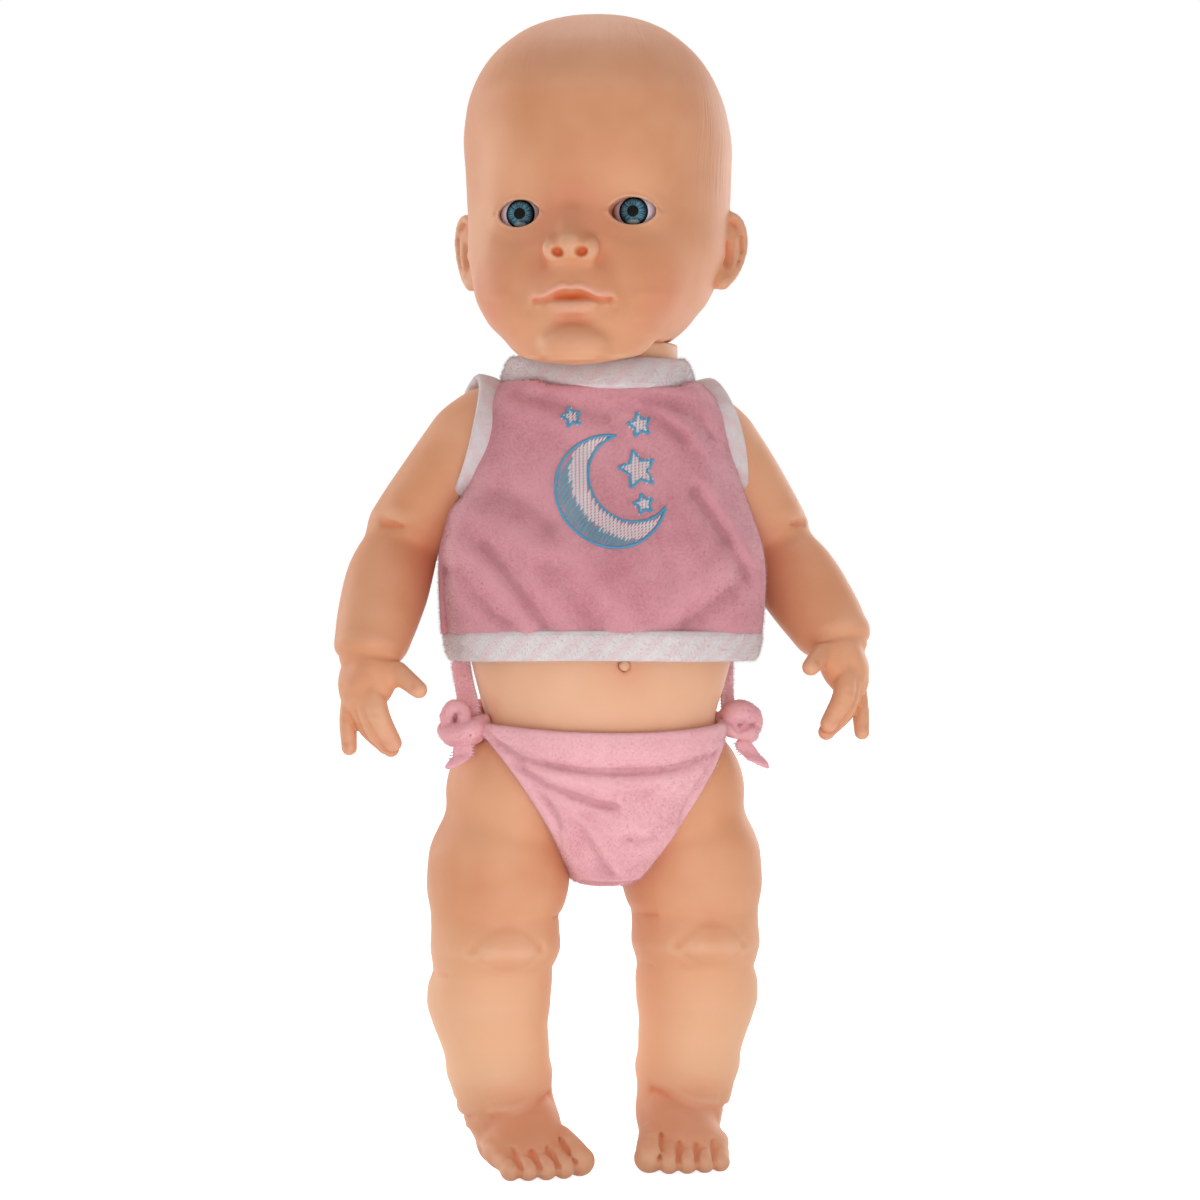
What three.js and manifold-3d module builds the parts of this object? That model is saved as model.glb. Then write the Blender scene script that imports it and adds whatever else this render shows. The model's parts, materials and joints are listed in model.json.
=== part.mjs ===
// An interactive baby doll, 430 mm tall, standing on its own feet.
//
// The doll faces -Y, its left hand is towards +X and it stands on the plane Z = 0. Lengths are millimetres.
// A two-piece hard torso holds the battery box, the circuit board, the loudspeaker and the belly switch.
// The head, the arms and the legs are thin hollow castings. Each one ends in a neck and a flange that snap
// through a round hole in the torso wall, so it turns about the axis of that hole. The clothes are a velour
// top with striped bindings and a brief that is tied at both hips.
import * as THREE from "three";
import { mergeVertices } from "three/addons/utils/BufferGeometryUtils.js";
import Module from "manifold-3d";

const wasm = await Module();
wasm.setup();

// Sizes that the whole doll shares
const GAP = 0.4; // air between two pieces that touch or turn on each other
const CAST_WALL = 3; // wall of the soft hollow castings
const SHELL_WALL = 2.6; // wall of the hard torso
const OVERRUN = 5; // how far a cutting tool reaches past what it cuts
const FAR = 500; // half the side of a block that trims at a plane
const FACET = 0.2; // how far a flat facet may stray from the true form
const SOFT_FACET = 0.62; // the same on the soft castings and the clothes
const TURN_GAP = 0.7; // air round a neck that turns in its hole
const RIGHT = -1;
const LEFT = 1;

// Torso
const TORSO_BOTTOM = 107; // height of the crotch
const TORSO_HEIGHT = 200; // crotch to the seat under the head
const TORSO_TOP = TORSO_BOTTOM + TORSO_HEIGHT;
const torsoHeightAt = (share) => TORSO_BOTTOM + share * TORSO_HEIGHT;
const TORSO_HALF_WIDTH = 49;
const TORSO_FRONT = 42;
const TORSO_BACK = 37;
const TORSO_SPLIT_Y = 3; // the two halves meet in this plane
const SPLIT_GAP = 0.3;
const TORSO_ROUNDNESS = 2.3; // exponent of the torso's outline seen from above, 2 for an ellipse
const NECK_RADIUS = 30;
const NECK_Y = 1;
const NECK_GROOVE_RADIUS = 21;
const NECK_KNOB_RADIUS = 25;
const NECK_KNOB_HEIGHT = 6;
// Height, half-width, front depth and back depth, each as a share of the torso's own size.
const TORSO_SHARES = [
  [0.0, 0.14, 0.36, 0.43],
  [0.03, 0.34, 0.5, 0.62],
  [0.09, 0.62, 0.68, 0.84],
  [0.16, 0.8, 0.8, 0.97],
  [0.23, 0.88, 0.87, 1.0],
  [0.3, 0.88, 0.93, 0.96],
  [0.36, 0.94, 0.98, 0.91],
  [0.43, 1.0, 1.0, 0.88],
  [0.54, 1.0, 0.97, 0.86],
  [0.66, 0.98, 0.87, 0.86],
  [0.77, 0.95, 0.79, 0.85],
  [0.85, 0.91, 0.75, 0.83],
  [0.9, 0.82, 0.73, 0.82],
  [0.935, 0.67, 0.72, 0.82],
];

// Head, measured from the tip of the chin upwards and from the axis of the neck outwards
const CHIN_DROP = 10.5; // the chin hangs this far below the seat of the head
const HEAD_HEIGHT = 133.5;
const HEAD_HALF_WIDTH = 49.9;
const HEAD_FRONT = 58;
const HEAD_BACK = 60;
const HEAD_ROUNDNESS = 2.15;
const HEAD_TURN = 22; // degrees that the head looks towards the doll's right hand
const HEAD_FLOOR = 3; // plate round the neck hole
const COLLAR_ROOM_RADIUS = 38; // hollow under the head that clears the neck and the collar
// Height, half-width, front and back, each as a share of the head's own size; a negative back lies in front of the neck.
const HEAD_SHARES = [
  [0.0, 0.16, 0.81, -0.68],
  [0.012, 0.3, 0.845, -0.62],
  [0.032, 0.45, 0.875, -0.2],
  [0.092, 0.66, 0.91, 0.55],
  [0.126, 0.745, 0.925, 0.66],
  [0.16, 0.802, 0.93, 0.73],
  [0.2, 0.855, 0.935, 0.79],
  [0.265, 0.915, 0.94, 0.87],
  [0.345, 0.965, 0.927, 0.935],
  [0.43, 0.974, 0.913, 0.975],
  [0.5, 0.985, 0.925, 0.992],
  [0.565, 0.992, 0.95, 1.0],
  [0.633, 1.0, 0.985, 0.995],
  [0.734, 0.962, 1.0, 0.94],
  [0.8, 0.899, 0.96, 0.865],
  [0.869, 0.791, 0.84, 0.74],
  [0.937, 0.598, 0.62, 0.53],
  [0.97, 0.435, 0.44, 0.37],
  [0.99, 0.25, 0.25, 0.2],
  [1.0, 0.06, 0.06, 0.04],
];
// Soft swellings and hollows of the face: across, forward and up as shares of the head's half-width, front and
// height; then reach as a share of the half-width and rise as a share of the front.
const FACE_SWELL_SHARES = [
  [0.6, 0.72, 0.225, 0.3, 0.05], // cheek
  [0.0, 0.95, 0.06, 0.2, 0.075], // chin
  [0.43, 0.87, 0.42, 0.2, -0.06], // eye hollow
  [0.0, 0.93, 0.42, 0.13, -0.03], // bridge of the nose
  [0.4, 0.9, 0.53, 0.26, 0.02], // brow
  [0.0, 0.95, 0.115, 0.12, -0.04], // dip between lip and chin
];
const EAR_HALF_HEIGHT = 14.7;
const EAR_HALF_DEPTH = 8.5;
const EAR_HALF_THICKNESS = 4.6;
const EAR_FLARE = 28; // degrees that the ear stands away from the head
const EAR_BOWL = 0.66; // size of the hollow in the ear, as a share of the ear
const NOSE_RADIUS = 6.5;
const NOSTRIL_RADIUS = 1.7;
const MOUTH_HALF_WIDTH = 13;
const MOUTH_DEPTH = 3.4;
const LIP_RADIUS = 2.6;
const EYE_RADIUS = 9.5;
const EYE_SPACING = HEAD_HALF_WIDTH * 0.834; // between the two eye centres
const EYE_HALF_WIDTH = 8.1; // opening between the lids
const EYE_HALF_HEIGHT = 5.1;
const IRIS_RADIUS = 4.7;
const IRIS_RISE = 1.1; // thickness of the domed iris cap

// Arms
const SHOULDER_X = 48;
const SHOULDER_Y = 6;
const SHOULDER_DROP = 36; // the shoulder lies this far below the seat of the head
const SHOULDER_Z = TORSO_TOP - SHOULDER_DROP;
const SHOULDER_TILT = 15; // degrees that the shoulder axis points up, going outwards
const SHOULDER_RADIUS = 20;
const SHOULDER_DOME = 10; // how far the round top of the arm stands out of the joint plane
const ARM_NECK_RADIUS = 11;
const ARM_FLANGE_RADIUS = 14.5;
const FLANGE_THICKNESS = 2.2;
const UPPER_ARM_RADIUS = 16.8;
const ELBOW_RADIUS = 15.2;
const FOREARM_RADIUS = 15.8;
const WRIST_RADIUS = 11.2;
const ELBOW_OUT = 25; // elbow and wrist are measured from the shoulder
const ELBOW_BACK = 12;
const ELBOW_DOWN = 37;
const WRIST_OUT = 40;
const WRIST_FORWARD = 13;
const WRIST_DOWN = 81;
const LEFT_ARM_RAISE = 12; // degrees that the left arm is swung further forward
const HAND_LENGTH = 35;
const HAND_TURN = 48; // degrees that the back of the hand faces outwards rather than forwards
const PALM_HALF_WIDTH = 10.8;
const PALM_HALF_THICKNESS = 6;
const FINGER_RADIUS = 3.5;
// Knuckle, middle and tip of each finger, as shares of the hand's length: along the hand, towards the thumb,
// towards the back of the hand; then the finger's thickness as a share of a finger radius.
const FINGER_SHARES = [
  [[0.12, 0.2, -0.06], [0.27, 0.46, -0.08], [0.36, 0.66, -0.1], 1.2],
  [[0.42, 0.18, 0.03], [0.7, 0.22, -0.05], [0.88, 0.24, -0.22], 1.05],
  [[0.46, 0.05, 0.05], [0.78, 0.08, -0.06], [0.98, 0.08, -0.26], 1.05],
  [[0.44, -0.1, 0.04], [0.74, -0.08, -0.09], [0.92, -0.08, -0.3], 1.0],
  [[0.4, -0.22, 0.0], [0.7, -0.26, -0.03], [0.96, -0.27, -0.08], 0.92],
];

// Legs
const HIP_X = 29;
const HIP_Y = 4;
const HIP_Z = 139;
const HIP_TILT = 33; // degrees that the hip axis points down, going outwards
const HIP_RADIUS = 28;
const LEG_NECK_RADIUS = 16;
const LEG_FLANGE_RADIUS = 20;
const LEG_X = 38;
const LEG_Y = 6;
const LEG_TOP = 140;
const LEG_HALF_WIDTH = 26.6;
const LEG_HALF_DEPTH = 28;
// Height, half-width, half-depth, shift outwards and shift back, each as a share of the leg's own size.
const LEG_SHARES = [
  [1.0, 0.66, 0.66, -0.16, -0.05],
  [0.93, 0.84, 0.84, -0.1, -0.05],
  [0.83, 0.98, 0.97, -0.03, -0.04],
  [0.755, 1.0, 0.98, -0.02, -0.04],
  [0.7, 0.95, 0.94, 0.0, -0.04],
  [0.655, 0.895, 0.885, 0.02, -0.04],
  [0.61, 0.905, 0.93, 0.02, -0.08],
  [0.565, 0.885, 0.9, 0.03, -0.06],
  [0.52, 0.845, 0.82, 0.05, 0.0],
  [0.475, 0.87, 0.84, 0.08, 0.06],
  [0.43, 0.868, 0.84, 0.09, 0.08],
  [0.38, 0.815, 0.79, 0.07, 0.08],
  [0.325, 0.735, 0.7, 0.02, 0.06],
  [0.27, 0.695, 0.66, -0.04, 0.05],
  [0.215, 0.69, 0.66, -0.08, 0.05],
  [0.17, 0.64, 0.62, -0.08, 0.05],
  [0.1, 0.5, 0.5, -0.08, 0.05],
];
const ANKLE_X = 35.5;
const ANKLE_Y = 8;
const TOE_IN = 17; // degrees
const HEEL_LENGTH = 20; // ankle axis to the back of the heel
const FOOT_LENGTH = 66;
const FOOT_HALF_WIDTH = 16.5;
const FOOT_HEIGHT = 30;
const SOLE_CUT = 1; // the rounded foot is trimmed this deep to make its flat sole
// Length from the heel, half-width and height, each as a share of the foot's own size.
const FOOT_SHARES = [
  [0.0, 0.3, 0.3],
  [0.03, 0.58, 0.62],
  [0.12, 0.84, 0.9],
  [0.28, 0.95, 1.0],
  [0.45, 0.95, 0.86],
  [0.62, 1.0, 0.64],
  [0.78, 1.0, 0.48],
  [0.86, 0.9, 0.4],
  [0.9, 0.6, 0.28],
];
// Each toe from the big one outwards: along the foot as a share of its length, towards the big toe as a share of
// its half-width, then half-length and radius as shares of the half-width.
const TOE_SHARES = [
  [0.905, 0.66, 0.44, 0.36],
  [0.915, 0.2, 0.42, 0.27],
  [0.9, -0.17, 0.4, 0.26],
  [0.875, -0.5, 0.38, 0.25],
  [0.845, -0.8, 0.34, 0.24],
];

// Battery box, electronics and switches
const CELL_RADIUS = 5.25;
const CELL_LENGTH = 44.5;
const CELL_NUB_RADIUS = 1.9;
const CELL_NUB_LENGTH = 0.8;
const CELL_COUNT = 3;
const CELL_GAP = 0.6;
const TRAY_WALL = 1.6;
const TRAY_Z = torsoHeightAt(0.535); // centre of the battery box
const TRAY_MARGIN = 1.1; // room at both ends of the cells for the contacts
const CONTACT_THICKNESS = 0.4;
const DOOR_WALL = 2;
const DOOR_LAP = 2.5; // how far the door reaches past the opening of the box on each side
const SCREW_RADIUS = 1.5;
const SCREW_HEAD_RADIUS = 2.8;
const SCREW_HEAD_HEIGHT = 1.8;
const SCREW_LENGTH = 9;
const SCREW_SLOT = 0.8;
const BOARD_HALF_WIDTH = 18;
const BOARD_HALF_HEIGHT = 17;
const BOARD_THICKNESS = 1.6;
const CHIP_SIDE = 9;
const CHIP_HEIGHT = 1.6;
const SPEAKER_Z = torsoHeightAt(0.78);
const SPEAKER_RADIUS = 14;
const SPEAKER_RIM = 2;
const SPEAKER_DEPTH = 9;
const SPEAKER_MAGNET_RADIUS = 7.5;
const SPEAKER_FACE_Y = 24;
const LEAD_RADIUS = 0.6; // insulated leads
const GRILLE_HOLE_RADIUS = 1.2;
const GRILLE_PITCH = 5;
const BUTTON_Z = torsoHeightAt(0.4025);
const BUTTON_RADIUS = 2;
const BUTTON_FLANGE_RADIUS = 3.6;
const BUTTON_FLANGE = 1.2;
const BUTTON_RISE = 1.4; // how far the navel button stands out of the belly
const BUTTON_TRAVEL = 1;
const BUTTON_TUBE_WALL = 1.6;
const BUTTON_TUBE_LENGTH = 7;
const SWITCH_BASE = 2.2;
const POWER_Z = torsoHeightAt(0.575);
const POWER_X = 27.3;
const POWER_TRAVEL = 4;
const POWER_KNOB_HALF = 2;
const POWER_KNOB_RISE = 0.4;
const POWER_PLATE = 1.4;
const POWER_SEAT = 3; // switch body behind the sliding plate
const BODY_SCREW_X = 30;
const BODY_SCREW_TOP_Z = torsoHeightAt(0.695);
const BODY_SCREW_BOTTOM_Z = torsoHeightAt(0.295);
const BOSS_RADIUS = 4; // pillars that screws go into

// Clothes
const CLOTH = 2; // thickness of velour and its nap
const SHIRT_SIDE_EASE = 9; // extra room between body and top at the hem
const SHIRT_FRONT_EASE = 5.5;
const HEM_Z = torsoHeightAt(0.41);
const HEM_WIDTH = 11;
const BINDING = 3; // thickness of a folded binding
const COLLAR_WIDTH = 11;
const COLLAR_LEAN = 4; // degrees that the collar is lower in front
const COLLAR_DROP = 9.8; // middle of the collar, below the seat of the head
const COLLAR_Z = TORSO_TOP - COLLAR_DROP;
const ARMHOLE_WIDTH = 6;
const ARMHOLE_PROUD = 2; // the armhole binding laps this far over the arm
const FOLD_DEPTH = 1.6;
const FASTENER_HALF_WIDTH = 8; // hook-and-loop strip down the back of the top
const FASTENER_THICKNESS = 1.4;
const BRIEF_WAIST_FRONT = torsoHeightAt(0.28);
const WAIST_BELOW_DOOR = 1.2; // the back of the brief's waist lies this far below the battery door
const BRIEF_SAG = 1.5;
const KNOT_RADIUS = 7;
const KNOT_X = 51.5;
const KNOT_Y = -2;
const KNOT_Z = BRIEF_WAIST_FRONT + CLOTH / 2;
const KNOT_OUT = 2.5; // the ends of the tie leave the knot this far out
const TIE_HALF_WIDTH = 5;
const TIE_HALF_THICKNESS = 1.2;
const TIE_UP = 22;
const TIE_DOWN = 23;
// Place along a tie's end and its width, as shares of the end's length and of the tie's width.
const TIE_SHARES = [
  [0.0, 0.55],
  [0.35, 1.0],
  [0.75, 1.0],
  [1.0, 0.6],
];

// How many sides and rings the round forms have
const RING_SIDES = 24;
const LIMB_SIDES = 14;
const HOLLOW_SIDES = 8;
const FINGER_SIDES = 6;
const PIN_SIDES = 14;
const WIDE_SIDES = 28;
const SMALL_SIDES = 8;
const SCREW_SIDES = 6;

// Colours
const material = (color, roughness, metalness = 0) => new THREE.MeshStandardMaterial({ color, roughness, metalness });
const SKIN = material(0xe0a684, 0.55);
const EYE_WHITE = material(0xd8d2dc, 0.25);
const IRIS = material(0x3f6f80, 0.2);
const HARD_SKIN = material(0xe3ac8a, 0.45);
const VELOUR = material(0xd58f9c, 0.95);
const TRIM = material(0xe6d3d6, 0.95);
const BLACK_PLASTIC = material(0x2a2a2c, 0.5);
const WHITE_PLASTIC = material(0xe6e6e2, 0.45);
const BOARD = material(0x2f7a46, 0.5);
const STEEL = material(0xb9bcc0, 0.35, 1);
const CELL_SLEEVE = material(0x5b6fa8, 0.4);

const point = (x, y, z) => new THREE.Vector3(x, y, z);
const radians = THREE.MathUtils.degToRad;

// A smooth curve through the rows of a table, without overshoot. It returns the other columns for a first column.
function tableCurve(rows) {
  const chord = (i, c) => (rows[i + 1][c] - rows[i][c]) / (rows[i + 1][0] - rows[i][0]);
  const slope = (i, c) => {
    if (i === 0) return chord(0, c);
    if (i === rows.length - 1) return chord(i - 1, c);
    const before = chord(i - 1, c);
    const after = chord(i, c);
    return before * after <= 0 ? 0 : (2 * before * after) / (before + after);
  };
  return (t) => {
    let i = 0;
    const up = rows[rows.length - 1][0] > rows[0][0];
    while (i < rows.length - 2 && (up ? t > rows[i + 1][0] : t < rows[i + 1][0])) i++;
    const span = rows[i + 1][0] - rows[i][0];
    const s = THREE.MathUtils.clamp((t - rows[i][0]) / span, 0, 1);
    return rows[i].slice(1).map((value, k) => {
      const c = k + 1;
      const next = rows[i + 1][c];
      const bend = span * (slope(i, c) * s * (1 - s) * (1 - s) - slope(i + 1, c) * s * s * (1 - s));
      return value * (1 - s) * (1 - s) * (1 + 2 * s) + next * s * s * (3 - 2 * s) + bend;
    });
  };
}

// First-column values of a table with some more between each pair of rows.
function stations(rows, between) {
  const found = [];
  rows.forEach((row, i) => {
    if (i) for (let k = 1; k <= between; k++)
      found.push(rows[i - 1][0] + ((row[0] - rows[i - 1][0]) * k) / between);
    else found.push(row[0]);
  });
  return found;
}

// A closed skin over rings of the same number of points, with a fan over each end.
function skin(rings) {
  const sides = rings[0].length;
  const points = rings.flat();
  const index = [];
  for (let r = 0; r + 1 < rings.length; r++)
    for (let k = 0; k < sides; k++) {
      const a = r * sides + k;
      const b = r * sides + ((k + 1) % sides);
      index.push(a, b, b + sides, a, b + sides, a + sides);
    }
  for (const [r, inward] of [[0, true], [rings.length - 1, false]]) {
    const middle = rings[r].reduce((sum, p) => sum.add(p), point(0, 0, 0)).divideScalar(sides);
    points.push(middle);
    for (let k = 0; k < sides; k++) {
      const a = r * sides + k;
      const b = r * sides + ((k + 1) % sides);
      index.push(...(inward ? [b, a, points.length - 1] : [a, b, points.length - 1]));
    }
  }
  return new THREE.BufferGeometry().setFromPoints(points).setIndex(index);
}

// A geometry as a solid. A mirrored or inward skin is turned to face out.
function solid(geometry) {
  const bare = geometry.index ? geometry.clone() : geometry.clone();
  bare.deleteAttribute("normal");
  bare.deleteAttribute("uv");
  const merged = mergeVertices(bare, 1e-4);
  const build = (triVerts) =>
    new wasm.Manifold(new wasm.Mesh({ numProp: 3, vertProperties: merged.attributes.position.array, triVerts }));
  const triangles = new Uint32Array(merged.index.array);
  const made = build(triangles);
  return made.volume() > 0 ? made : build(triangles.reverse());
}

const join = (...parts) => parts.reduce((whole, part) => whole.add(part));
const cut = (whole, ...tools) => tools.reduce((left, tool) => left.subtract(tool), whole);

// A named mesh of a solid, with flat facets.
function piece(name, shape, finish, facet = FACET) {
  const mesh = shape.simplify(facet).getMesh();
  const corners = new Float32Array(mesh.numVert * 3);
  for (let i = 0; i < mesh.numVert; i++)
    corners.set(mesh.vertProperties.subarray(i * mesh.numProp, i * mesh.numProp + 3), i * 3);
  const geometry = new THREE.BufferGeometry()
    .setAttribute("position", new THREE.BufferAttribute(corners, 3))
    .setIndex(new THREE.BufferAttribute(new Uint32Array(mesh.triVerts), 1));
  geometry.computeVertexNormals();
  const made = new THREE.Mesh(geometry, finish);
  made.name = name;
  return made;
}

// One ring of an oval with different fronts and backs: x outwards, y between front and back, at one height.
function oval({ x, z, halfWidth, front, back, roundness, sides, shift }) {
  const middle = (back - front) / 2;
  const halfDepth = (back + front) / 2;
  return Array.from({ length: sides }, (_, k) => {
    const angle = (2 * Math.PI * k) / sides;
    const bulge = (v) => Math.sign(v) * Math.abs(v) ** (2 / roundness);
    const p = point(x + halfWidth * bulge(Math.cos(angle)), middle + halfDepth * bulge(Math.sin(angle)), z);
    return shift ? shift(p, angle) : p;
  });
}

// A turned solid. The profile gives [radius, height] pairs and starts and ends on the axis, which points along `along`.
function turned(profile, at, along, sides = PIN_SIDES) {
  const outline = profile.map(([radius, height]) => new THREE.Vector2(radius, height));
  const geometry = new THREE.LatheGeometry(outline, sides);
  geometry.applyQuaternion(new THREE.Quaternion().setFromUnitVectors(point(0, 1, 0), along.clone().normalize()));
  geometry.translate(at.x, at.y, at.z);
  return solid(geometry);
}

const pin = (radius, from, to, at, along, sides) => turned([[0, from], [radius, from], [radius, to], [0, to]], at, along, sides);
const tube = (inner, outer, from, to, at, along, sides) =>
  turned([[inner, from], [outer, from], [outer, to], [inner, to], [inner, from]], at, along, sides);

function block(width, depth, height, at) {
  return solid(new THREE.BoxGeometry(width, depth, height).translate(at.x, at.y, at.z));
}

// Everything on the side of a plane that its normal points to.
function halfSpace(at, normal) {
  const geometry = new THREE.BoxGeometry(2 * FAR, 2 * FAR, 2 * FAR).translate(0, 0, FAR);
  geometry.applyQuaternion(new THREE.Quaternion().setFromUnitVectors(point(0, 0, 1), normal.clone().normalize()));
  geometry.translate(at.x, at.y, at.z);
  return solid(geometry);
}

function ball(at, radii, sides = LIMB_SIDES, turn = null) {
  const geometry = new THREE.SphereGeometry(1, sides, Math.round(sides / 2)).rotateX(Math.PI / 2);
  geometry.scale(radii.x, radii.y, radii.z);
  if (turn) geometry.applyQuaternion(turn);
  return solid(geometry.translate(at.x, at.y, at.z));
}

const even = (radius) => point(radius, radius, radius);

// A round limb along a curve, with domed ends and a thickness given at each of its points.
function limb(points, radii, sides, steps, shrink = 0) {
  const curve = new THREE.CatmullRomCurve3(points);
  const radiusAt = tableCurve(radii.map((r, i) => [i / (radii.length - 1), r - shrink]));
  const frames = curve.computeFrenetFrames(steps);
  const ring = (i, radius, push) =>
    Array.from({ length: sides }, (_, k) => {
      const angle = (2 * Math.PI * k) / sides;
      return curve
        .getPoint(i / steps)
        .addScaledVector(frames.tangents[i], push)
        .addScaledVector(frames.normals[i], radius * Math.cos(angle))
        .addScaledVector(frames.binormals[i], radius * Math.sin(angle));
    });
  const rings = [];
  const dome = [Math.PI / 2.3, Math.PI / 4];
  for (const a of dome) rings.push(ring(0, radiusAt(0)[0] * Math.cos(a), -radiusAt(0)[0] * Math.sin(a)));
  for (let i = 0; i <= steps; i++) rings.push(ring(i, radiusAt(i / steps)[0], 0));
  for (const a of [...dome].reverse())
    rings.push(ring(steps, radiusAt(1)[0] * Math.cos(a), radiusAt(1)[0] * Math.sin(a)));
  return solid(skin(rings));
}

// Torso outline at a height, grown by `grow` on every side
const torsoCurve = tableCurve(TORSO_SHARES);
function torsoOval(height, grow, sides = RING_SIDES, side = 0, front = 0, shift = null) {
  const [w, f, b] = torsoCurve((height - TORSO_BOTTOM) / TORSO_HEIGHT);
  return oval({
    x: 0,
    z: height,
    halfWidth: w * TORSO_HALF_WIDTH + grow + side,
    front: f * TORSO_FRONT + grow + front,
    back: b * TORSO_BACK + grow + front,
    roundness: TORSO_ROUNDNESS,
    sides,
    shift,
  });
}

// The torso as one body, grown outwards and upwards by `grow` and reaching `lower` further down.
function torsoBody(grow, sides, between = 1, lower = Math.max(grow, 0)) {
  const heights = stations(TORSO_SHARES, between).map((share) => TORSO_BOTTOM + share * TORSO_HEIGHT);
  const rings = heights.map((z) => torsoOval(z, grow, sides));
  const lift = (ring, rise) => ring.map((p) => point(p.x, p.y, p.z + rise));
  if (lower > 0) rings.unshift(lift(rings[0], -lower));
  if (grow > 0) rings.push(lift(rings[rings.length - 1], grow));
  return solid(skin(rings));
}

// Joint axes, pointing outwards
const shoulderAxis = (side) => point(side * Math.cos(radians(SHOULDER_TILT)), 0, Math.sin(radians(SHOULDER_TILT)));
const shoulderAt = (side) => point(side * SHOULDER_X, SHOULDER_Y, SHOULDER_Z);
const hipAxis = (side) => point(side * Math.cos(radians(HIP_TILT)), 0, -Math.sin(radians(HIP_TILT)));
const hipAt = (side) => point(side * HIP_X, HIP_Y, HIP_Z);
const UP = point(0, 0, 1);
const BACKWARD = point(0, 1, 0);
const neckAt = point(0, NECK_Y, TORSO_TOP);
const along = (at, axis, distance) => at.clone().addScaledVector(axis, distance);

// A neck and flange that snap through the torso wall, hollow so that the casting can be drawn off its mould.
function snapNeck(at, axis, neckRadius, flangeRadius) {
  const flangeFrom = -(SHELL_WALL + 2 * GAP + FLANGE_THICKNESS);
  const flangeTo = -(SHELL_WALL + 2 * GAP);
  return join(
    pin(neckRadius, flangeFrom, CAST_WALL, at, axis),
    pin(flangeRadius, flangeFrom, flangeTo, at, axis),
  );
}
const snapBore = (at, axis, neckRadius) =>
  pin(neckRadius - CAST_WALL, -(SHELL_WALL + 2 * GAP + FLANGE_THICKNESS + OVERRUN), CAST_WALL + OVERRUN, at, axis);

// Torso shell: outside, cavity, shoulders, neck and holes
function torsoOutside() {
  let body = torsoBody(0, RING_SIDES, 1);
  const neckBase = TORSO_BOTTOM + TORSO_SHARES[TORSO_SHARES.length - 3][0] * TORSO_HEIGHT;
  body = join(body, pin(NECK_RADIUS, neckBase - TORSO_TOP, 0, neckAt, UP, RING_SIDES));
  for (const side of [RIGHT, LEFT]) {
    const boss = pin(SHOULDER_RADIUS, -SHOULDER_RADIUS, -GAP, shoulderAt(side), shoulderAxis(side), PIN_SIDES + 4);
    body = join(body, boss);
    body = cut(body, halfSpace(along(hipAt(side), hipAxis(side), -GAP), hipAxis(side)));
  }
  return body;
}

function torsoCavity() {
  let room = torsoBody(-SHELL_WALL, RING_SIDES, 1);
  room = cut(room, halfSpace(point(0, 0, TORSO_BOTTOM + SHELL_WALL), UP.clone().negate()));
  const neckRoom = NECK_GROOVE_RADIUS - SHELL_WALL;
  const neckBase = TORSO_BOTTOM + TORSO_SHARES[TORSO_SHARES.length - 3][0] * TORSO_HEIGHT;
  room = join(room, pin(neckRoom, neckBase - TORSO_TOP - OVERRUN, FAR / 4, neckAt, UP, LIMB_SIDES));
  for (const side of [RIGHT, LEFT]) {
    const shoulderRoom = pin(
      SHOULDER_RADIUS - SHELL_WALL, -SHOULDER_RADIUS, -(GAP + SHELL_WALL), shoulderAt(side), shoulderAxis(side));
    room = join(room, shoulderRoom);
    room = cut(room, halfSpace(along(shoulderAt(side), shoulderAxis(side), -(GAP + SHELL_WALL)), shoulderAxis(side)));
    room = cut(room, halfSpace(along(hipAt(side), hipAxis(side), -(GAP + SHELL_WALL)), hipAxis(side)));
  }
  return room;
}

const headFloorZ = TORSO_TOP + GAP;
function neckKnob() {
  const grooveTop = GAP + HEAD_FLOOR + GAP;
  return turned(
    [
      [0, -OVERRUN],
      [NECK_GROOVE_RADIUS, -OVERRUN],
      [NECK_GROOVE_RADIUS, grooveTop],
      [NECK_KNOB_RADIUS, grooveTop],
      [NECK_KNOB_RADIUS, grooveTop + NECK_KNOB_HEIGHT / 2],
      [NECK_GROOVE_RADIUS, grooveTop + NECK_KNOB_HEIGHT],
      [0, grooveTop + NECK_KNOB_HEIGHT],
    ],
    neckAt,
    UP,
    PIN_SIDES + 4,
  );
}

const torsoFrontY = (z, grow = 0) => Math.min(...torsoOval(z, grow).map((p) => p.y));
const torsoBackY = (z, x = 0, grow = 0) => {
  const ring = torsoOval(z, grow, 8 * RING_SIDES).filter((p) => p.y > 0);
  return ring.reduce((best, p) => (Math.abs(p.x - x) < Math.abs(best.x - x) ? p : best)).y;
};

// Battery box, open to the back, with its cells standing side by side
const cellPitch = 2 * CELL_RADIUS + CELL_GAP;
const trayRoomWidth = CELL_COUNT * cellPitch + CELL_GAP;
const trayRoomHeight = CELL_LENGTH + CELL_NUB_LENGTH + 2 * (TRAY_MARGIN + CONTACT_THICKNESS);
const doorInsideY = Math.min(torsoBackY(TRAY_Z + trayRoomHeight / 2, trayRoomWidth / 2), torsoBackY(TRAY_Z - trayRoomHeight / 2, trayRoomWidth / 2)) - DOOR_WALL;
const cellY = doorInsideY - CELL_GAP - CELL_RADIUS;
const trayFloorY = cellY - CELL_RADIUS - CELL_GAP;
const trayDepth = 2 * CELL_RADIUS + 2 * CELL_GAP;
const trayFrontY = trayFloorY - TRAY_WALL;
const doorWidth = trayRoomWidth + 2 * (TRAY_WALL + DOOR_LAP);
const doorHeight = trayRoomHeight + 2 * (TRAY_WALL + DOOR_LAP) + 2 * SCREW_HEAD_RADIUS;
const doorZ = TRAY_Z - SCREW_HEAD_RADIUS;
const screwZ = TRAY_Z - trayRoomHeight / 2 - TRAY_WALL - SCREW_HEAD_RADIUS;
const slabY = FAR / 4;

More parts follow.
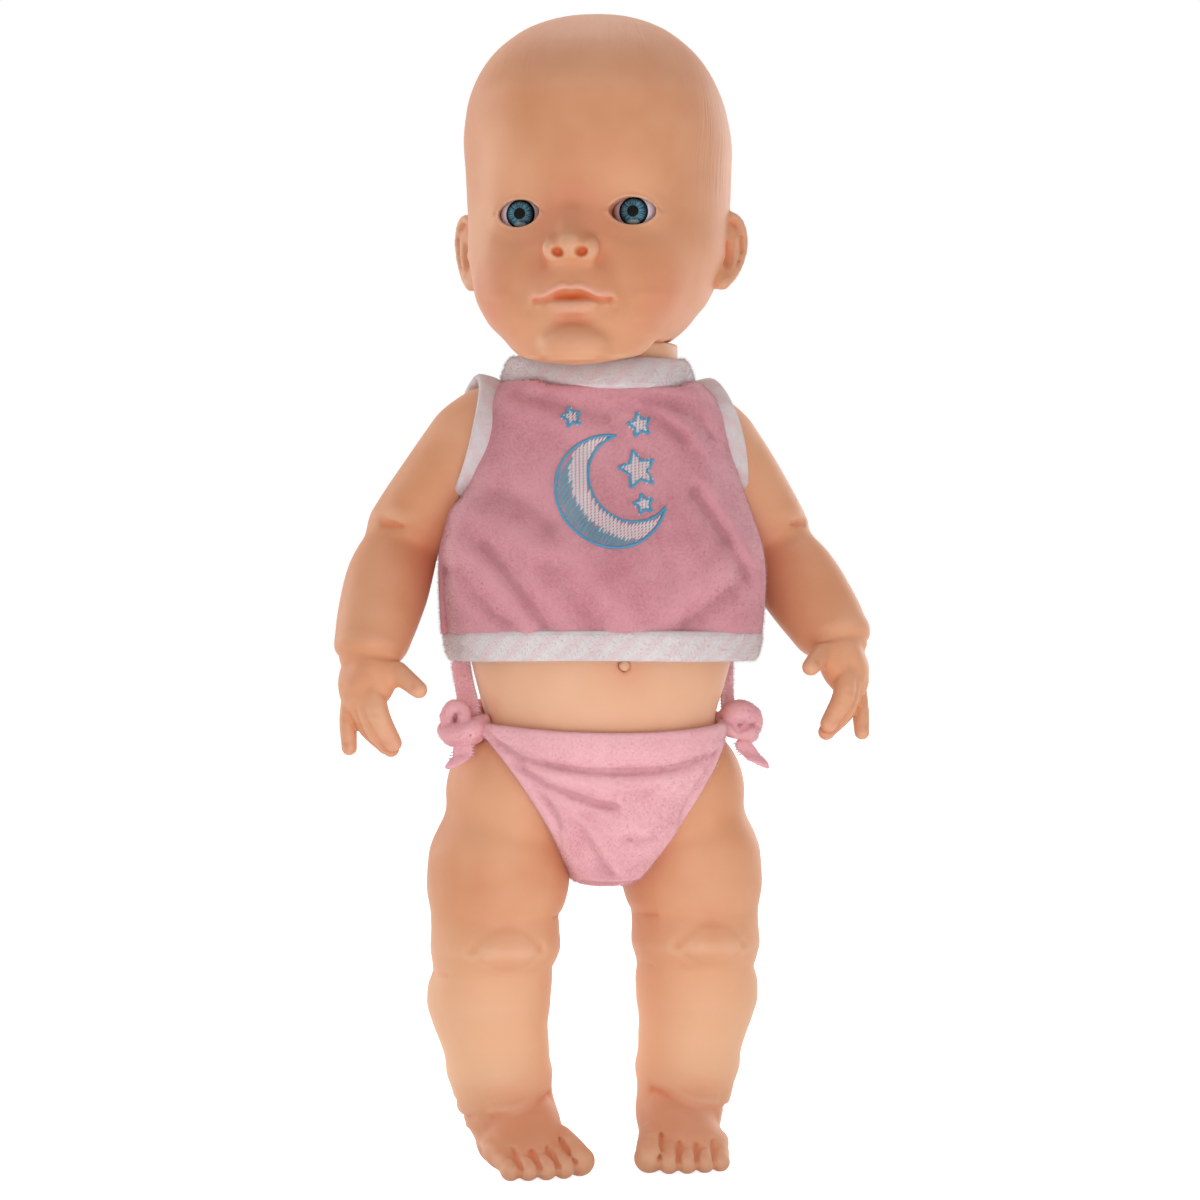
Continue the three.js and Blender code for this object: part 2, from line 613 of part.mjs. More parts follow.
const trayPocket = (width, height, fromY) => block(width, slabY, height, point(0, fromY + slabY / 2, TRAY_Z));

function batteryTray(roomInside) {
  const outer = block(
    trayRoomWidth + 2 * TRAY_WALL, slabY, trayRoomHeight + 2 * TRAY_WALL, point(0, trayFrontY + slabY / 2, TRAY_Z));
  const boss = pin(BOSS_RADIUS, trayFrontY, FAR / 4, point(0, 0, screwZ), BACKWARD, SMALL_SIDES);
  const body = join(outer, boss).intersect(roomInside);
  const screwHole = pin(SCREW_RADIUS + GAP / 2, trayFrontY + TRAY_WALL, FAR / 4, point(0, 0, screwZ), BACKWARD, SMALL_SIDES);
  return cut(body, trayPocket(trayRoomWidth, trayRoomHeight, trayFloorY), screwHole);
}

function batteryDoor(outside) {
  const slab = block(doorWidth - 2 * GAP, slabY, doorHeight - 2 * GAP, point(0, slabY / 2, doorZ));
  const inner = torsoBody(-DOOR_WALL, RING_SIDES, 1);
  const seat = pin(SCREW_HEAD_RADIUS + GAP, torsoBackY(screwZ) - SCREW_HEAD_HEIGHT / 2, FAR / 4, point(0, 0, screwZ), BACKWARD, SMALL_SIDES);
  const hole = pin(SCREW_RADIUS + GAP, 0, FAR / 4, point(0, 0, screwZ), BACKWARD, SMALL_SIDES);
  return cut(outside.intersect(slab), inner, seat, hole);
}

function screw(at, axis) {
  const shank = pin(SCREW_RADIUS, -SCREW_LENGTH, 0, at, axis, SCREW_SIDES);
  const top = pin(SCREW_HEAD_RADIUS, 0, SCREW_HEAD_HEIGHT, at, axis, SMALL_SIDES);
  const bit = SCREW_HEAD_HEIGHT / 2;
  const slotAt = along(at, axis, SCREW_HEAD_HEIGHT);
  return cut(join(shank, top), block(SCREW_SLOT, 2 * bit, 2 * SCREW_HEAD_RADIUS * 0.6, slotAt));
}

function cell() {
  const half = CELL_LENGTH / 2;
  return [
    [0, -half],
    [CELL_RADIUS, -half],
    [CELL_RADIUS, half],
    [CELL_NUB_RADIUS, half],
    [CELL_NUB_RADIUS, half + CELL_NUB_LENGTH],
    [0, half + CELL_NUB_LENGTH],
  ];
}

const cellZ = TRAY_Z - CELL_NUB_LENGTH / 2;
const cellAt = (k) => point((k - (CELL_COUNT - 1) / 2) * cellPitch, cellY, cellZ);
const contactZ = (end) => TRAY_Z + (end * (trayRoomHeight - CONTACT_THICKNESS)) / 2 - end * GAP;
const contact = (end) =>
  block(trayRoomWidth - 2 * GAP, trayDepth - 2 * CELL_GAP, CONTACT_THICKNESS, point(0, cellY, contactZ(end)));

function circuitBoard() {
  const y = trayFrontY - GAP - BOARD_THICKNESS / 2;
  const sheet = block(2 * BOARD_HALF_WIDTH, BOARD_THICKNESS, 2 * BOARD_HALF_HEIGHT, point(0, y, TRAY_Z));
  const chip = block(CHIP_SIDE, CHIP_HEIGHT + BOARD_THICKNESS, CHIP_SIDE, point(0, y - CHIP_HEIGHT / 2, TRAY_Z));
  const can = pin(CHIP_SIDE / 3, 0, CHIP_SIDE, point(BOARD_HALF_WIDTH - CHIP_SIDE / 2, y, TRAY_Z), BACKWARD.clone().negate(), SMALL_SIDES);
  return join(sheet, chip, can);
}

function speaker() {
  const cone = SPEAKER_RADIUS - SPEAKER_RIM;
  return turned(
    [
      [0, -SPEAKER_DEPTH],
      [SPEAKER_MAGNET_RADIUS, -SPEAKER_DEPTH],
      [SPEAKER_MAGNET_RADIUS, -SPEAKER_DEPTH / 2],
      [SPEAKER_RADIUS, -SPEAKER_RIM],
      [SPEAKER_RADIUS, 0],
      [cone, 0],
      [SPEAKER_MAGNET_RADIUS / 2, -SPEAKER_DEPTH / 2 + SPEAKER_RIM],
      [0, -SPEAKER_DEPTH / 2 + SPEAKER_RIM],
    ],
    point(0, SPEAKER_FACE_Y - GAP, SPEAKER_Z),
    BACKWARD,
  );
}

function grille() {
  const holes = [pin(GRILLE_HOLE_RADIUS, SPEAKER_FACE_Y, FAR / 4, point(0, 0, SPEAKER_Z), BACKWARD, 6)];
  for (let k = 0; k < 6; k++) {
    const turn = (k * Math.PI) / 3;
    const at = point(GRILLE_PITCH * Math.cos(turn), 0, SPEAKER_Z + GRILLE_PITCH * Math.sin(turn));
    holes.push(pin(GRILLE_HOLE_RADIUS, SPEAKER_FACE_Y, FAR / 4, at, BACKWARD, 6));
  }
  return join(...holes);
}

// Navel button, sliding in a tube behind the belly wall, in front of its switch
const bellyY = torsoFrontY(BUTTON_Z);
const bellyInsideY = bellyY + SHELL_WALL;
const flangeFrontY = bellyInsideY + 2 * GAP;
const tubeEndY = bellyInsideY + BUTTON_TUBE_LENGTH;
const buttonAt = point(0, 0, BUTTON_Z);

function navelButton() {
  return turned(
    [
      [0, bellyY - BUTTON_RISE],
      [BUTTON_RADIUS * 0.7, bellyY - BUTTON_RISE * 0.85],
      [BUTTON_RADIUS, bellyY - BUTTON_RISE / 3],
      [BUTTON_RADIUS, flangeFrontY],
      [BUTTON_FLANGE_RADIUS, flangeFrontY],
      [BUTTON_FLANGE_RADIUS, flangeFrontY + BUTTON_FLANGE],
      [0, flangeFrontY + BUTTON_FLANGE],
    ],
    buttonAt,
    BACKWARD,
    SMALL_SIDES + 6,
  );
}

function navelSwitch() {
  const domeTop = flangeFrontY + BUTTON_FLANGE + BUTTON_TRAVEL + GAP;
  return turned(
    [
      [0, domeTop],
      [BUTTON_RADIUS, domeTop],
      [BUTTON_FLANGE_RADIUS, tubeEndY + GAP],
      [BUTTON_FLANGE_RADIUS + GAP + BUTTON_TUBE_WALL, tubeEndY + GAP],
      [BUTTON_FLANGE_RADIUS + GAP + BUTTON_TUBE_WALL, tubeEndY + GAP + SWITCH_BASE],
      [0, tubeEndY + GAP + SWITCH_BASE],
    ],
    buttonAt,
    BACKWARD,
    SMALL_SIDES + 6,
  );
}

// Power switch: a knob in a slot of the back shell, with a plate behind the wall
const powerBackY = torsoBackY(POWER_Z, POWER_X);
const powerInsideY = Math.min(
  ...[-1, 1].map((end) => torsoBackY(POWER_Z, POWER_X + end * (POWER_TRAVEL + 2 * POWER_KNOB_HALF), -SHELL_WALL)));
const powerPlateHalf = POWER_TRAVEL / 2 + 2 * POWER_KNOB_HALF;
function powerKnob() {
  const x = POWER_X - POWER_TRAVEL / 2;
  const knobFrom = powerInsideY - 2 * GAP - POWER_PLATE;
  const knobTo = powerBackY + POWER_KNOB_RISE;
  const knob = block(2 * POWER_KNOB_HALF, knobTo - knobFrom, 2 * POWER_KNOB_HALF, point(x, (knobFrom + knobTo) / 2, POWER_Z));
  const plate = block(2 * powerPlateHalf, POWER_PLATE, 4 * POWER_KNOB_HALF, point(x, knobFrom + POWER_PLATE / 2, POWER_Z));
  return join(knob, plate);
}
const powerBody = () =>
  block(2 * powerPlateHalf + POWER_TRAVEL, POWER_SEAT, 4 * POWER_KNOB_HALF,
    point(POWER_X, powerInsideY - 3 * GAP - POWER_PLATE - POWER_SEAT / 2, POWER_Z));
const powerSlot = () =>
  block(2 * POWER_KNOB_HALF + POWER_TRAVEL + 2 * GAP, FAR / 4, 2 * (POWER_KNOB_HALF + GAP), point(POWER_X, FAR / 8, POWER_Z));

// Body screws join the two halves through bosses
const bodyScrewAt = [
  [RIGHT, BODY_SCREW_TOP_Z],
  [LEFT, BODY_SCREW_TOP_Z],
  [RIGHT, BODY_SCREW_BOTTOM_Z],
  [LEFT, BODY_SCREW_BOTTOM_Z],
].map(([side, z]) => point(side * BODY_SCREW_X, torsoBackY(z, BODY_SCREW_X) - SCREW_HEAD_HEIGHT - CLOTH, z));

function torsoHalves() {
  const outside = torsoOutside();
  const cavity = torsoCavity();
  let shell = join(cut(outside, cavity), cut(neckKnob(), pin(NECK_GROOVE_RADIUS - SHELL_WALL, -2 * OVERRUN, FAR / 4, neckAt, UP, LIMB_SIDES)));
  for (const side of [RIGHT, LEFT]) {
    shell = cut(shell, pin(ARM_NECK_RADIUS + TURN_GAP, -SHOULDER_RADIUS, OVERRUN, shoulderAt(side), shoulderAxis(side)));
    shell = cut(shell, pin(LEG_NECK_RADIUS + TURN_GAP, -HIP_RADIUS / 2, OVERRUN, hipAt(side), hipAxis(side)));
  }
  const speakerRing = tube(
    SPEAKER_RADIUS - SPEAKER_RIM, SPEAKER_RADIUS, SPEAKER_FACE_Y, FAR / 8, point(0, 0, SPEAKER_Z), BACKWARD);
  const buttonTube = tube(
    BUTTON_FLANGE_RADIUS + GAP, BUTTON_FLANGE_RADIUS + GAP + BUTTON_TUBE_WALL, bellyY + SHELL_WALL / 2, tubeEndY, buttonAt, BACKWARD, SMALL_SIDES + 6);
  const bosses = bodyScrewAt.map((at) =>
    pin(BOSS_RADIUS, -FAR / 8, FAR / 8, point(at.x, 0, at.z), BACKWARD, SMALL_SIDES)
      .intersect(torsoBody(-SHELL_WALL / 2, RING_SIDES, 1)));
  shell = join(shell, speakerRing.intersect(torsoBody(-SHELL_WALL / 2, RING_SIDES, 1)), buttonTube, ...bosses);
  shell = cut(shell, grille(), powerSlot(), pin(BUTTON_RADIUS + GAP, bellyY - OVERRUN, bellyInsideY + OVERRUN / 5, buttonAt, BACKWARD, SMALL_SIDES + 6));
  shell = cut(shell, block(doorWidth, slabY, doorHeight, point(0, doorInsideY - SHELL_WALL + slabY / 2, doorZ)));
  const wells = bodyScrewAt.map((at) =>
    join(
      pin(SCREW_HEAD_RADIUS + GAP, -GAP, FAR / 8, at, BACKWARD, SMALL_SIDES),
      pin(SCREW_RADIUS + GAP / 2, -SCREW_LENGTH - GAP, 0, at, BACKWARD, SMALL_SIDES),
    ));
  shell = cut(shell, ...wells);
  const seam = (y, normal) => halfSpace(point(0, y, 0), normal);
  return {
    outside,
    cavity,
    front: cut(shell, seam(TORSO_SPLIT_Y - SPLIT_GAP / 2, BACKWARD)),
    back: cut(shell, seam(TORSO_SPLIT_Y + SPLIT_GAP / 2, BACKWARD.clone().negate())),
  };
}

// Head, in its own frame: origin on the neck axis at the tip of the chin, face towards -Y
const headCurve = tableCurve(HEAD_SHARES);
const headTurn = new THREE.Quaternion().setFromAxisAngle(UP, -radians(HEAD_TURN));
const chinZ = TORSO_TOP - CHIN_DROP;

// Moves a point of the head outwards where the face swells and inwards where it is hollow.
function faceSwell(p) {
  const outward = point(p.x, p.y, 0).normalize();
  let push = 0;
  for (const [across, forward, up, reach, rise] of FACE_SWELL_SHARES)
    for (const side of across ? [RIGHT, LEFT] : [LEFT]) {
      const centre = point(side * across * HEAD_HALF_WIDTH, -forward * HEAD_FRONT, up * HEAD_HEIGHT);
      const far = p.distanceTo(centre) / (reach * HEAD_HALF_WIDTH);
      push += rise * HEAD_FRONT * Math.exp(-far * far);
    }
  return p.addScaledVector(outward, push);
}

function headOval(share, inset, sides) {
  const [w, f, b] = headCurve(share);
  return oval({
    x: 0,
    z: share * HEAD_HEIGHT,
    halfWidth: w * HEAD_HALF_WIDTH - inset,
    front: f * HEAD_FRONT - inset,
    back: b * HEAD_BACK - inset,
    roundness: HEAD_ROUNDNESS,
    sides,
    shift: faceSwell,
  });
}

// Where the face's surface lies, going forwards at a place across and up.
function faceY(x, z) {
  const ring = headOval(z / HEAD_HEIGHT, 0, 8 * RING_SIDES).filter((p) => p.y < 0);
  return ring.reduce((best, p) => (Math.abs(p.x - x) < Math.abs(best.x - x) ? p : best)).y;
}

const EYE_HEIGHT_SHARE = 0.41;
const NOSE_HEIGHT_SHARE = 0.318;
const MOUTH_HEIGHT_SHARE = 0.187;
const EAR_HEIGHT_SHARE = 0.338;
const eyeZ = EYE_HEIGHT_SHARE * HEAD_HEIGHT;
const eyeFaceY = faceY(EYE_SPACING / 2, eyeZ);
const eyeAt = (side) => point((side * EYE_SPACING) / 2, eyeFaceY + EYE_RADIUS + GAP, eyeZ);
const gaze = point(0, -1, 0);

function ear(side) {
  const z = EAR_HEIGHT_SHARE * HEAD_HEIGHT;
  const [w] = headCurve(EAR_HEIGHT_SHARE);
  const turn = new THREE.Quaternion().setFromEuler(new THREE.Euler(radians(-12), 0, -side * radians(EAR_FLARE)));
  const at = point(side * (w * HEAD_HALF_WIDTH + EAR_HALF_THICKNESS / 4), EAR_HALF_DEPTH, z);
  const size = point(EAR_HALF_THICKNESS, EAR_HALF_DEPTH, EAR_HALF_HEIGHT);
  const bowlAt = along(at, point(side, -1, 0).normalize(), EAR_HALF_THICKNESS);
  const bowl = ball(bowlAt, size.clone().multiplyScalar(EAR_BOWL), SMALL_SIDES, turn);
  return cut(ball(at, size, HOLLOW_SIDES, turn), bowl);
}

function head() {
  const heights = stations(HEAD_SHARES, 1);
  let body = solid(skin(heights.map((share) => headOval(share, 0, WIDE_SIDES))));
  const noseZ = NOSE_HEIGHT_SHARE * HEAD_HEIGHT;
  const noseY = faceY(0, noseZ);
  const bridge = limb(
    [point(0, faceY(0, eyeZ) + NOSE_RADIUS / 2, eyeZ), point(0, noseY + NOSE_RADIUS / 3, (eyeZ + noseZ) / 2), point(0, noseY - NOSE_RADIUS / 3, noseZ)],
    [NOSE_RADIUS / 2, NOSE_RADIUS * 0.7, NOSE_RADIUS], SMALL_SIDES, 4);
  const wing = (side) => ball(point(side * NOSE_RADIUS, noseY + NOSE_RADIUS / 4, noseZ - NOSE_RADIUS / 4), even(NOSE_RADIUS * 0.62), SMALL_SIDES);
  const mouthZ = MOUTH_HEIGHT_SHARE * HEAD_HEIGHT;
  const mouthY = faceY(0, mouthZ);
  const upperLip = limb(
    [-1, -0.45, 0, 0.45, 1].map((s, k) => point(s * MOUTH_HALF_WIDTH, faceY(s * MOUTH_HALF_WIDTH, mouthZ) + LIP_RADIUS / 2, mouthZ + (k % 2 ? LIP_RADIUS * 0.7 : k === 2 ? LIP_RADIUS * 0.9 : -LIP_RADIUS))),
    [LIP_RADIUS / 2, LIP_RADIUS, LIP_RADIUS * 1.05, LIP_RADIUS, LIP_RADIUS / 2], SMALL_SIDES - 2, 10);
  const lowerLip = limb(
    [-0.55, 0, 0.55].map((s) => point(s * MOUTH_HALF_WIDTH, faceY(s * MOUTH_HALF_WIDTH, mouthZ) + LIP_RADIUS / 3, mouthZ - LIP_RADIUS * 1.5)),
    [LIP_RADIUS / 2, LIP_RADIUS, LIP_RADIUS / 2], SMALL_SIDES - 2, 6);
  body = join(body, bridge, wing(RIGHT), wing(LEFT), upperLip, lowerLip, ear(RIGHT), ear(LEFT));
  const mouth = ball(point(0, mouthY - LIP_RADIUS / 2, mouthZ - LIP_RADIUS * 0.4), point(MOUTH_HALF_WIDTH * 0.5, MOUTH_DEPTH, LIP_RADIUS * 0.75), SMALL_SIDES);
  const nostril = (side) =>
    ball(point(side * NOSE_RADIUS * 0.62, noseY - NOSE_RADIUS * 0.35, noseZ - NOSE_RADIUS * 0.75), even(NOSTRIL_RADIUS), SMALL_SIDES - 2);
  body = cut(body, mouth, nostril(RIGHT), nostril(LEFT));

  const floorShare = (CHIN_DROP + GAP + HEAD_FLOOR) / HEAD_HEIGHT;
  const upperShares = HEAD_SHARES.map((row) => row[0]).filter((share) => share > floorShare + 0.02 && share < 0.98);
  const roomShares = [floorShare, ...upperShares.filter((share, k) => k % 2 === 0 || k === upperShares.length - 1)];
  const room = solid(skin(roomShares.map((share) => headOval(share, CAST_WALL, LIMB_SIDES))));
  const neckHole = pin(NECK_GROOVE_RADIUS + TURN_GAP, -OVERRUN, CHIN_DROP + GAP + HEAD_FLOOR + OVERRUN, point(0, 0, 0), UP, RING_SIDES);
  const collarRoom = pin(COLLAR_ROOM_RADIUS, -OVERRUN, CHIN_DROP + GAP, point(0, 0, 0), UP, RING_SIDES);
  body = cut(body, room, neckHole, collarRoom);
  for (const side of [RIGHT, LEFT]) {
    const at = eyeAt(side);
    const lids = ball(point(at.x, at.y - EYE_RADIUS, at.z), point(EYE_HALF_WIDTH, 2 * EYE_RADIUS, EYE_HALF_HEIGHT), LIMB_SIDES);
    const front = halfSpace(point(0, at.y, 0), gaze);
    const seat = cut(ball(at, even(EYE_RADIUS + CAST_WALL), HOLLOW_SIDES), halfSpace(point(0, at.y, 0), gaze.clone().negate()));
    const within = solid(skin(heights.slice(4, -2).map((share) => headOval(share, CAST_WALL / 2, LIMB_SIDES))));
    body = join(body, seat.intersect(within));
    body = cut(body, ball(at, even(EYE_RADIUS + GAP), LIMB_SIDES), lids.intersect(front));
  }
  return body;
}

function eyeBall(side) {
  const at = eyeAt(side);
  const whole = ball(at, even(EYE_RADIUS), HOLLOW_SIDES + 4);
  const flatAt = EYE_RADIUS - IRIS_RISE - GAP;
  return cut(whole, halfSpace(point(0, at.y + EYE_RADIUS / 3, 0), BACKWARD), pin(IRIS_RADIUS + GAP, flatAt - GAP, EYE_RADIUS + OVERRUN, at, gaze));
}

function irisCap(side) {
  const at = eyeAt(side);
  const base = EYE_RADIUS - IRIS_RISE - GAP;
  return turned(
    [
      [0, base],
      [IRIS_RADIUS, base],
      [IRIS_RADIUS, base + IRIS_RISE * 0.45],
      [IRIS_RADIUS * 0.75, base + IRIS_RISE * 0.85],
      [IRIS_RADIUS * 0.4, base + IRIS_RISE * 1.05],
      [0, base + IRIS_RISE * 1.1],
    ],
    at,
    gaze,
  );
}

const ARM_ROOT_SHARE = 0.06; // how far down the upper arm its own form begins

// Arm: a round top at the shoulder, upper arm, forearm, palm and five fingers
function arm(side) {
  const at = shoulderAt(side);
  const axis = shoulderAxis(side);
  const place = (out, back, down) => point(at.x + side * out, at.y + back, at.z - down);
  const elbow = place(ELBOW_OUT, ELBOW_BACK, ELBOW_DOWN);
  const wrist = place(WRIST_OUT, -WRIST_FORWARD, WRIST_DOWN);
  const root = at.clone().lerp(elbow, ARM_ROOT_SHARE);
  const domeTurn = new THREE.Quaternion().setFromUnitVectors(point(1, 0, 0), axis);
  const dome = (shrink) => point(SHOULDER_DOME - shrink, SHOULDER_RADIUS - shrink, SHOULDER_RADIUS - shrink);
  const upperMiddle = root.clone().lerp(elbow, 0.5).add(point(side * UPPER_ARM_RADIUS * 0.06, 0, 0));
  const foreMiddle = elbow.clone().lerp(wrist, 0.45).add(point(side * FOREARM_RADIUS * 0.08, 0, 0));
  const segments = (shrink, sides) =>
    join(
      ball(at, dome(shrink), sides + 2, domeTurn),
      limb([root, upperMiddle, elbow], [UPPER_ARM_RADIUS + 1, UPPER_ARM_RADIUS, ELBOW_RADIUS], sides, 4, shrink),
      limb([elbow, foreMiddle, wrist], [ELBOW_RADIUS * 0.9, FOREARM_RADIUS, WRIST_RADIUS], sides, 5, shrink),
    );
  const trim = halfSpace(at, axis.clone().negate());
  const round = tube(SHOULDER_RADIUS, 2 * SHOULDER_RADIUS, -OVERRUN, ARMHOLE_PROUD + GAP, at, axis, RING_SIDES - 8);
  let body = cut(segments(0, LIMB_SIDES), trim, round);

  const down = wrist.clone().sub(elbow).normalize().lerp(point(0, 0, -1), 0.6).normalize();
  const dorsal = point(side * Math.sin(radians(HAND_TURN)), -Math.cos(radians(HAND_TURN)), 0);
  const toThumb = new THREE.Vector3().crossVectors(down, dorsal).multiplyScalar(side).normalize();
  const dorsalUp = new THREE.Vector3().crossVectors(toThumb, down).multiplyScalar(side).normalize();
  const inHand = ([a, c, n]) =>
    wrist.clone()
      .addScaledVector(down, a * HAND_LENGTH)
      .addScaledVector(toThumb, c * HAND_LENGTH)
      .addScaledVector(dorsalUp, n * HAND_LENGTH);
  const palmBasis = new THREE.Quaternion().setFromRotationMatrix(new THREE.Matrix4().makeBasis(toThumb, dorsalUp, new THREE.Vector3().crossVectors(toThumb, dorsalUp)));
  const palm = ball(inHand([0.24, 0, 0]), point(PALM_HALF_WIDTH, PALM_HALF_THICKNESS, HAND_LENGTH * 0.36), HOLLOW_SIDES, palmBasis);
  body = join(body, palm);
  for (const [knuckle, middle, tip, thick] of FINGER_SHARES) {
    const r = FINGER_RADIUS * thick;
    body = join(body, limb([knuckle, middle, tip].map(inHand), [r, r, r * 0.85], FINGER_SIDES, 3));
  }
  const hollow = cut(segments(CAST_WALL, HOLLOW_SIDES - 2), halfSpace(along(at, axis, CAST_WALL), axis.clone().negate()));
  return cut(join(body, snapNeck(at, axis, ARM_NECK_RADIUS, ARM_FLANGE_RADIUS)), hollow, snapBore(at, axis, ARM_NECK_RADIUS));
}

// Leg: a half ball at the hip, a lofted thigh, knee and calf, and a foot with five toes
const legCurve = tableCurve(LEG_SHARES);
function legBody(side, inset, every, sides, from, to) {
  const inRange = stations(LEG_SHARES, 1).filter((share) => share <= from && share >= to);
  const shares = inRange.filter((share, k) => k % every === 0 || k === inRange.length - 1);
  const rings = shares.map((share) => {
    const [w, d, out, back] = legCurve(share);
    const y = LEG_Y + back * LEG_HALF_DEPTH;
    return oval({
      x: side * (LEG_X + out * LEG_HALF_WIDTH),
      z: share * LEG_TOP,
      halfWidth: w * LEG_HALF_WIDTH - inset,
      front: d * LEG_HALF_DEPTH - inset - y,
      back: d * LEG_HALF_DEPTH - inset + y,
      roundness: 2.1,
      sides,
    });
  });
  return solid(skin(rings));
}

function foot(side) {
  const curve = tableCurve(FOOT_SHARES);
  const turn = radians(TOE_IN);
  const forward = point(-side * Math.sin(turn), -Math.cos(turn), 0);
  const inward = point(-side * Math.cos(turn), Math.sin(turn), 0);
  const heel = along(point(side * ANKLE_X, ANKLE_Y, 0), forward, -HEEL_LENGTH);
  const rings = stations(FOOT_SHARES, 1).map((share) => {
    const [w, h] = curve(share);
    const middle = (h * FOOT_HEIGHT) / 2;
    return Array.from({ length: LIMB_SIDES }, (_, k) => {
      const angle = (2 * Math.PI * k) / LIMB_SIDES;
      const bulge = (v) => Math.sign(v) * Math.abs(v) ** (2 / 2.5);
      return along(heel, forward, share * FOOT_LENGTH)
        .addScaledVector(inward, w * FOOT_HALF_WIDTH * bulge(Math.cos(angle)))
        .setZ(middle - SOLE_CUT + (middle + SOLE_CUT / 2) * bulge(Math.sin(angle)));
    });
  });
  let body = solid(skin(rings));
  const lean = new THREE.Quaternion().setFromAxisAngle(UP, Math.atan2(forward.y, forward.x));
  for (const [length, across, half, thick] of TOE_SHARES) {
    const radius = thick * FOOT_HALF_WIDTH;
    const at = along(heel, forward, length * FOOT_LENGTH).addScaledVector(inward, across * FOOT_HALF_WIDTH).setZ(radius * 1.15);
    body = join(body, ball(at, point(half * FOOT_HALF_WIDTH, radius, radius * 1.3), SMALL_SIDES - 1, lean));
  }
  return body;
}

function leg(side) {
  const at = hipAt(side);
  const axis = hipAxis(side);
  const hipBall = (shrink, sides) => ball(at, even(HIP_RADIUS - shrink), sides);
  let body = join(hipBall(0, LIMB_SIDES + 2), legBody(side, 0, 1, LIMB_SIDES + 2, 1, 0.1), foot(side));
  body = cut(body, halfSpace(at, axis.clone().negate()), halfSpace(point(0, 0, 0), UP.clone().negate()));
  const hollow = join(hipBall(CAST_WALL, HOLLOW_SIDES), legBody(side, CAST_WALL, 2, HOLLOW_SIDES, 0.94, 0.2));
  const hollowTrim = halfSpace(along(at, axis, CAST_WALL), axis.clone().negate());
  return cut(join(body, snapNeck(at, axis, LEG_NECK_RADIUS, LEG_FLANGE_RADIUS)), cut(hollow, hollowTrim), snapBore(at, axis, LEG_NECK_RADIUS));
}

// Clothes. The top follows the torso, with more room towards its hem and soft folds from the armholes.
const shirtTop = TORSO_BOTTOM + 0.945 * TORSO_HEIGHT;
const hemTop = HEM_Z + HEM_WIDTH;
const EASE_SHARES = [
  [0.0, 1.0],
  [0.35, 1.0],
  [0.55, 0.55],
  [0.72, 0.2],
  [1.0, 0.0],
];
const easeCurve = tableCurve(EASE_SHARES);
const FOLD_SHARES = [
  [-2.45, 0.3, 0.32, 1.0],
  [-1.95, 0.52, 0.2, 0.7],
  [-0.7, 0.36, 0.32, 1.0],
  [-1.2, 0.2, 0.22, -0.6],
  [0.9, 0.3, 0.3, 0.8],
  [2.3, 0.34, 0.3, 0.8],
]; // angle round the body, height share, reach, depth as a share of the fold depth
function shirtOval(z, grow, sides) {
  const t = THREE.MathUtils.clamp((z - HEM_Z) / (shirtTop - HEM_Z), 0, 1);
  const [ease] = easeCurve(t);
  const fold = (p, angle) => {
    const turn = angle > Math.PI ? angle - 2 * Math.PI : angle;
    let push = 0;
    for (const [at, height, reach, depth] of FOLD_SHARES)
      push += depth * FOLD_DEPTH * Math.exp(-(((turn - at) / reach) ** 2) - ((t - height) / reach) ** 2);
    return p.addScaledVector(point(Math.cos(angle), Math.sin(angle), 0), Math.max(push, -GAP));
  };
  return torsoOval(z, grow + 2 * GAP + CLOTH, sides, ease * SHIRT_SIDE_EASE, ease * SHIRT_FRONT_EASE, fold);
}
function shirtBody(grow, from, to, steps, sides) {
  const rings = Array.from({ length: steps + 1 }, (_, k) => shirtOval(from + ((to - from) * k) / steps, grow, sides));
  return solid(skin(rings));
}

const collarTurn = new THREE.Vector3(0, -Math.sin(radians(COLLAR_LEAN)), Math.cos(radians(COLLAR_LEAN)));
const collarAt = point(0, NECK_Y, COLLAR_Z);
const collarInside = NECK_RADIUS + 2 * GAP;
function collar() {
  const half = COLLAR_WIDTH / 2;
  const outer = collarInside + BINDING * 1.5;
  return turned(
    [
      [collarInside, -half],
      [outer - BINDING / 3, -half],
      [outer, -half / 2],
      [outer, half / 3],
      [outer - BINDING / 2, half],
      [collarInside + BINDING / 3, half],
      [collarInside, half / 2],
      [collarInside, -half],
    ],
    collarAt,
    collarTurn,
    RING_SIDES,
  );
}
const collarRoom = () => pin(collarInside + BINDING * 1.5 + GAP, -COLLAR_WIDTH / 2 - GAP, FAR / 8, collarAt, collarTurn, RING_SIDES);

const armholeInside = SHOULDER_RADIUS + 1.5 * GAP;
function armholeBinding(side, torsoGrown) {
  const outer = armholeInside + BINDING;
  const ring = turned(
    [
      [armholeInside, ARMHOLE_PROUD - ARMHOLE_WIDTH],
      [outer, ARMHOLE_PROUD - ARMHOLE_WIDTH],
      [outer + BINDING / 4, ARMHOLE_PROUD - ARMHOLE_WIDTH / 2],
      [outer - BINDING / 4, ARMHOLE_PROUD],
      [armholeInside, ARMHOLE_PROUD],
      [armholeInside, ARMHOLE_PROUD - ARMHOLE_WIDTH],
    ],
    shoulderAt(side),
    shoulderAxis(side),
    PIN_SIDES + 4,
  );
  return cut(ring, torsoGrown, collarRoom());
}
const armholeRoom = (side) =>
  pin(armholeInside + 1.25 * BINDING + GAP, ARMHOLE_PROUD - ARMHOLE_WIDTH - GAP, FAR / 8, shoulderAt(side), shoulderAxis(side), PIN_SIDES + 4);
const beyondShoulder = (side) => halfSpace(along(shoulderAt(side), shoulderAxis(side), -GAP), shoulderAxis(side));

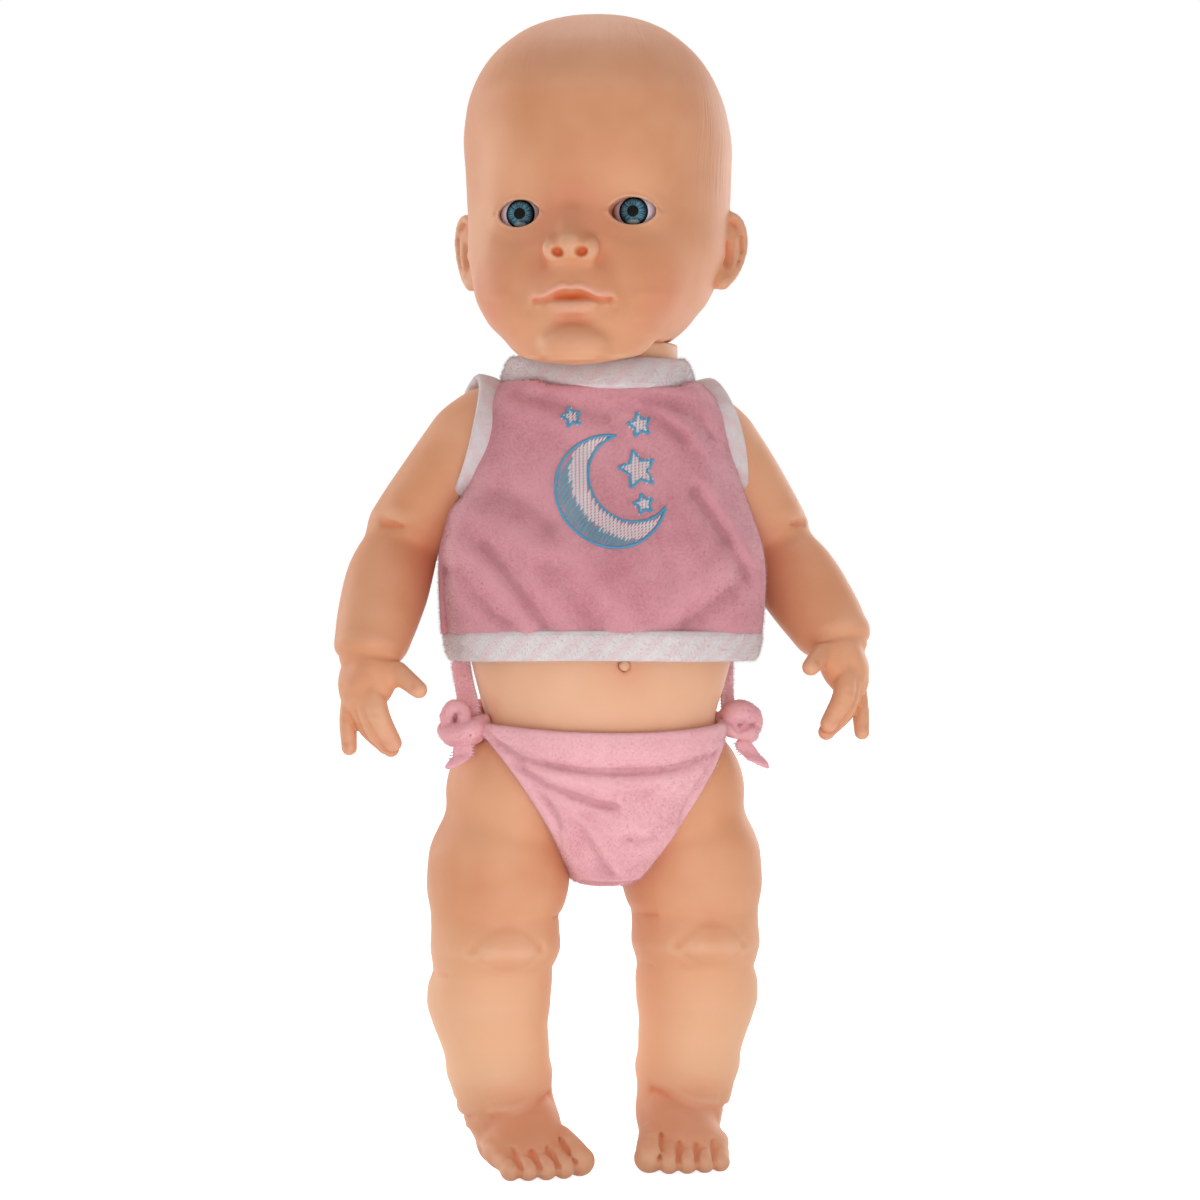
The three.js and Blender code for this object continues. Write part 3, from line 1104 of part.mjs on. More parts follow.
function shirt(torsoGrown) {
  const steps = 6;
  const caps = (grow) => [RIGHT, LEFT].map((side) =>
    pin(SHOULDER_RADIUS + grow, -SHOULDER_RADIUS, -GAP, shoulderAt(side), shoulderAxis(side), PIN_SIDES + 4));
  let body = cut(
    join(shirtBody(0, hemTop + GAP, shirtTop, steps, WIDE_SIDES), ...caps(GAP + CLOTH)),
    shirtBody(-CLOTH, hemTop + GAP - OVERRUN, shirtTop - CLOTH, steps, WIDE_SIDES),
    ...caps(GAP),
    torsoGrown,
    collarRoom(),
    pin(collarInside, -FAR / 4, FAR / 4, neckAt, UP, RING_SIDES),
  );
  for (const side of [RIGHT, LEFT]) body = cut(body, armholeRoom(side), beyondShoulder(side));
  return body;
}

function hemBinding() {
  const outer = shirtBody(BINDING / 3, HEM_Z, hemTop, 2, WIDE_SIDES);
  const inner = shirtBody(-CLOTH, HEM_Z - OVERRUN, hemTop + OVERRUN, 2, WIDE_SIDES);
  return cut(outer, inner);
}

// Hook-and-loop strip that closes the top behind
function backFastener() {
  const strip = block(2 * FASTENER_HALF_WIDTH, FAR / 4, FAR, point(0, FAR / 8, FAR / 2));
  const inner = shirtBody(GAP, hemTop - OVERRUN, shirtTop - COLLAR_WIDTH / 2, 6, WIDE_SIDES);
  const outer = shirtBody(GAP + FASTENER_THICKNESS, hemTop + GAP, shirtTop - COLLAR_WIDTH, 6, WIDE_SIDES);
  return cut(outer.intersect(strip), inner);
}

// A pair of leads along a route
function leads(points) {
  const pair = [0, LEAD_RADIUS * 1.7].map((shift) =>
    limb(points.map((p) => p.clone().add(point(shift, 0, 0))), points.map(() => LEAD_RADIUS), SCREW_SIDES - 2, 4));
  return join(...pair);
}
const boardFaceY = trayFrontY - GAP - BOARD_THICKNESS - GAP - LEAD_RADIUS;

// Brief: a shell round the pelvis between the two hip planes
function brief() {
  const waistBack = doorZ - doorHeight / 2 - WAIST_BELOW_DOOR;
  const waist = halfSpace(
    point(0, -TORSO_FRONT, BRIEF_WAIST_FRONT),
    point(0, -(waistBack - BRIEF_WAIST_FRONT) / (TORSO_FRONT + TORSO_BACK), 1),
  );
  let body = cut(torsoBody(GAP + CLOTH + BRIEF_SAG / 2, RING_SIDES, 1, CLOTH + BRIEF_SAG), torsoBody(GAP, RING_SIDES, 1, GAP), waist);
  for (const side of [RIGHT, LEFT])
    body = cut(body, halfSpace(along(hipAt(side), hipAxis(side), -GAP), hipAxis(side)));
  return body;
}

// One end of a tie: a flat band of cloth from the knot up under the hem, or down over the round of the hip.
function tieEnd(side, from, to, drift) {
  const rings = TIE_SHARES.map(([share, width]) => {
    const height = from + share * (to - from);
    const over = HIP_RADIUS + 3 * GAP + TIE_HALF_THICKNESS;
    const onHip = HIP_X + Math.sqrt(Math.max(over ** 2 - (height - HIP_Z) ** 2, 0));
    const centre = point(side * Math.max(KNOT_X + KNOT_OUT, onHip), KNOT_Y + share * drift, height);
    return Array.from({ length: FINGER_SIDES + 1 }, (_, k) => {
      const angle = (2 * Math.PI * k) / (FINGER_SIDES + 1);
      const across = point(TIE_HALF_THICKNESS * Math.sin(angle), width * TIE_HALF_WIDTH * Math.cos(angle), 0);
      return centre.clone().add(across);
    });
  });
  return solid(skin(rings));
}

// The leg turns inside this round space, and the knot keeps out of it.
const hipRoom = (side) => pin(HIP_RADIUS + GAP, 0, 3 * HIP_RADIUS, hipAt(side), hipAxis(side), RING_SIDES);

function knot(side, briefRoom) {
  const lump = ball(point(side * KNOT_X, KNOT_Y, KNOT_Z), point(KNOT_RADIUS * 0.85, KNOT_RADIUS, KNOT_RADIUS), HOLLOW_SIDES);
  const strap = tieEnd(side, KNOT_Z, KNOT_Z + TIE_UP, TIE_UP / 2);
  return cut(join(lump, strap), briefRoom, hipRoom(side));
}

const tieTail = (side) => tieEnd(side, KNOT_Z - KNOT_RADIUS - GAP, KNOT_Z - TIE_DOWN, 0);

// Assembly
const doll = new THREE.Group();
doll.name = "interactive_baby_doll";
const torso = torsoHalves();
const torsoGrown = torsoBody(GAP, RING_SIDES, 1);
const roomInside = torsoBody(-SHELL_WALL - GAP, RING_SIDES, 1);
doll.add(
  piece("torso_front", torso.front, HARD_SKIN),
  piece("torso_back", torso.back, HARD_SKIN),
  piece("battery_tray", batteryTray(roomInside), BLACK_PLASTIC),
  piece("battery_door", batteryDoor(torso.outside), HARD_SKIN),
  piece("battery_door_screw", screw(point(0, torsoBackY(screwZ) - SCREW_HEAD_HEIGHT / 2 + GAP, screwZ), BACKWARD), STEEL),
  piece("contact_top", contact(1), STEEL),
  piece("contact_bottom", contact(-1), STEEL),
  piece("circuit_board", circuitBoard(), BOARD),
  piece("loudspeaker", speaker(), BLACK_PLASTIC),
  piece("navel_switch", navelSwitch(), BLACK_PLASTIC),
  piece("navel_button", navelButton(), HARD_SKIN),
  piece("power_knob", powerKnob(), WHITE_PLASTIC),
  piece("power_switch_body", powerBody(), BLACK_PLASTIC),
);
for (let k = 0; k < CELL_COUNT; k++) doll.add(piece(`battery_cell_${k + 1}`, turned(cell(), cellAt(k), UP, LIMB_SIDES - 4), CELL_SLEEVE));
bodyScrewAt.forEach((at, k) => doll.add(piece(`body_screw_${k + 1}`, screw(at, BACKWARD), STEEL)));

const headGroup = new THREE.Group();
headGroup.position.set(0, NECK_Y, chinZ);
headGroup.quaternion.copy(headTurn);
headGroup.add(piece("head_shell", head(), SKIN, SOFT_FACET));
for (const [side, name] of [[RIGHT, "right"], [LEFT, "left"]]) {
  headGroup.add(piece(`${name}_eye_white`, eyeBall(side), EYE_WHITE), piece(`${name}_iris`, irisCap(side), IRIS));
  doll.add(piece(`${name}_leg`, leg(side), SKIN, SOFT_FACET));
  const knotShape = knot(side, torsoBody(2 * GAP + CLOTH + BRIEF_SAG / 2, RING_SIDES, 1));
  doll.add(piece(`${name}_brief_knot`, knotShape, VELOUR), piece(`${name}_tie_tail`, tieTail(side), VELOUR));
  doll.add(piece(`${name}_armhole_binding`, armholeBinding(side, torsoGrown), TRIM));
}
doll.add(headGroup);

doll.add(piece("right_arm", arm(RIGHT), SKIN, SOFT_FACET));
const leftArm = piece("left_arm", arm(LEFT), SKIN, SOFT_FACET);
const leftShoulder = shoulderAt(LEFT);
leftArm.geometry.translate(-leftShoulder.x, -leftShoulder.y, -leftShoulder.z);
leftArm.position.copy(leftShoulder);
leftArm.quaternion.setFromAxisAngle(shoulderAxis(LEFT), -radians(LEFT_ARM_RAISE));
doll.add(leftArm);

const boardTop = TRAY_Z + BOARD_HALF_HEIGHT;
const speakerBackY = SPEAKER_FACE_Y - GAP - SPEAKER_DEPTH;
const clear = LEAD_RADIUS + GAP;
const speakerRoute = [
  point(-CHIP_SIDE, boardFaceY, boardTop - CHIP_SIDE),
  point(-CHIP_SIDE, boardFaceY - CHIP_HEIGHT, boardTop),
  point(-CHIP_SIDE / 2, speakerBackY - clear - CHIP_HEIGHT, SPEAKER_Z - SPEAKER_RADIUS),
  point(0, speakerBackY - clear, SPEAKER_Z - SPEAKER_MAGNET_RADIUS / 2),
];
const navelRoute = [
  point(-CHIP_SIDE, boardFaceY, TRAY_Z - BOARD_HALF_HEIGHT + CHIP_SIDE / 2),
  point(-CHIP_SIDE, boardFaceY - CHIP_HEIGHT, TRAY_Z - BOARD_HALF_HEIGHT),
  point(-CHIP_SIDE / 2, tubeEndY + CHIP_SIDE, BUTTON_Z),
  point(0, tubeEndY + GAP + SWITCH_BASE + clear, BUTTON_Z),
];
const powerRoute = [
  point(BOARD_HALF_WIDTH - CHIP_SIDE, boardFaceY, boardTop - CHIP_SIDE),
  point(BOARD_HALF_WIDTH, boardFaceY - CHIP_HEIGHT, boardTop - CHIP_SIDE),
  point(BOARD_HALF_WIDTH + CHIP_SIDE / 2, trayFrontY - CHIP_SIDE / 2, POWER_Z),
  point(POWER_X, powerInsideY - 3 * GAP - POWER_PLATE - POWER_SEAT - clear, POWER_Z),
];
doll.add(
  piece("shirt", shirt(torsoGrown), VELOUR, SOFT_FACET / 2),
  piece("neck_binding", cut(collar(), torsoGrown), TRIM),
  piece("hem_binding", hemBinding(), TRIM),
  piece("brief", brief(), VELOUR),
  piece("back_fastener", backFastener(), TRIM),
  piece("loudspeaker_lead", leads(speakerRoute), CELL_SLEEVE),
  piece("navel_lead", leads(navelRoute), CELL_SLEEVE),
  piece("power_lead", leads(powerRoute), CELL_SLEEVE),
);

export default doll;
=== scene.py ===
# %% [markdown]
# # An interactive baby doll
# The real object is a 43 cm doll with a hollow vinyl head, arms and legs that snap into a hard two-piece torso.
# It stands on its own feet in a velour top with fuzzy striped edges and a fleece brief tied at both hips.
# The CAD part fixes the places and the joints. This script makes what is seen: soft moulded skin, eyes and cloth.
# Lengths are in millimetres in the tables below and turned into metres when a mesh is made.

# %%
import json
import math

import bpy
import numpy as np
from mathutils import Matrix, Vector
from mathutils.bvhtree import BVHTree

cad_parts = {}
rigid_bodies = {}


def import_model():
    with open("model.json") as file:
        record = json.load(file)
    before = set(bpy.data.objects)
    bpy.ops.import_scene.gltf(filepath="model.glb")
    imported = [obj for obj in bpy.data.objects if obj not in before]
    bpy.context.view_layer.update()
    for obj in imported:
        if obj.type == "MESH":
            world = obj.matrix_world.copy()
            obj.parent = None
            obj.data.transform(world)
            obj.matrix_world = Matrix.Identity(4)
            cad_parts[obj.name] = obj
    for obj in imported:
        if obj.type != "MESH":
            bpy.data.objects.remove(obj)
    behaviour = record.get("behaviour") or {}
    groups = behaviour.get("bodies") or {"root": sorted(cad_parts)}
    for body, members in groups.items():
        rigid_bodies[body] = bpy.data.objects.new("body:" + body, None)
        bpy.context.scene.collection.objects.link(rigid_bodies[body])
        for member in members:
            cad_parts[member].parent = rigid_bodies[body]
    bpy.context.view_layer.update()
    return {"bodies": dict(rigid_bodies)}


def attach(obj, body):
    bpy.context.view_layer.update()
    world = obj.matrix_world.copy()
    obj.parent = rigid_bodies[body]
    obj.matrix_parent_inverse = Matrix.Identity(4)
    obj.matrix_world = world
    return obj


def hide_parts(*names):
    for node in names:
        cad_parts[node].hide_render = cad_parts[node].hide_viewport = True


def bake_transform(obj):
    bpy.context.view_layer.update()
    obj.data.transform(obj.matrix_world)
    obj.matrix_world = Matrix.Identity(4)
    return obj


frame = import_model()
MM = 0.001
print("bodies:", ", ".join(frame["bodies"]))

# %% [markdown]
# ## Camera, light and floor
# The photograph was taken from about 1.1 m with the camera level, half way up the doll and 13 degrees to its right.
# The frame is square and the doll stands near the middle.

# %%
scene = bpy.context.scene
scene.view_settings.view_transform = "Standard"
CAMERA_YAW = math.radians(13)
CAMERA_DISTANCE = 1100
CAMERA_HEIGHT = 211.2
PICTURE_WIDTH = 451.1
ASIDE = -0.6
toward = np.array([-math.sin(CAMERA_YAW), -math.cos(CAMERA_YAW), 0])
screen_right = np.array([math.cos(CAMERA_YAW), -math.sin(CAMERA_YAW), 0])
place = toward * CAMERA_DISTANCE - screen_right * ASIDE + np.array([0, 0, CAMERA_HEIGHT])
camera = bpy.data.objects.new("camera", bpy.data.cameras.new("camera"))
scene.collection.objects.link(camera)
camera.location = Vector(place * MM)
camera.rotation_mode = "QUATERNION"
camera.rotation_quaternion = Vector(-toward).to_track_quat("-Z", "Y")
camera.data.sensor_width = 36
camera.data.lens = 36 / (PICTURE_WIDTH / CAMERA_DISTANCE)
camera.data.clip_start, camera.data.clip_end = 0.05, 20
scene.camera = camera


def lamp(name, at, aim, power, width):
    data = bpy.data.lights.new(name, "AREA")
    data.energy, data.size = power, width
    ob = bpy.data.objects.new(name, data)
    scene.collection.objects.link(ob)
    ob.location = at
    ob.rotation_mode = "QUATERNION"
    ob.rotation_quaternion = (Vector(aim) - Vector(at)).to_track_quat("-Z", "Y")
    ob.visible_camera = False
    return ob


lamp("key", (-0.9, -1.3, 0.95), (0, 0, 0.22), 0.7, 0.9)
lamp("fill", (1.2, -1.1, 0.5), (0, 0, 0.2), 0.7, 1.2)
lamp("low", (-0.05, -0.5, 0.03), (0, 0, 0.03), 0.8, 0.3)
lamp("table_glow", (0, -0.6, 0.006), (0, -0.6, 1), 1.6, 1.0)
lamp("rim_left", (-1.1, 0.8, 0.5), (0, 0, 0.22), 6, 0.8)
lamp("rim_top", (0.1, 0.5, 1.5), (0, 0, 0.4), 4, 0.8)
lamp("rim_right", (1.1, 0.9, 0.5), (0, 0, 0.22), 4.5, 0.8)

world = bpy.data.worlds.new("studio")
scene.world = world
world.use_nodes = True
wt = world.node_tree
wt.nodes.clear()
room, white, seen, mixer, out = (
    wt.nodes.new(k)
    for k in ("ShaderNodeBackground", "ShaderNodeBackground", "ShaderNodeLightPath", "ShaderNodeMixShader",
        "ShaderNodeOutputWorld")
)
room.inputs["Color"].default_value = (1, 1, 1, 1)
room.inputs["Strength"].default_value = 0.56
white.inputs["Color"].default_value = (1, 1, 1, 1)
white.inputs["Strength"].default_value = 1.0
share = seen.outputs["Is Camera Ray"]
for kind in ("Is Glossy Ray", "Is Transmission Ray"):
    either = wt.nodes.new("ShaderNodeMath")
    either.operation = "MAXIMUM"
    wt.links.new(share, either.inputs[0])
    wt.links.new(seen.outputs[kind], either.inputs[1])
    share = either.outputs[0]
wt.links.new(share, mixer.inputs["Fac"])
wt.links.new(room.outputs[0], mixer.inputs[1])
wt.links.new(white.outputs[0], mixer.inputs[2])
wt.links.new(mixer.outputs[0], out.inputs["Surface"])

# %% [markdown]
# ## Shader arithmetic
# Every colour and bump is worked out from places on the piece. A small class writes the node graph from ordinary
# sums, so that the formulas can be read. One such class could also be replaced by drawing each graph by hand,
# which is longer and hides the sums.


# %%
class Val:
    """A socket that adds, multiplies and compares like a number."""

    def __init__(self, graph, socket):
        self.g, self.s = graph, socket

    def op(self, kind, *others):
        return self.g.math(kind, self, *others)

    def __add__(self, o): return self.op("ADD", o)
    def __radd__(self, o): return self.op("ADD", o)
    def __sub__(self, o): return self.op("SUBTRACT", o)
    def __rsub__(self, o): return self.g.math("SUBTRACT", o, self)
    def __mul__(self, o): return self.op("MULTIPLY", o)
    def __rmul__(self, o): return self.op("MULTIPLY", o)
    def __truediv__(self, o): return self.op("DIVIDE", o)
    def __neg__(self): return self.op("MULTIPLY", -1.0)
    def most(self, o): return self.op("MAXIMUM", o)
    def root(self): return self.op("SQRT")
    def sin(self): return self.op("SINE")
    def size(self): return self.op("ABSOLUTE")


class Graph:
    """The node graph of one material."""

    def __init__(self, name):
        self.mat = bpy.data.materials.new(name)
        self.mat.use_nodes = True
        self.t = self.mat.node_tree
        self.t.nodes.clear()
        self.out = self.t.nodes.new("ShaderNodeOutputMaterial")
        self.p = self.t.nodes.new("ShaderNodeBsdfPrincipled")
        self.t.links.new(self.p.outputs[0], self.out.inputs["Surface"])

    def put(self, socket, value):
        if isinstance(value, Val):
            self.t.links.new(value.s, socket)
        elif isinstance(value, (tuple, list)):
            socket.default_value = (*value, 1) if len(socket.default_value) == 4 else value
        else:
            socket.default_value = value

    def node(self, kind, output=0, settings=(), **values):
        """Adds a node, sets its settings first and then its sockets, and gives one output.

        A socket is named by its name with _ for a blank, or as _0, _1 and so on by its place."""
        n = self.t.nodes.new("ShaderNode" + kind)
        for key, value in dict(settings).items():
            setattr(n, key, value)
        for key, value in values.items():
            self.put(n.inputs[int(key[1:]) if key[1:].isdigit() else key.replace("_", " ")], value)
        return Val(self, n.outputs[output])

    def math(self, kind, *values):
        return self.node("Math", 0, {"operation": kind}, **{f"_{k}": v for k, v in enumerate(values)})

    def step(self, value, low, high):
        """0 below low, 1 above high, smooth between."""
        return self.node("MapRange", 0, {"interpolation_type": "SMOOTHSTEP"}, Value=value, From_Min=low,
            From_Max=high)

    def mix(self, a, b, share):
        return self.node("Mix", 2, {"data_type": "RGBA"}, _0=share, _6=a, _7=b)

    def place(self):
        return self.node("TexCoord", "Object")

    def uv(self):
        return self.node("UVMap", 0, {"uv_map": "UVMap"})

    def field(self, name):
        return self.node("Attribute", "Fac", {"attribute_name": name})

    def direction(self, name):
        return self.node("Attribute", "Vector", {"attribute_name": name})

    def parts(self, vector):
        first = self.node("SeparateXYZ", 0, _0=vector)
        return [Val(self, s) for s in first.s.node.outputs]

    def join(self, x, y, z):
        return self.node("CombineXYZ", 0, _0=x, _1=y, _2=z)

    def noise(self, vector, scale, detail=2.0, rough=0.5):
        return self.node("TexNoise", 0, Vector=vector, Scale=scale, Detail=detail, Roughness=rough)

    def bump(self, height, distance, strength=1.0):
        self.put(self.p.inputs["Normal"], self.node("Bump", 0, Height=height, Distance=distance, Strength=strength))

    def finish(self, **sockets):
        for key, value in sockets.items():
            self.put(self.p.inputs[key.replace("_", " ")], value)
        return self.mat


def linear(r, g, b):
    """Linear colour from 0 to 255 display values."""
    return tuple(c / 12.92 if c <= 0.04045 else ((c + 0.055) / 1.055) ** 2.4 for c in (r / 255, g / 255, b / 255))


# %% [markdown]
# ## Clay
# The vinyl parts are cast from a wax original that a sculptor pressed and smoothed. The same is done here with a
# field of distances on a grid: forms are added with a soft join, creases are pressed in along lines, and the
# surface is taken out at zero. Modelling by hand with polygons would give less even skin, and a mesh sculpted
# by displacement alone could not join fingers, ears and toes.


# %%
def ticks(*bands):
    """Grid lines from bands of (start, end, spacing)."""
    found = []
    for start, end, step in bands:
        found.append(start + (end - start) * np.arange(round((end - start) / step)) / round((end - start) / step))
    return np.concatenate([*found, [bands[-1][1]]]).astype(np.float32)


def soft_least(a, b, k):
    if k <= 0:
        return np.minimum(a, b)
    h = np.clip(0.5 + 0.5 * (b - a) / k, 0, 1)
    return b + (a - b) * h - k * h * (1 - h)


def curve_through(points, steps=8):
    """A smooth line through points, which may carry more numbers than three."""
    p = np.asarray(points, float)
    if len(p) < 3:
        return p[0] + (p[-1] - p[0]) * np.linspace(0, 1, steps)[:, None]
    p = np.vstack([2 * p[0] - p[1], p, 2 * p[-1] - p[-2]])
    found = []
    for i in range(1, len(p) - 2):
        t = np.linspace(0, 1, steps, endpoint=False)[:, None]
        a, b, c, d = p[i - 1 : i + 3]
        found.append(0.5 * (2 * b + (c - a) * t + (2 * a - 5 * b + 4 * c - d) * t**2 + (
            3 * b - a - 3 * c + d) * t**3))
    return np.vstack([*found, p[-2][None]])


def row_curve(rows, at):
    """Smooth values of a table's other columns at places along its first column, without overshoot."""
    rows = np.asarray(rows, float)
    t, v = rows[:, 0], rows[:, 1:]
    if t[0] > t[-1]:
        t, v = t[::-1], v[::-1]
    chord = np.diff(v, axis=0) / np.diff(t)[:, None]
    slope = np.vstack([chord[:1], chord[-1:]])
    if len(t) > 2:
        a, b = chord[:-1], chord[1:]
        bend = np.where(a * b > 0, 2 * a * b / np.where(a * b > 0, a + b, 1), 0)
        slope = np.vstack([chord[:1], bend, chord[-1:]])
    at = np.clip(np.asarray(at, float), t[0], t[-1])
    i = np.clip(np.searchsorted(t, at) - 1, 0, len(t) - 2)
    span = (t[i + 1] - t[i])[:, None]
    s = ((at - t[i]) / span[:, 0])[:, None]
    return v[i] * (1 - s) ** 2 * (1 + 2 * s) + v[i + 1] * s**2 * (3 - 2 * s) + span * (
        slope[i] * s * (1 - s) ** 2 - slope[i + 1] * s**2 * (1 - s)
    )


class Clay:
    """A field of distances: negative inside the form, positive outside."""

    def __init__(self, xs, ys, zs):
        self.axes = [np.asarray(a, np.float32) for a in (xs, ys, zs)]
        self.f = np.full([len(a) for a in self.axes], 60, np.float32)

    def part(self, lo=None, hi=None):
        """The grid inside a box, as slices and open coordinates."""
        cuts = [slice(None)] * 3
        if lo is not None:
            cuts = [slice(*np.searchsorted(a, (l, h))) for a, l, h in zip(self.axes, lo, hi)]
        x, y, z = (a[c] for a, c in zip(self.axes, cuts))
        return tuple(cuts), x[:, None, None], y[None, :, None], z[None, None, :]

    def add(self, shape, blend=0.0, lo=None, hi=None):
        cuts, x, y, z = self.part(lo, hi)
        self.f[cuts] = soft_least(self.f[cuts], shape(x, y, z), blend)

    def carve(self, shape, blend=0.0, lo=None, hi=None):
        cuts, x, y, z = self.part(lo, hi)
        self.f[cuts] = -soft_least(-self.f[cuts], shape(x, y, z), blend)

    def chain(self, points, blend=0.0, steps=6, carve=False):
        """Adds or carves a round form along points of (x, y, z, radius)."""
        p = curve_through(points, steps)
        reach = p[:, 3].max() + blend * 1.2 + 1
        lo, hi = p[:, :3].min(0) - reach, p[:, :3].max(0) + reach
        (self.carve if carve else self.add)(lambda x, y, z: round_chain(x, y, z, p), blend, lo, hi)

    def egg(self, at, radii, blend=0.0, turn=None, carve=False):
        """Adds or carves an ellipsoid. The rows of turn are its own axes."""
        at, radii = np.asarray(at, float), np.asarray(radii, float)
        reach = radii.max() + blend * 1.2 + 1
        (self.carve if carve else self.add)(lambda x, y, z: egg_field(x, y, z, at, radii, turn), blend, at - reach,
            at + reach)

    def press(self, points, width, depth):
        """Presses a groove along a line, or raises a ridge where depth is below zero."""
        p = curve_through(points, 5) if len(points) > 1 else np.asarray(points, float)
        lo, hi = p[:, :3].min(0) - 2.6 * width, p[:, :3].max(0) + 2.6 * width
        cuts, x, y, z = self.part(lo, hi)
        if self.f[cuts].size:
            self.f[cuts] += (depth * np.exp(-((line_far(x, y, z, p) / width) ** 2))).astype(np.float32)

    def front(self, x, z):
        """Where the surface lies, coming from the front at a place across and up."""
        i, j = (int(np.argmin(abs(a - v))) for a, v in zip((self.axes[0], self.axes[2]), (x, z)))
        line, t = self.f[i, :, j], self.axes[1]
        k = int(np.argmax(line < 0))
        return float(t[k - 1] + (t[k] - t[k - 1]) * line[k - 1] / (line[k - 1] - line[k]))

    def surface(self):
        """Corners and four-sided faces of the surface, one corner for each grid cell that it crosses."""
        f, shape = self.f, np.array(self.f.shape)
        stride = np.array([shape[1] * shape[2], shape[2], 1])
        faces, spots = [], []
        for axis in range(3):
            lo, hi = [slice(None)] * 3, [slice(None)] * 3
            lo[axis], hi[axis] = slice(0, -1), slice(1, None)
            a, b = f[tuple(lo)], f[tuple(hi)]
            where = np.argwhere((a < 0) != (b < 0))
            u, v = (axis + 1) % 3, (axis + 2) % 3
            keep = (where[:, u] > 0) & (where[:, v] > 0) & (where[:, u] < shape[u] - 1) & (where[:,
                v] < shape[v] - 1)
            where = where[keep]
            fa, fb = a[tuple(where.T)], b[tuple(where.T)]
            p = np.stack([self.axes[c][where[:, c]] for c in range(3)], 1).astype(float)
            p[:, axis] += fa / (fa - fb) * (self.axes[axis][where[:, axis] + 1] - self.axes[axis][where[:, axis]])
            ring = []
            for du, dv in ((-1, -1), (0, -1), (0, 0), (-1, 0)):
                c = where.copy()
                c[:, u] += du
                c[:, v] += dv
                ring.append(c @ stride)
            ring = np.stack(ring, 1)
            ring[fa > 0] = ring[fa > 0][:, ::-1]
            faces.append(ring)
            spots.append(np.repeat(p, 4, 0))
        faces, spots = np.vstack(faces), np.vstack(spots)
        back = np.unique(faces, return_inverse=True)[1].reshape(-1)
        count = np.bincount(back)
        corners = np.stack([np.bincount(back, spots[:, c]) / count for c in range(3)], 1)
        return corners, back.reshape(-1, 4)


def line_far(x, y, z, p):
    """Distance to a line of points."""
    if len(p) == 1:
        return np.sqrt((x - p[0, 0]) ** 2 + (y - p[0, 1]) ** 2 + (z - p[0, 2]) ** 2)
    best = None
    for a, b in zip(p[:-1, :3].astype(np.float32), p[1:, :3].astype(np.float32)):
        d = b - a
        t = np.clip(((x - a[0]) * d[0] + (y - a[1]) * d[1] + (z - a[2]) * d[2]) / max(d @ d, 1e-9), 0, 1)
        far = (x - a[0] - t * d[0]) ** 2 + (y - a[1] - t * d[1]) ** 2 + (z - a[2] - t * d[2]) ** 2
        best = far if best is None else np.minimum(best, far)
    return np.sqrt(best)


def round_chain(x, y, z, p):
    best = None
    for a, b in zip(p[:-1].astype(np.float32), p[1:].astype(np.float32)):
        d = b[:3] - a[:3]
        t = np.clip(((x - a[0]) * d[0] + (y - a[1]) * d[1] + (z - a[2]) * d[2]) / max(d @ d, 1e-9), 0, 1)
        far = np.sqrt((x - a[0] - t * d[0]) ** 2 + (y - a[1] - t * d[1]) ** 2 + (z - a[2] - t * d[2]) ** 2)
        far = far - (a[3] + t * (b[3] - a[3]))
        best = far if best is None else np.minimum(best, far)
    return best


def egg_field(x, y, z, at, radii, turn=None):
    x, y, z = x - at[0], y - at[1], z - at[2]
    if turn is not None:
        t = np.asarray(turn, np.float32)
        x, y, z = (t[i, 0] * x + t[i, 1] * y + t[i, 2] * z for i in range(3))
    a, b, c = (v.astype(np.float32) if hasattr(v, "astype") else v for v in np.asarray(radii, np.float32))
    k0 = np.sqrt((x / a) ** 2 + (y / b) ** 2 + (z / c) ** 2)
    k1 = np.sqrt((x / a**2) ** 2 + (y / b**2) ** 2 + (z / c**2) ** 2)
    return k0 * (k0 - 1) / np.maximum(k1, 1e-6)


def stack_field(rows, roundness):
    """Field of a form given by ovals at heights: rows of (z, middle x, middle y, half width, half depth)."""

    def field(x, y, z):
        heights = z[0, 0, :]
        mx, my, w, d = (c[None, None, :].astype(np.float32) for c in row_curve(rows, heights).T)
        px, py = np.abs(x - mx) / w, np.abs(y - my) / d
        r = np.maximum(px**roundness + py**roundness, 1e-9) ** (1 / roundness)
        slope = np.sqrt((px ** (roundness - 1) / w) ** 2 + (py ** (roundness - 1) / d) ** 2) / np.maximum(r,
            1e-6) ** (roundness - 1)
        dwz = np.gradient(w[0, 0], heights) if len(heights) > 1 else np.zeros(1)
        tilt = (np.asarray(dwz, np.float32) / w[0, 0])[None, None, :] * r
        flat = (r - 1) / np.sqrt(slope**2 + tilt**2)
        top, bottom = max(r_[0] for r_ in rows), min(r_[0] for r_ in rows)
        past = np.maximum(np.maximum(z - top, bottom - z), 0)
        return np.where(past > 0, np.sqrt(np.maximum(flat, 0) ** 2 + past**2), flat).astype(np.float32)

    return field


def new_piece(name, mesh, material=None):
    """A smooth object in the scene for a mesh."""
    mesh.polygons.foreach_set("use_smooth", np.ones(len(mesh.polygons), bool))
    if material:
        mesh.materials.append(material)
    ob = bpy.data.objects.new(name, mesh)
    scene.collection.objects.link(ob)
    return ob


def declare(ob, body, node):
    """Says which body a piece rides on and which CAD node it stands for."""
    if body:
        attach(ob, body)
    if node:
        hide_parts(node)
    return ob


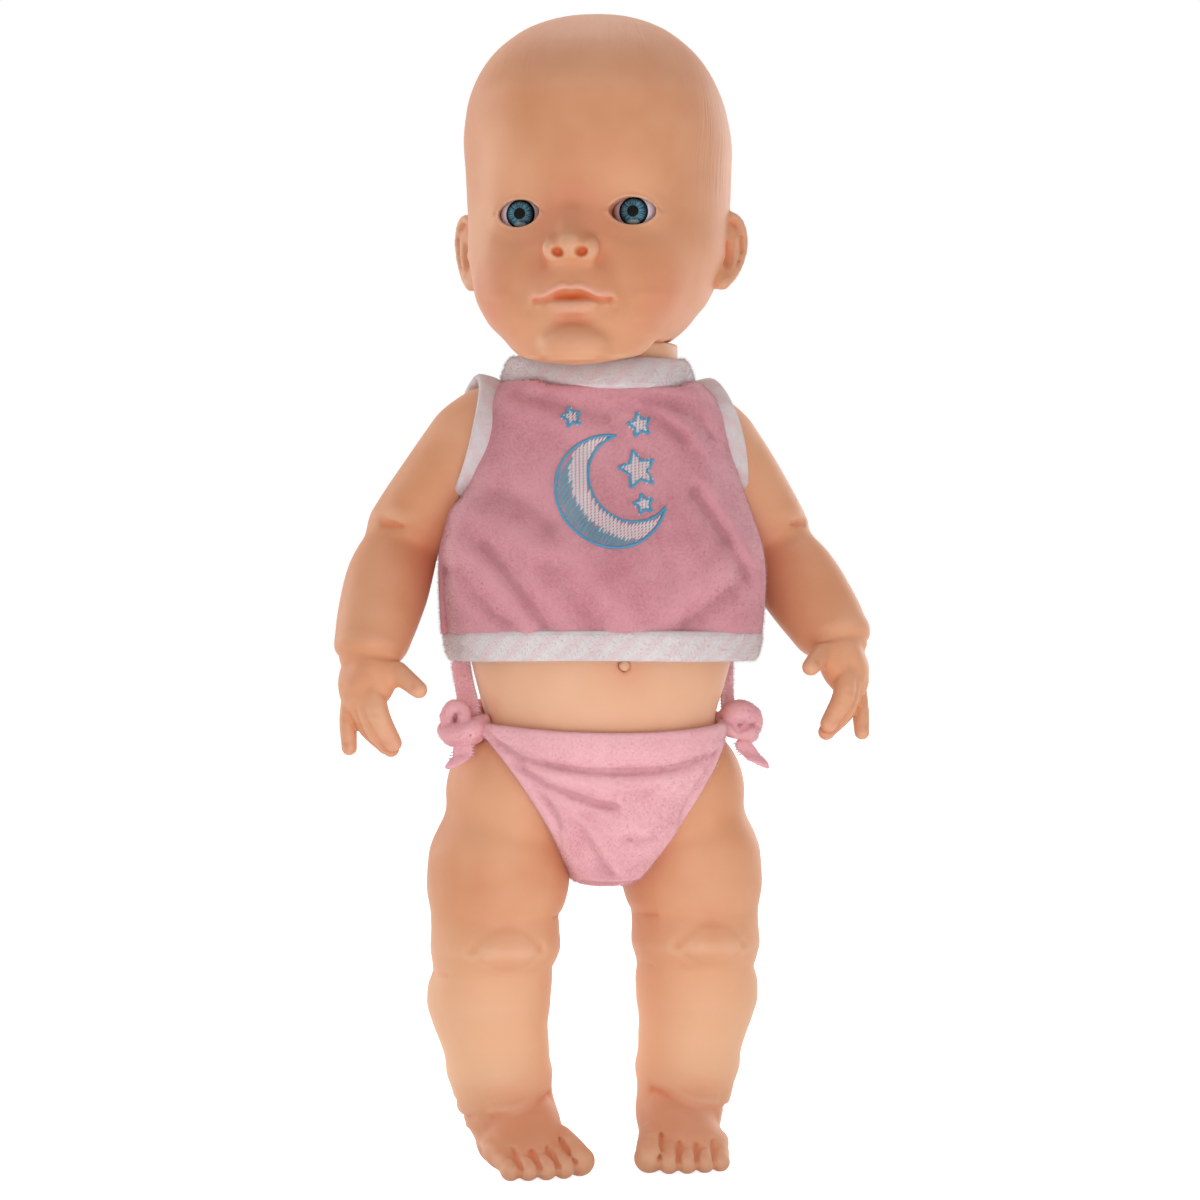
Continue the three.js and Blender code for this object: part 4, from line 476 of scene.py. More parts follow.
def skin_mesh(name, corners, faces, material, turn=None, at=(0, 0, 0)):
    """A smooth mesh object in metres from corners in millimetres."""
    p = np.asarray(corners, float)
    if turn is not None:
        p = p @ np.asarray(turn).T
    p = (p + np.asarray(at)) * MM
    mesh = bpy.data.meshes.new(name)
    faces = np.asarray(faces)
    mesh.vertices.add(len(p))
    mesh.vertices.foreach_set("co", p.astype(np.float32).ravel())
    mesh.loops.add(faces.size)
    mesh.loops.foreach_set("vertex_index", faces.ravel().astype(np.int32))
    mesh.polygons.add(len(faces))
    mesh.polygons.foreach_set("loop_start", (np.arange(len(faces)) * faces.shape[1]).astype(np.int32))
    mesh.update(calc_edges=True)
    mesh.validate()
    return new_piece(name, mesh, material)


def mark(ob, name, values):
    """Stores one number for each corner, which a material can read."""
    layer = ob.data.attributes.new(name, "FLOAT", "POINT")
    layer.data.foreach_set("value", np.asarray(values, np.float32))


def store_vectors(ob, name, values):
    """Stores three numbers for each corner."""
    layer = ob.data.attributes.new(name, "FLOAT_VECTOR", "POINT")
    layer.data.foreach_set("vector", np.asarray(values, np.float32).ravel())


def neighbours(faces):
    """Both ends of every edge, each way round."""
    a = np.concatenate([faces[:, k] for k in range(faces.shape[1])])
    b = np.concatenate([np.roll(faces, -1, axis=1)[:, k] for k in range(faces.shape[1])])
    return np.concatenate([a, b]), np.concatenate([b, a])


def spread(values, a, b, n, rounds):
    """Averages values with those of the neighbours, again and again."""
    v = np.asarray(values, float)
    flat = v.ndim == 1
    v = v[:, None] if flat else v
    count = np.bincount(a, minlength=n)
    for _ in range(rounds):
        v = 0.4 * v + 0.6 * np.stack([np.bincount(a, v[b, c], n) for c in range(v.shape[1])], 1) / count[:, None]
    return v[:, 0] if flat else v


def hollows(corners, faces, rounds):
    """How deep each corner lies below its smoothed surroundings, in millimetres."""
    a, b = neighbours(faces)
    n = len(corners)
    smooth = spread(corners, a, b, n, rounds)
    p, q = corners[faces[:, 2]] - corners[faces[:, 0]], corners[faces[:, 3]] - corners[faces[:, 1]]
    face_out = np.cross(p, q)
    out = np.zeros((n, 3))
    for k in range(4):
        for c in range(3):
            out[:, c] += np.bincount(faces[:, k], face_out[:, c], n)
    out /= np.maximum(np.linalg.norm(out, axis=1, keepdims=True), 1e-9)
    depth = ((smooth - corners) * out).sum(1)
    return spread(depth, a, b, n, 3)


# %% [markdown]
# ## Head
# The head is one thin casting. Its main form is a pile of ovals, wide at the temples and full at the cheeks.
# The face is then worked in: soft swellings first, then the nose, the lips, the lids, the chin and the ears.
# Places are measured from the tip of the chin, with the neck's axis in the middle and the face towards -Y.

# %%
HEAD_AT = (0, 1, 296.5)
HEAD_YAW = math.radians(-23)
head_turn = np.array([[math.cos(HEAD_YAW), -math.sin(HEAD_YAW), 0], [math.sin(HEAD_YAW), math.cos(HEAD_YAW), 0],
    [0, 0, 1]])
EYE_AT = (20.8, -35.5, 54.7)
EYE_RADIUS = 9.5
HEAD_GRAIN = 0.62
# height, half width, front and back of the head
HEAD_ROWS = [
    (0.3, 8, 47, -40.8), (1.6, 15, 49, -37), (4.3, 22.5, 50.8, -12), (12.3, 31.6, 52.8, 27), (16.8, 36.2, 53.7, 35),
    (21.4, 39.4, 54, 41), (26.7, 42.7, 54.2, 47.4), (35.4, 45.7, 54.4, 52.2), (46, 48.2, 53.8, 56.1),
    (57.4, 48.6, 53, 58.5),
    (66.8, 49.2, 53.7, 59.5), (75.4, 49.5, 55.4, 60), (84.5, 49.9, 57.1, 59.7), (98, 48, 58, 56.4),
    (106.8, 44.9, 55.7, 51.9),
    (116, 39.5, 48.7, 44.4), (125.1, 29.8, 36, 31.8), (129.5, 21.7, 25.5, 22.2), (132.2, 12.5, 14.5, 12),
    (133.5, 3, 3.5, 2.4),
]


def head_form(fine):
    clay = Clay(
        ticks((-62, -34, 1.5 * fine), (-34, 34, fine), (34, 62, 1.5 * fine)),
        ticks((-66, -38, fine), (-38, 64, 1.9 * fine)),
        ticks((-3, 68, fine), (68, 137, 1.7 * fine)),
    )
    # the jaw of the real head lies a little to its right
    rows = [(z, -1.8 * math.exp(-(((z - 20) / 16) ** 2)), (b - f) / 2, w, (b + f) / 2) for z, w, f, b in HEAD_ROWS]
    clay.add(stack_field(rows, 2.15))
    for s in (1, -1):
        clay.press([(s * 30, -42, 30)], 15, -3.0)       # cheek
        clay.press([(s * 24, -49, 20)], 12, -1.2)       # lower cheek
        clay.press([(s * 21, -50, 56)], 10.5, 3.2)      # eye hollow
        clay.press([(s * 20, -53, 72)], 14, -1.2)       # brow
        clay.press([(s * 43, -30, 74)], 13, 1.0)        # temple
    clay.press([(0, -54, 56)], 7, 1.6)                  # bridge of the nose
    clay.press([(0, -57, 70)], 14, -0.8)
    return clay


print("head rows:", len(HEAD_ROWS))


# %%
def on_face(clay, points):
    """Points across and up, set on the front of the clay."""
    return [(x, clay.front(x, z), z) for x, z in points]


def sculpt_nose(clay):
    base = clay.front(0, 41)
    clay.chain([(0, base + 3, 52, 2.2), (0, base + 0.5, 46.5, 3.6), (0, base - 2.2, 42.2, 4.9)], blend=6)
    for s in (1, -1):
        clay.egg((s * 6.9, base - 0.2, 40.4), (3.8, 4.6, 4.1), blend=3.2)
        lean = np.array([(0.94, 0, 0.34 * s), (0, 1, 0), (-0.34 * s, 0, 0.94)])
        clay.egg((s * 4.4, base - 5.0, 38.8), (2.5, 3.5, 1.95), blend=1.0, turn=lean, carve=True)
        clay.press(on_face(clay, [(s * 10.8, 43), (s * 11.6, 39.2), (s * 9.8, 35.6)]), 1.7, 0.7)
        clay.press(on_face(clay, [(s * 12.5, 38), (s * 16, 31), (s * 18.5, 25)]), 4.2, 0.9)
    clay.press(on_face(clay, [(0, 34.6), (0, 31.5)]), 2.4, 0.4)


def sculpt_mouth(clay):
    clay.press(on_face(clay, [(-9, 27), (0, 28), (9, 27)]), 8, -1.7)
    line = [(-14.0, 22.8), (-10.5, 23.1), (-7, 23.9), (-4.6, 24.9), (-2.4, 25.5), (0.2, 24.9), (2.6, 25.5),
        (4.8, 24.8), (7.2, 23.8), (10.6, 23.1), (14.2, 22.9)]
    thick = [0.4, 0.75, 1.05, 1.35, 1.4, 1.25, 1.4, 1.35, 1.05, 0.75, 0.4]
    lip = [(x, clay.front(x, z) + 0.55, z + 0.8 * t, t) for (x, z), t in zip(line, thick)]
    clay.chain(lip, blend=1.7, steps=4)
    gap = [(x * 0.98, clay.front(x, z - 1.2) + 0.5, z - 0.9 * t - 0.3, 0.4 + 0.62 * t) for (x, z),
        t in zip(line, thick)]
    clay.chain(gap, blend=1.2, steps=4, carve=True)
    deep = clay.front(0, 25) + 0.9
    clay.egg((0, deep - 0.5, 23.0), (6.2, 2.4, 1.8), blend=3.2, carve=True)
    under = clay.front(0, 18.5)
    clay.chain([(-6.4, under + 1.8, 19.8, 1.3), (-3.2, under + 1.4, 19.5, 1.8), (0, under + 1.3, 19.4, 2.0),
        (3.2, under + 1.4, 19.5, 1.8), (6.4, under + 1.8, 19.8, 1.3)], blend=3.6)
    for s in (1, -1):
        clay.press(on_face(clay, [(s * 14.2, 22.8), (s * 15.0, 21.0), (s * 15.4, 19.4)]), 1.5, 0.5)
        clay.press(on_face(clay, [(s * 10.5, 19.2), (s * 13, 18.4)]), 3.2, 0.5)
    clay.press(on_face(clay, [(-6, 15.8), (0, 15.4), (6, 15.8)]), 3.0, 0.35)
    clay.press(on_face(clay, [(-7.2, 10.6), (-3.8, 13.2), (0, 14.8), (3.8, 13.2), (7.6, 10.2)]), 2.6, 0.8)
    clay.egg((0, -50.5, 6.6), (11, 6.6, 6.2), blend=5)


def almond(x, y, z, at, half_width, half_height):
    """A lens-shaped opening that runs forwards."""
    px, pz = np.abs(x - at[0]) / half_width, np.abs(z - at[2]) / half_height
    r = np.maximum(px**1.85 + pz**1.85, 1e-6) ** (1 / 1.85)
    slope = np.sqrt((px**0.85 / half_width) ** 2 + (pz**0.85 / half_height) ** 2) / np.maximum(r, 1e-3) ** 0.85
    return np.maximum((r - 1) / slope, y - at[1])


def sculpt_eye(clay, s):
    at = (s * EYE_AT[0], EYE_AT[1], EYE_AT[2])
    clay.egg(at, (11.6, 10.9, 10.2), blend=3.4)
    near, far = (at[0] - 14, -66, 38), (at[0] + 14, -20, 72)
    clay.carve(lambda x, y, z: almond(x, y, z, at, 8.2, 5.05), 0.35, near, far)
    clay.egg(at, (EYE_RADIUS + 0.35,) * 3, carve=True)
    lid = [(s * 11.6, 55.2), (s * 14.5, 59.4), (s * 20.8, 61.4), (s * 27, 59.4), (s * 30.6, 55.4)]
    clay.press(on_face(clay, lid), 0.8, 0.55)
    clay.press(on_face(clay, [(x, z - 1.9) for x, z in lid]), 0.9, -0.25)
    clay.press(on_face(clay, [(s * 10.5, 48), (s * 15, 45.6), (s * 22, 44.4), (s * 29, 46.5)]), 2.4, 0.3)


def sculpt_ear(clay, s):
    flare = math.radians(33)
    n = np.array([s * math.cos(flare), -math.sin(flare), 0.0])
    u = np.array([s * math.sin(flare), math.cos(flare), -0.12])
    u /= np.linalg.norm(u)
    v = np.cross(n, u) * (1 if s < 0 else -1)
    v = v if v[2] > 0 else -v
    origin = np.array([50.0 * s, 6.5, 47.4]) if s < 0 else np.array([46.8, 6.5, 46.2])
    turn = np.array([u, v, n])

    def at(a, b, c):
        return tuple(origin + a * u + b * v + c * n)

    clay.egg(at(2.6, 0.6, 0.1), (7.2, 12.6, 1.7), blend=2.4, turn=turn)
    rim = [(-4.5, 4.5, -0.6, 1.2), (-3.6, 9.6, 0.5, 1.5), (0.6, 12.9, 1.2, 1.75), (5.6, 11.8, 1.5, 1.8),
        (8.9, 7.2, 1.5, 1.75), (9.6, 1.5, 1.3, 1.7), (8.0, -4.4, 1.1, 1.65), (4.6, -9.4, 0.9, 1.9),
        (1.0, -12.4, 0.6, 2.2)]
    clay.chain([(*at(a, b, c), r) for a, b, c, r in rim], blend=1.1)
    clay.egg(at(-1.2, -11.8, 0.2), (3.6, 3.4, 2.0), blend=2.2, turn=turn)
    clay.press([at(5.2, 8.2, 1.6), at(6.3, 3.0, 1.7), at(5.4, -2.4, 1.6), at(2.4, -7.6, 1.4)], 1.5, -1.1)
    clay.press([at(1.4, 8.4, 1.4), at(4.6, 4.4, 1.6)], 1.3, -0.7)
    clay.egg(at(0.9, -1.6, 2.6), (3.5, 5.6, 3.0), blend=1.2, turn=turn, carve=True)
    clay.press([at(7.6, 6.5, 1.8), at(7.9, 0.5, 1.7), at(6.4, -4.6, 1.6)], 0.9, 0.7)
    clay.egg(at(-3.4, -2.4, 1.6), (1.8, 2.8, 1.5), blend=1.6, turn=turn)
    clay.press([at(-3.5, 5.5, 1.2), at(-3.4, 9.5, -1.5)], 1.2, 0.5)


def cylinder(at, axis, radius, start, end):
    """Field of a round pin along an axis."""
    a = np.asarray(axis, np.float32) / np.linalg.norm(axis)

    def field(x, y, z):
        px, py, pz = x - at[0], y - at[1], z - at[2]
        t = px * a[0] + py * a[1] + pz * a[2]
        r = np.sqrt(np.maximum(px**2 + py**2 + pz**2 - t**2, 0)) - radius
        return np.maximum(r, np.maximum(start - t, t - end))

    return field


def sculpt_head():
    clay = head_form(HEAD_GRAIN)
    sculpt_nose(clay)
    sculpt_mouth(clay)
    for s in (1, -1):
        sculpt_eye(clay, s)
        sculpt_ear(clay, s)
    # the room over the collar, the two steps of the neck's hole, and the hollow behind it
    for radius, start, end, blend in ((38.4, -6, 9.8, 0.9), (31.4, -6, 11.3, 0.8), (22, -6, 15, 0.4),
        (29, 14.2, 34, 1.0)):
        clay.carve(cylinder((0, 0, 0), (0, 0, 1), radius, start, end), blend)
    return clay.surface()


# %% [markdown]
# ## Vinyl skin
# The real skin is a soft matt vinyl. It lets light in a little, so that every crease glows orange, and the
# cheeks, knees and toes were sprayed with a faint blush. The creases are measured on the sculpted mesh and kept
# as a number on each corner, and the colour is mixed from it: painted glow and shade in the creases and a
# painted highlight on the ridges. Real subsurface light would be slower and would not reach the exported model.


# %%
def skin_material(name, hair=False, body=(213, 145, 104), pale=(222, 160, 122)):
    g = Graph(name)
    at = g.place()
    fold, glow = g.field("fold"), g.field("blush")
    pale = linear(*pale)
    body = linear(*body)
    deep = linear(214, 104, 58)
    mottled = g.noise(at, 22, 3)
    colour = g.mix(body, pale, g.step(mottled, 0.35, 0.65))
    # painted light: the calves are mixed to a paler colour where they catch light from the table
    colour = g.mix(colour, linear(246, 192, 152), g.field("lit"))
    # sprayed blush, and on the face painted shade in the hollows round the eyes, the nose and the chin
    colour = g.mix(colour, linear(208, 122, 90), glow)
    # painted glow and shade in the creases, and a painted highlight on raised parts
    colour = g.mix(colour, deep, g.step(fold, 0.1, 1.15) * 0.8)
    colour = g.mix(colour, linear(236, 190, 160), g.step(-fold, 0.08, 0.6) * 0.35)
    if hair:
        colour = g.mix(colour, linear(234, 166, 146), g.field("lips"))
        # painted shade and glow deep in the mouth and the nostrils
        colour = g.mix(colour, linear(206, 92, 34), g.field("inside"))
    pores = g.noise(at, 1400, 2)
    height = pores * 0.35
    if hair:
        strand = g.noise(g.direction("strand"), 1.0, 2, 0.6)
        height = height + strand * g.field("hairy") * 8.0
        colour = g.mix(colour, linear(214, 158, 132), (1 - strand) * g.field("hairy") * 0.5)
    g.bump(height, 0.00006)
    return g.finish(Base_Color=colour, Roughness=0.46 + pores * 0.12, Specular_IOR_Level=0.35)


def blush_at(corners, spots):
    total = np.zeros(len(corners))
    for x, y, z, reach, amount in spots:
        total += amount * np.exp(-(((corners - (x, y, z)) ** 2).sum(1)) / reach**2)
    return np.clip(total, 0, 1)


vinyl = skin_material("vinyl_skin")
vinyl_face = skin_material("vinyl_face", hair=True)
head_corners, head_faces = sculpt_head()
print("head:", len(head_faces) * 2, "triangles")


# %%
def hair_direction(corners):
    """Coordinates that run slowly down each moulded strand and fast across them, out from the crown."""
    away = corners - np.array([0, 14, 128])
    around = np.arctan2(away[:, 0], -away[:, 1])
    down = np.linalg.norm(away, axis=1)
    return np.stack([np.cos(around) * 26, np.sin(around) * 26, down * 0.05], 1)


def near_line(corners, points, width):
    p = curve_through(points, 6)
    x, y, z = corners.T
    return np.exp(-((line_far(x, y, z, p) / width) ** 2))


def head_piece():
    c, faces = head_corners, head_faces
    ob = skin_mesh("head_vinyl", c, faces, vinyl_face, head_turn, HEAD_AT)
    depth = hollows(c, faces, 14)
    mark(ob, "fold", np.clip(depth * 2.2, -1, 1))
    # the two spots on the cheeks are the doll's sprayed blush; those between and under the eyes, by the nose and over
    # the chin are painted shade of the hollows there
    face_blush_and_shade = [(34, -40, 24, 15, 0.5), (-34, -40, 24, 15, 0.55), (0, -54, 58, 11, 0.5), (12, -50, 49, 9, 0.4),
        (-12, -50, 49, 9, 0.4), (0, -56, 33, 4, 0.1), (11, -54, 33, 6, 0.4), (-11, -54, 33, 6, 0.4),
        (0, -54, 14, 8, 0.35)]
    mark(ob, "blush", blush_at(c, face_blush_and_shade))
    lip_line = [(-13.4, -53, 23.3), (-7, -56, 25.1), (-2.6, -58, 26.7), (0, -58, 26.1), (2.6, -58, 26.7),
        (7, -56, 25.1), (13.4, -53, 23.4)]
    lower = [(-5, -55, 19.6), (0, -56.5, 19.3), (5, -55, 19.6)]
    lips = np.maximum(near_line(c, lip_line, 1.5) * 0.9, near_line(c, lower, 2.0) * 0.35)
    mark(ob, "lips", np.clip(lips * (c[:, 1] < -48), 0, 1))
    # painted shade and glow: the mouth's opening, its corners and the nostrils turn deep orange the deeper they lie
    within = np.exp(-(((c - (0, -53, 22.7)) / (9.4, 3.4, 2.0)) ** 2).sum(1))
    corner = sum(np.exp(-(((c - (s * 14.0, -51.5, 22.8)) / (1.8, 3, 1.1)) ** 2).sum(1)) for s in (1, -1))
    nostrils = sum(np.exp(-(((c - (s * 4.4, -57.0, 39.0)) / (2.4, 3.2, 2.1)) ** 2).sum(1)) for s in (1, -1))
    mark(ob, "inside", np.clip(within * 1.4 + nostrils * 0.5 + corner * 0.7, 0, 1) * np.clip(depth * 3.5, 0, 1))
    crown = np.clip((c[:, 2] - 92 + 0.5 * c[:, 1] * (c[:, 1] > 0)) / 22, 0, 1)
    sides = np.clip((np.abs(c[:, 0]) - 38) / 8, 0, 1) * np.clip((c[:, 2] - 55) / 12, 0,
        1) * np.clip((c[:, 1] + 40) / 10, 0, 1)
    back = np.clip(c[:, 1] / 14, 0, 1) * np.clip((c[:, 2] - 26) / 16, 0, 1)
    mark(ob, "hairy", np.clip(np.maximum(np.maximum(crown, sides), back), 0, 1))
    store_vectors(ob, "strand", hair_direction(c))
    return declare(ob, "head", "head_shell")


head_piece()
print("head corners:", len(head_corners))

# %% [markdown]
# ## Arms
# Both arms come from one mould and its mirror image. The left one is swung 12 degrees further forward.
# Each is a half ball at the shoulder, a plump upper arm that folds over the forearm at the elbow, a deep crease
# at the wrist, a soft palm and five fingers. The whole arm turns with its shoulder joint, so it is one piece.

# %%
SHOULDER = np.array([48.0, 6.0, 271.0])
SHOULDER_AXIS = np.array([math.cos(math.radians(15)), 0, math.sin(math.radians(15))])
WRIST = np.array([88.0, -7.0, 190.0])
HAND = 35.0
hand_down = np.array([0.111, -0.198, -0.974])
to_thumb = np.array([-0.652, -0.724, 0.073])
hand_back = np.array([0.719, -0.627, 0.209])
# knuckle, middle and tip of each finger as shares of the hand: down, towards the thumb, towards its back; thickness
FINGERS = [
    [(0.05, 0.14, -0.05, 5.2), (0.2, 0.4, -0.08, 4.0), (0.36, 0.64, -0.1, 3.2)],
    [(0.38, 0.15, 0.05, 4.1), (0.64, 0.21, 0.0, 4.1), (0.88, 0.25, -0.22, 3.2)],
    [(0.44, 0.05, 0.06, 3.9), (0.72, 0.08, -0.06, 3.7), (0.92, 0.14, -0.32, 3.1)],
    [(0.44, -0.09, 0.04, 3.7), (0.7, -0.06, -0.12, 3.5), (0.88, 0.02, -0.38, 3.0)],
    [(0.4, -0.21, 0.0, 3.5), (0.66, -0.25, -0.04, 3.3), (0.93, -0.24, -0.08, 2.9)],
]


def in_hand(a, c, n):
    return WRIST + HAND * (a * hand_down + c * to_thumb + n * hand_back)


def round_frame(axis, forward):
    """An axis and two directions across it, the first as near to forward as it can be."""
    axis = np.asarray(axis, float) / np.linalg.norm(axis)
    f = np.asarray(forward, float) - np.dot(forward, axis) * axis
    f /= np.linalg.norm(f)
    return axis, f, np.cross(axis, f)


def around(centre, axis, forward, radius, start, end, lean=0.0, count=9):
    """Points round a limb, for a crease. The lean slides one end of it along the limb."""
    axis, f, g = round_frame(axis, forward)
    found = []
    for a in np.radians(np.linspace(start, end, count)):
        ahead = math.cos(a) * f + math.sin(a) * g
        found.append(tuple(np.asarray(centre) + radius * ahead + lean * math.sin(a) * axis))
    return found


def half_space(at, normal):
    """Field of all that lies ahead of a plane."""
    n = np.asarray(normal, np.float32)
    return lambda x, y, z: -((x - at[0]) * n[0] + (y - at[1]) * n[1] + (z - at[2]) * n[2])


def sculpt_arm():
    clay = Clay(ticks((36, 108, 0.8)), ticks((-44, 42, 0.85)), ticks((146, 198, 0.6), (198, 296, 1.1)))
    across = np.cross(SHOULDER_AXIS, (0, 1, 0))
    clay.egg(SHOULDER, (10, 20, 20), turn=np.array([SHOULDER_AXIS, (0, 1, 0), across]))
    clay.chain([(47, 7, 268.5, 17.6), (55, 9.5, 257, 17.4), (64, 14, 244.5, 16.6), (69.5, 17, 237.5, 15.4)],
        blend=5)
    clay.chain([(71, 18, 231, 14.4), (77.5, 11.5, 219, 16.0), (83.5, 2, 204, 14.9), (87.2, -4.5, 194.8, 12.7)],
        blend=2.4)
    clay.carve(half_space(SHOULDER, -SHOULDER_AXIS))
    palm = np.array([to_thumb, hand_back, hand_down])
    clay.egg(in_hand(0.2, 0.01, -0.01), (11.6, 7.8, 13.2), blend=1.2, turn=palm)
    clay.egg(in_hand(0.3, -0.12, 0.0), (6.6, 6.4, 10.0), blend=3.0, turn=palm)
    for k, finger in enumerate(FINGERS):
        clay.chain([(*in_hand(a, c, n), r) for a, c, n, r in finger], blend=3.0 if k == 0 else 0.5)
    clay.chain([(*in_hand(0.14, 0.1, 0.05), 7), (*in_hand(0.34, 0, 0.02), 6.6)], blend=2.5)
    wrist = WRIST + 1.0 * hand_down + np.array([-0.6, 1.0, 0])
    for back, radius, width, depth in ((0, 12.4, 1.1, 1.2), (5, 14, 4, -0.5)):
        ring = around(wrist - back * hand_down, hand_down, (0.3, -1, 0), radius, -180, 180, 0.6, 17)
        clay.press(ring, width, depth)
    bend = np.array([0.2, -0.2, -0.96])
    elbow = (70.6, 17.2, 234.5)
    for at, radius, start, end, count, width, depth in (
        (elbow, 15.0, -60, 95, 13, 1.2, 1.3), (elbow, 15.2, -95, 120, 13, 2.2, 0.5),
        ((71, 16.5, 239), 16.0, -40, 80, 9, 4.0, -0.7),
    ):
        clay.press(around(at, bend, (-0.25, -1, 0), radius, start, end, 1.0, count), width, depth)
    for c, a in ((0.17, 0.36), (0.05, 0.43), (-0.09, 0.43), (-0.2, 0.38)):
        clay.press([tuple(in_hand(a, c, 0.2))], 2.2, 0.7)
    for finger in FINGERS[1:]:
        a, c, n, r = finger[1]
        clay.press([tuple(in_hand(a, c - 0.08, n + 0.105)), tuple(in_hand(a, c + 0.08, n + 0.105))], 0.8, 0.3)
    for a, c, n, r in (f[2] for f in FINGERS):
        clay.press([tuple(in_hand(a - 0.02, c, n + (r - 0.2) / HAND))], 1.5, 0.4)
    clay.add(cylinder(SHOULDER, SHOULDER_AXIS, 11, -5.6, 3), 0)
    clay.add(cylinder(SHOULDER, SHOULDER_AXIS, 14.5, -5.6, -3.4), 0)
    return clay.surface()


arm_corners, arm_faces = sculpt_arm()
print("arm:", len(arm_faces) * 2, "triangles")


# %%
def turned_about(corners, at, axis, degrees):
    """Corners turned about an axis through a place."""
    k = np.asarray(axis, float) / np.linalg.norm(axis)
    a = math.radians(degrees)
    p = corners - at
    return at + p * math.cos(a) + np.cross(k, p) * math.sin(a) + k * (p @ k)[:, None] * (1 - math.cos(a))


def limb_piece(name, corners, faces, side, spots, raise_by=0.0):
    """A limb from its mould, mirrored for the right side, with its creases and blush marked."""
    depth = hollows(corners, faces, 9)
    glow = blush_at(corners, spots)
    if raise_by:
        corners = turned_about(corners, SHOULDER, SHOULDER_AXIS, raise_by)
    if side < 0:
        corners, faces = corners * (-1, 1, 1), faces[:, ::-1]
    ob = skin_mesh(name + "_vinyl", corners, faces, vinyl)
    mark(ob, "fold", np.clip(depth * 2.4, -1, 1))
    mark(ob, "blush", glow)
    z = corners[:, 2]
    # painted light: the calves are coloured paler where they catch light from the table
    mark(ob, "lit", 0.9 * np.clip((105 - z) / 60, 0, 1) * np.clip((z - 12) / 20, 0.1,
        1) if "leg" in name else 0 * z)
    return declare(ob, name, name)


tips = [(*in_hand(f[2][0], f[2][1], f[2][2]), 6, 0.35) for f in FINGERS]
arm_blush = [(62, 0, 224, 12, 0.7), (88, -8, 186, 12, 0.25), (72, 32, 232, 10, 0.5), *tips]
for side, name, raised in ((-1, "right_arm", 0), (1, "left_arm", -12)):
    limb_piece(name, arm_corners, arm_faces, side, arm_blush, raised)

# %% [markdown]
# ## Legs
# The legs are bowed in a little at the feet and have the folds of a baby: one above the knee, one below it and
# two at the ankle. The knee cap is a soft lump with a dimple on each side. The sole is cut flat so that the doll stands.

# %%
HIP = np.array([29.0, 4.0, 139.0])
HIP_AXIS = np.array([math.cos(math.radians(33)), 0, -math.sin(math.radians(33))])
# height, middle x, middle y, half width, half depth
LEG_ROWS = [
    (140, 33.7, 4.6, 17.6, 18.5), (130.2, 35.3, 4.6, 22.3, 23.5), (116.2, 37.2, 4.9, 26.1, 27.2),
    (105.7, 37.5, 4.9, 26.6, 27.4),
    (98, 38, 4.9, 25.6, 26.6), (92.6, 38.5, 4.9, 24.5, 25.5), (88, 38.6, 4.2, 24.0, 25.4),
    (82, 38.7, 3.8, 24.2, 26.0), (76.5, 39, 4.6, 23.3, 24.4),
    (72.2, 39.4, 6, 22.8, 23.2), (66.5, 40.1, 7.7, 23.2, 23.5), (60.2, 40.4, 8.2, 23.1, 23.5),
    (53.2, 39.9, 8.2, 21.7, 22.1),
    (45.5, 38.3, 7.7, 20.4, 20.0), (38, 37, 7.4, 19.3, 19.0), (32, 36.2, 7.4, 19.0, 19.0),
    (27, 35.8, 7.4, 18.2, 18.2), (22, 35.8, 7.4, 16.8, 16.8), (14, 35.8, 7.4, 13.5, 14),
]
TOE_IN = math.radians(17)
foot_ahead = np.array([-math.sin(TOE_IN), -math.cos(TOE_IN), 0])
foot_inward = np.array([-math.cos(TOE_IN), math.sin(TOE_IN), 0])
heel = np.array([35.5, 8.0, 0]) - 20 * foot_ahead


def in_foot(along, inward, up):
    return heel + along * foot_ahead + inward * foot_inward + np.array([0, 0, up])


# along the foot, inwards, height, and half length, width and height of each toe's end
TOES = [
    (59.5, 11.4, 6.0, 6.6, 5.5, 5.7), (60.6, 4.0, 4.7, 5.6, 3.9, 4.5), (59.6, -2.7, 4.4, 5.4, 3.8, 4.2),
    (57.4, -9.0, 4.2, 5.2, 3.7, 4.0),
    (54.2, -14.6, 3.9, 4.9, 3.5, 3.7),
]


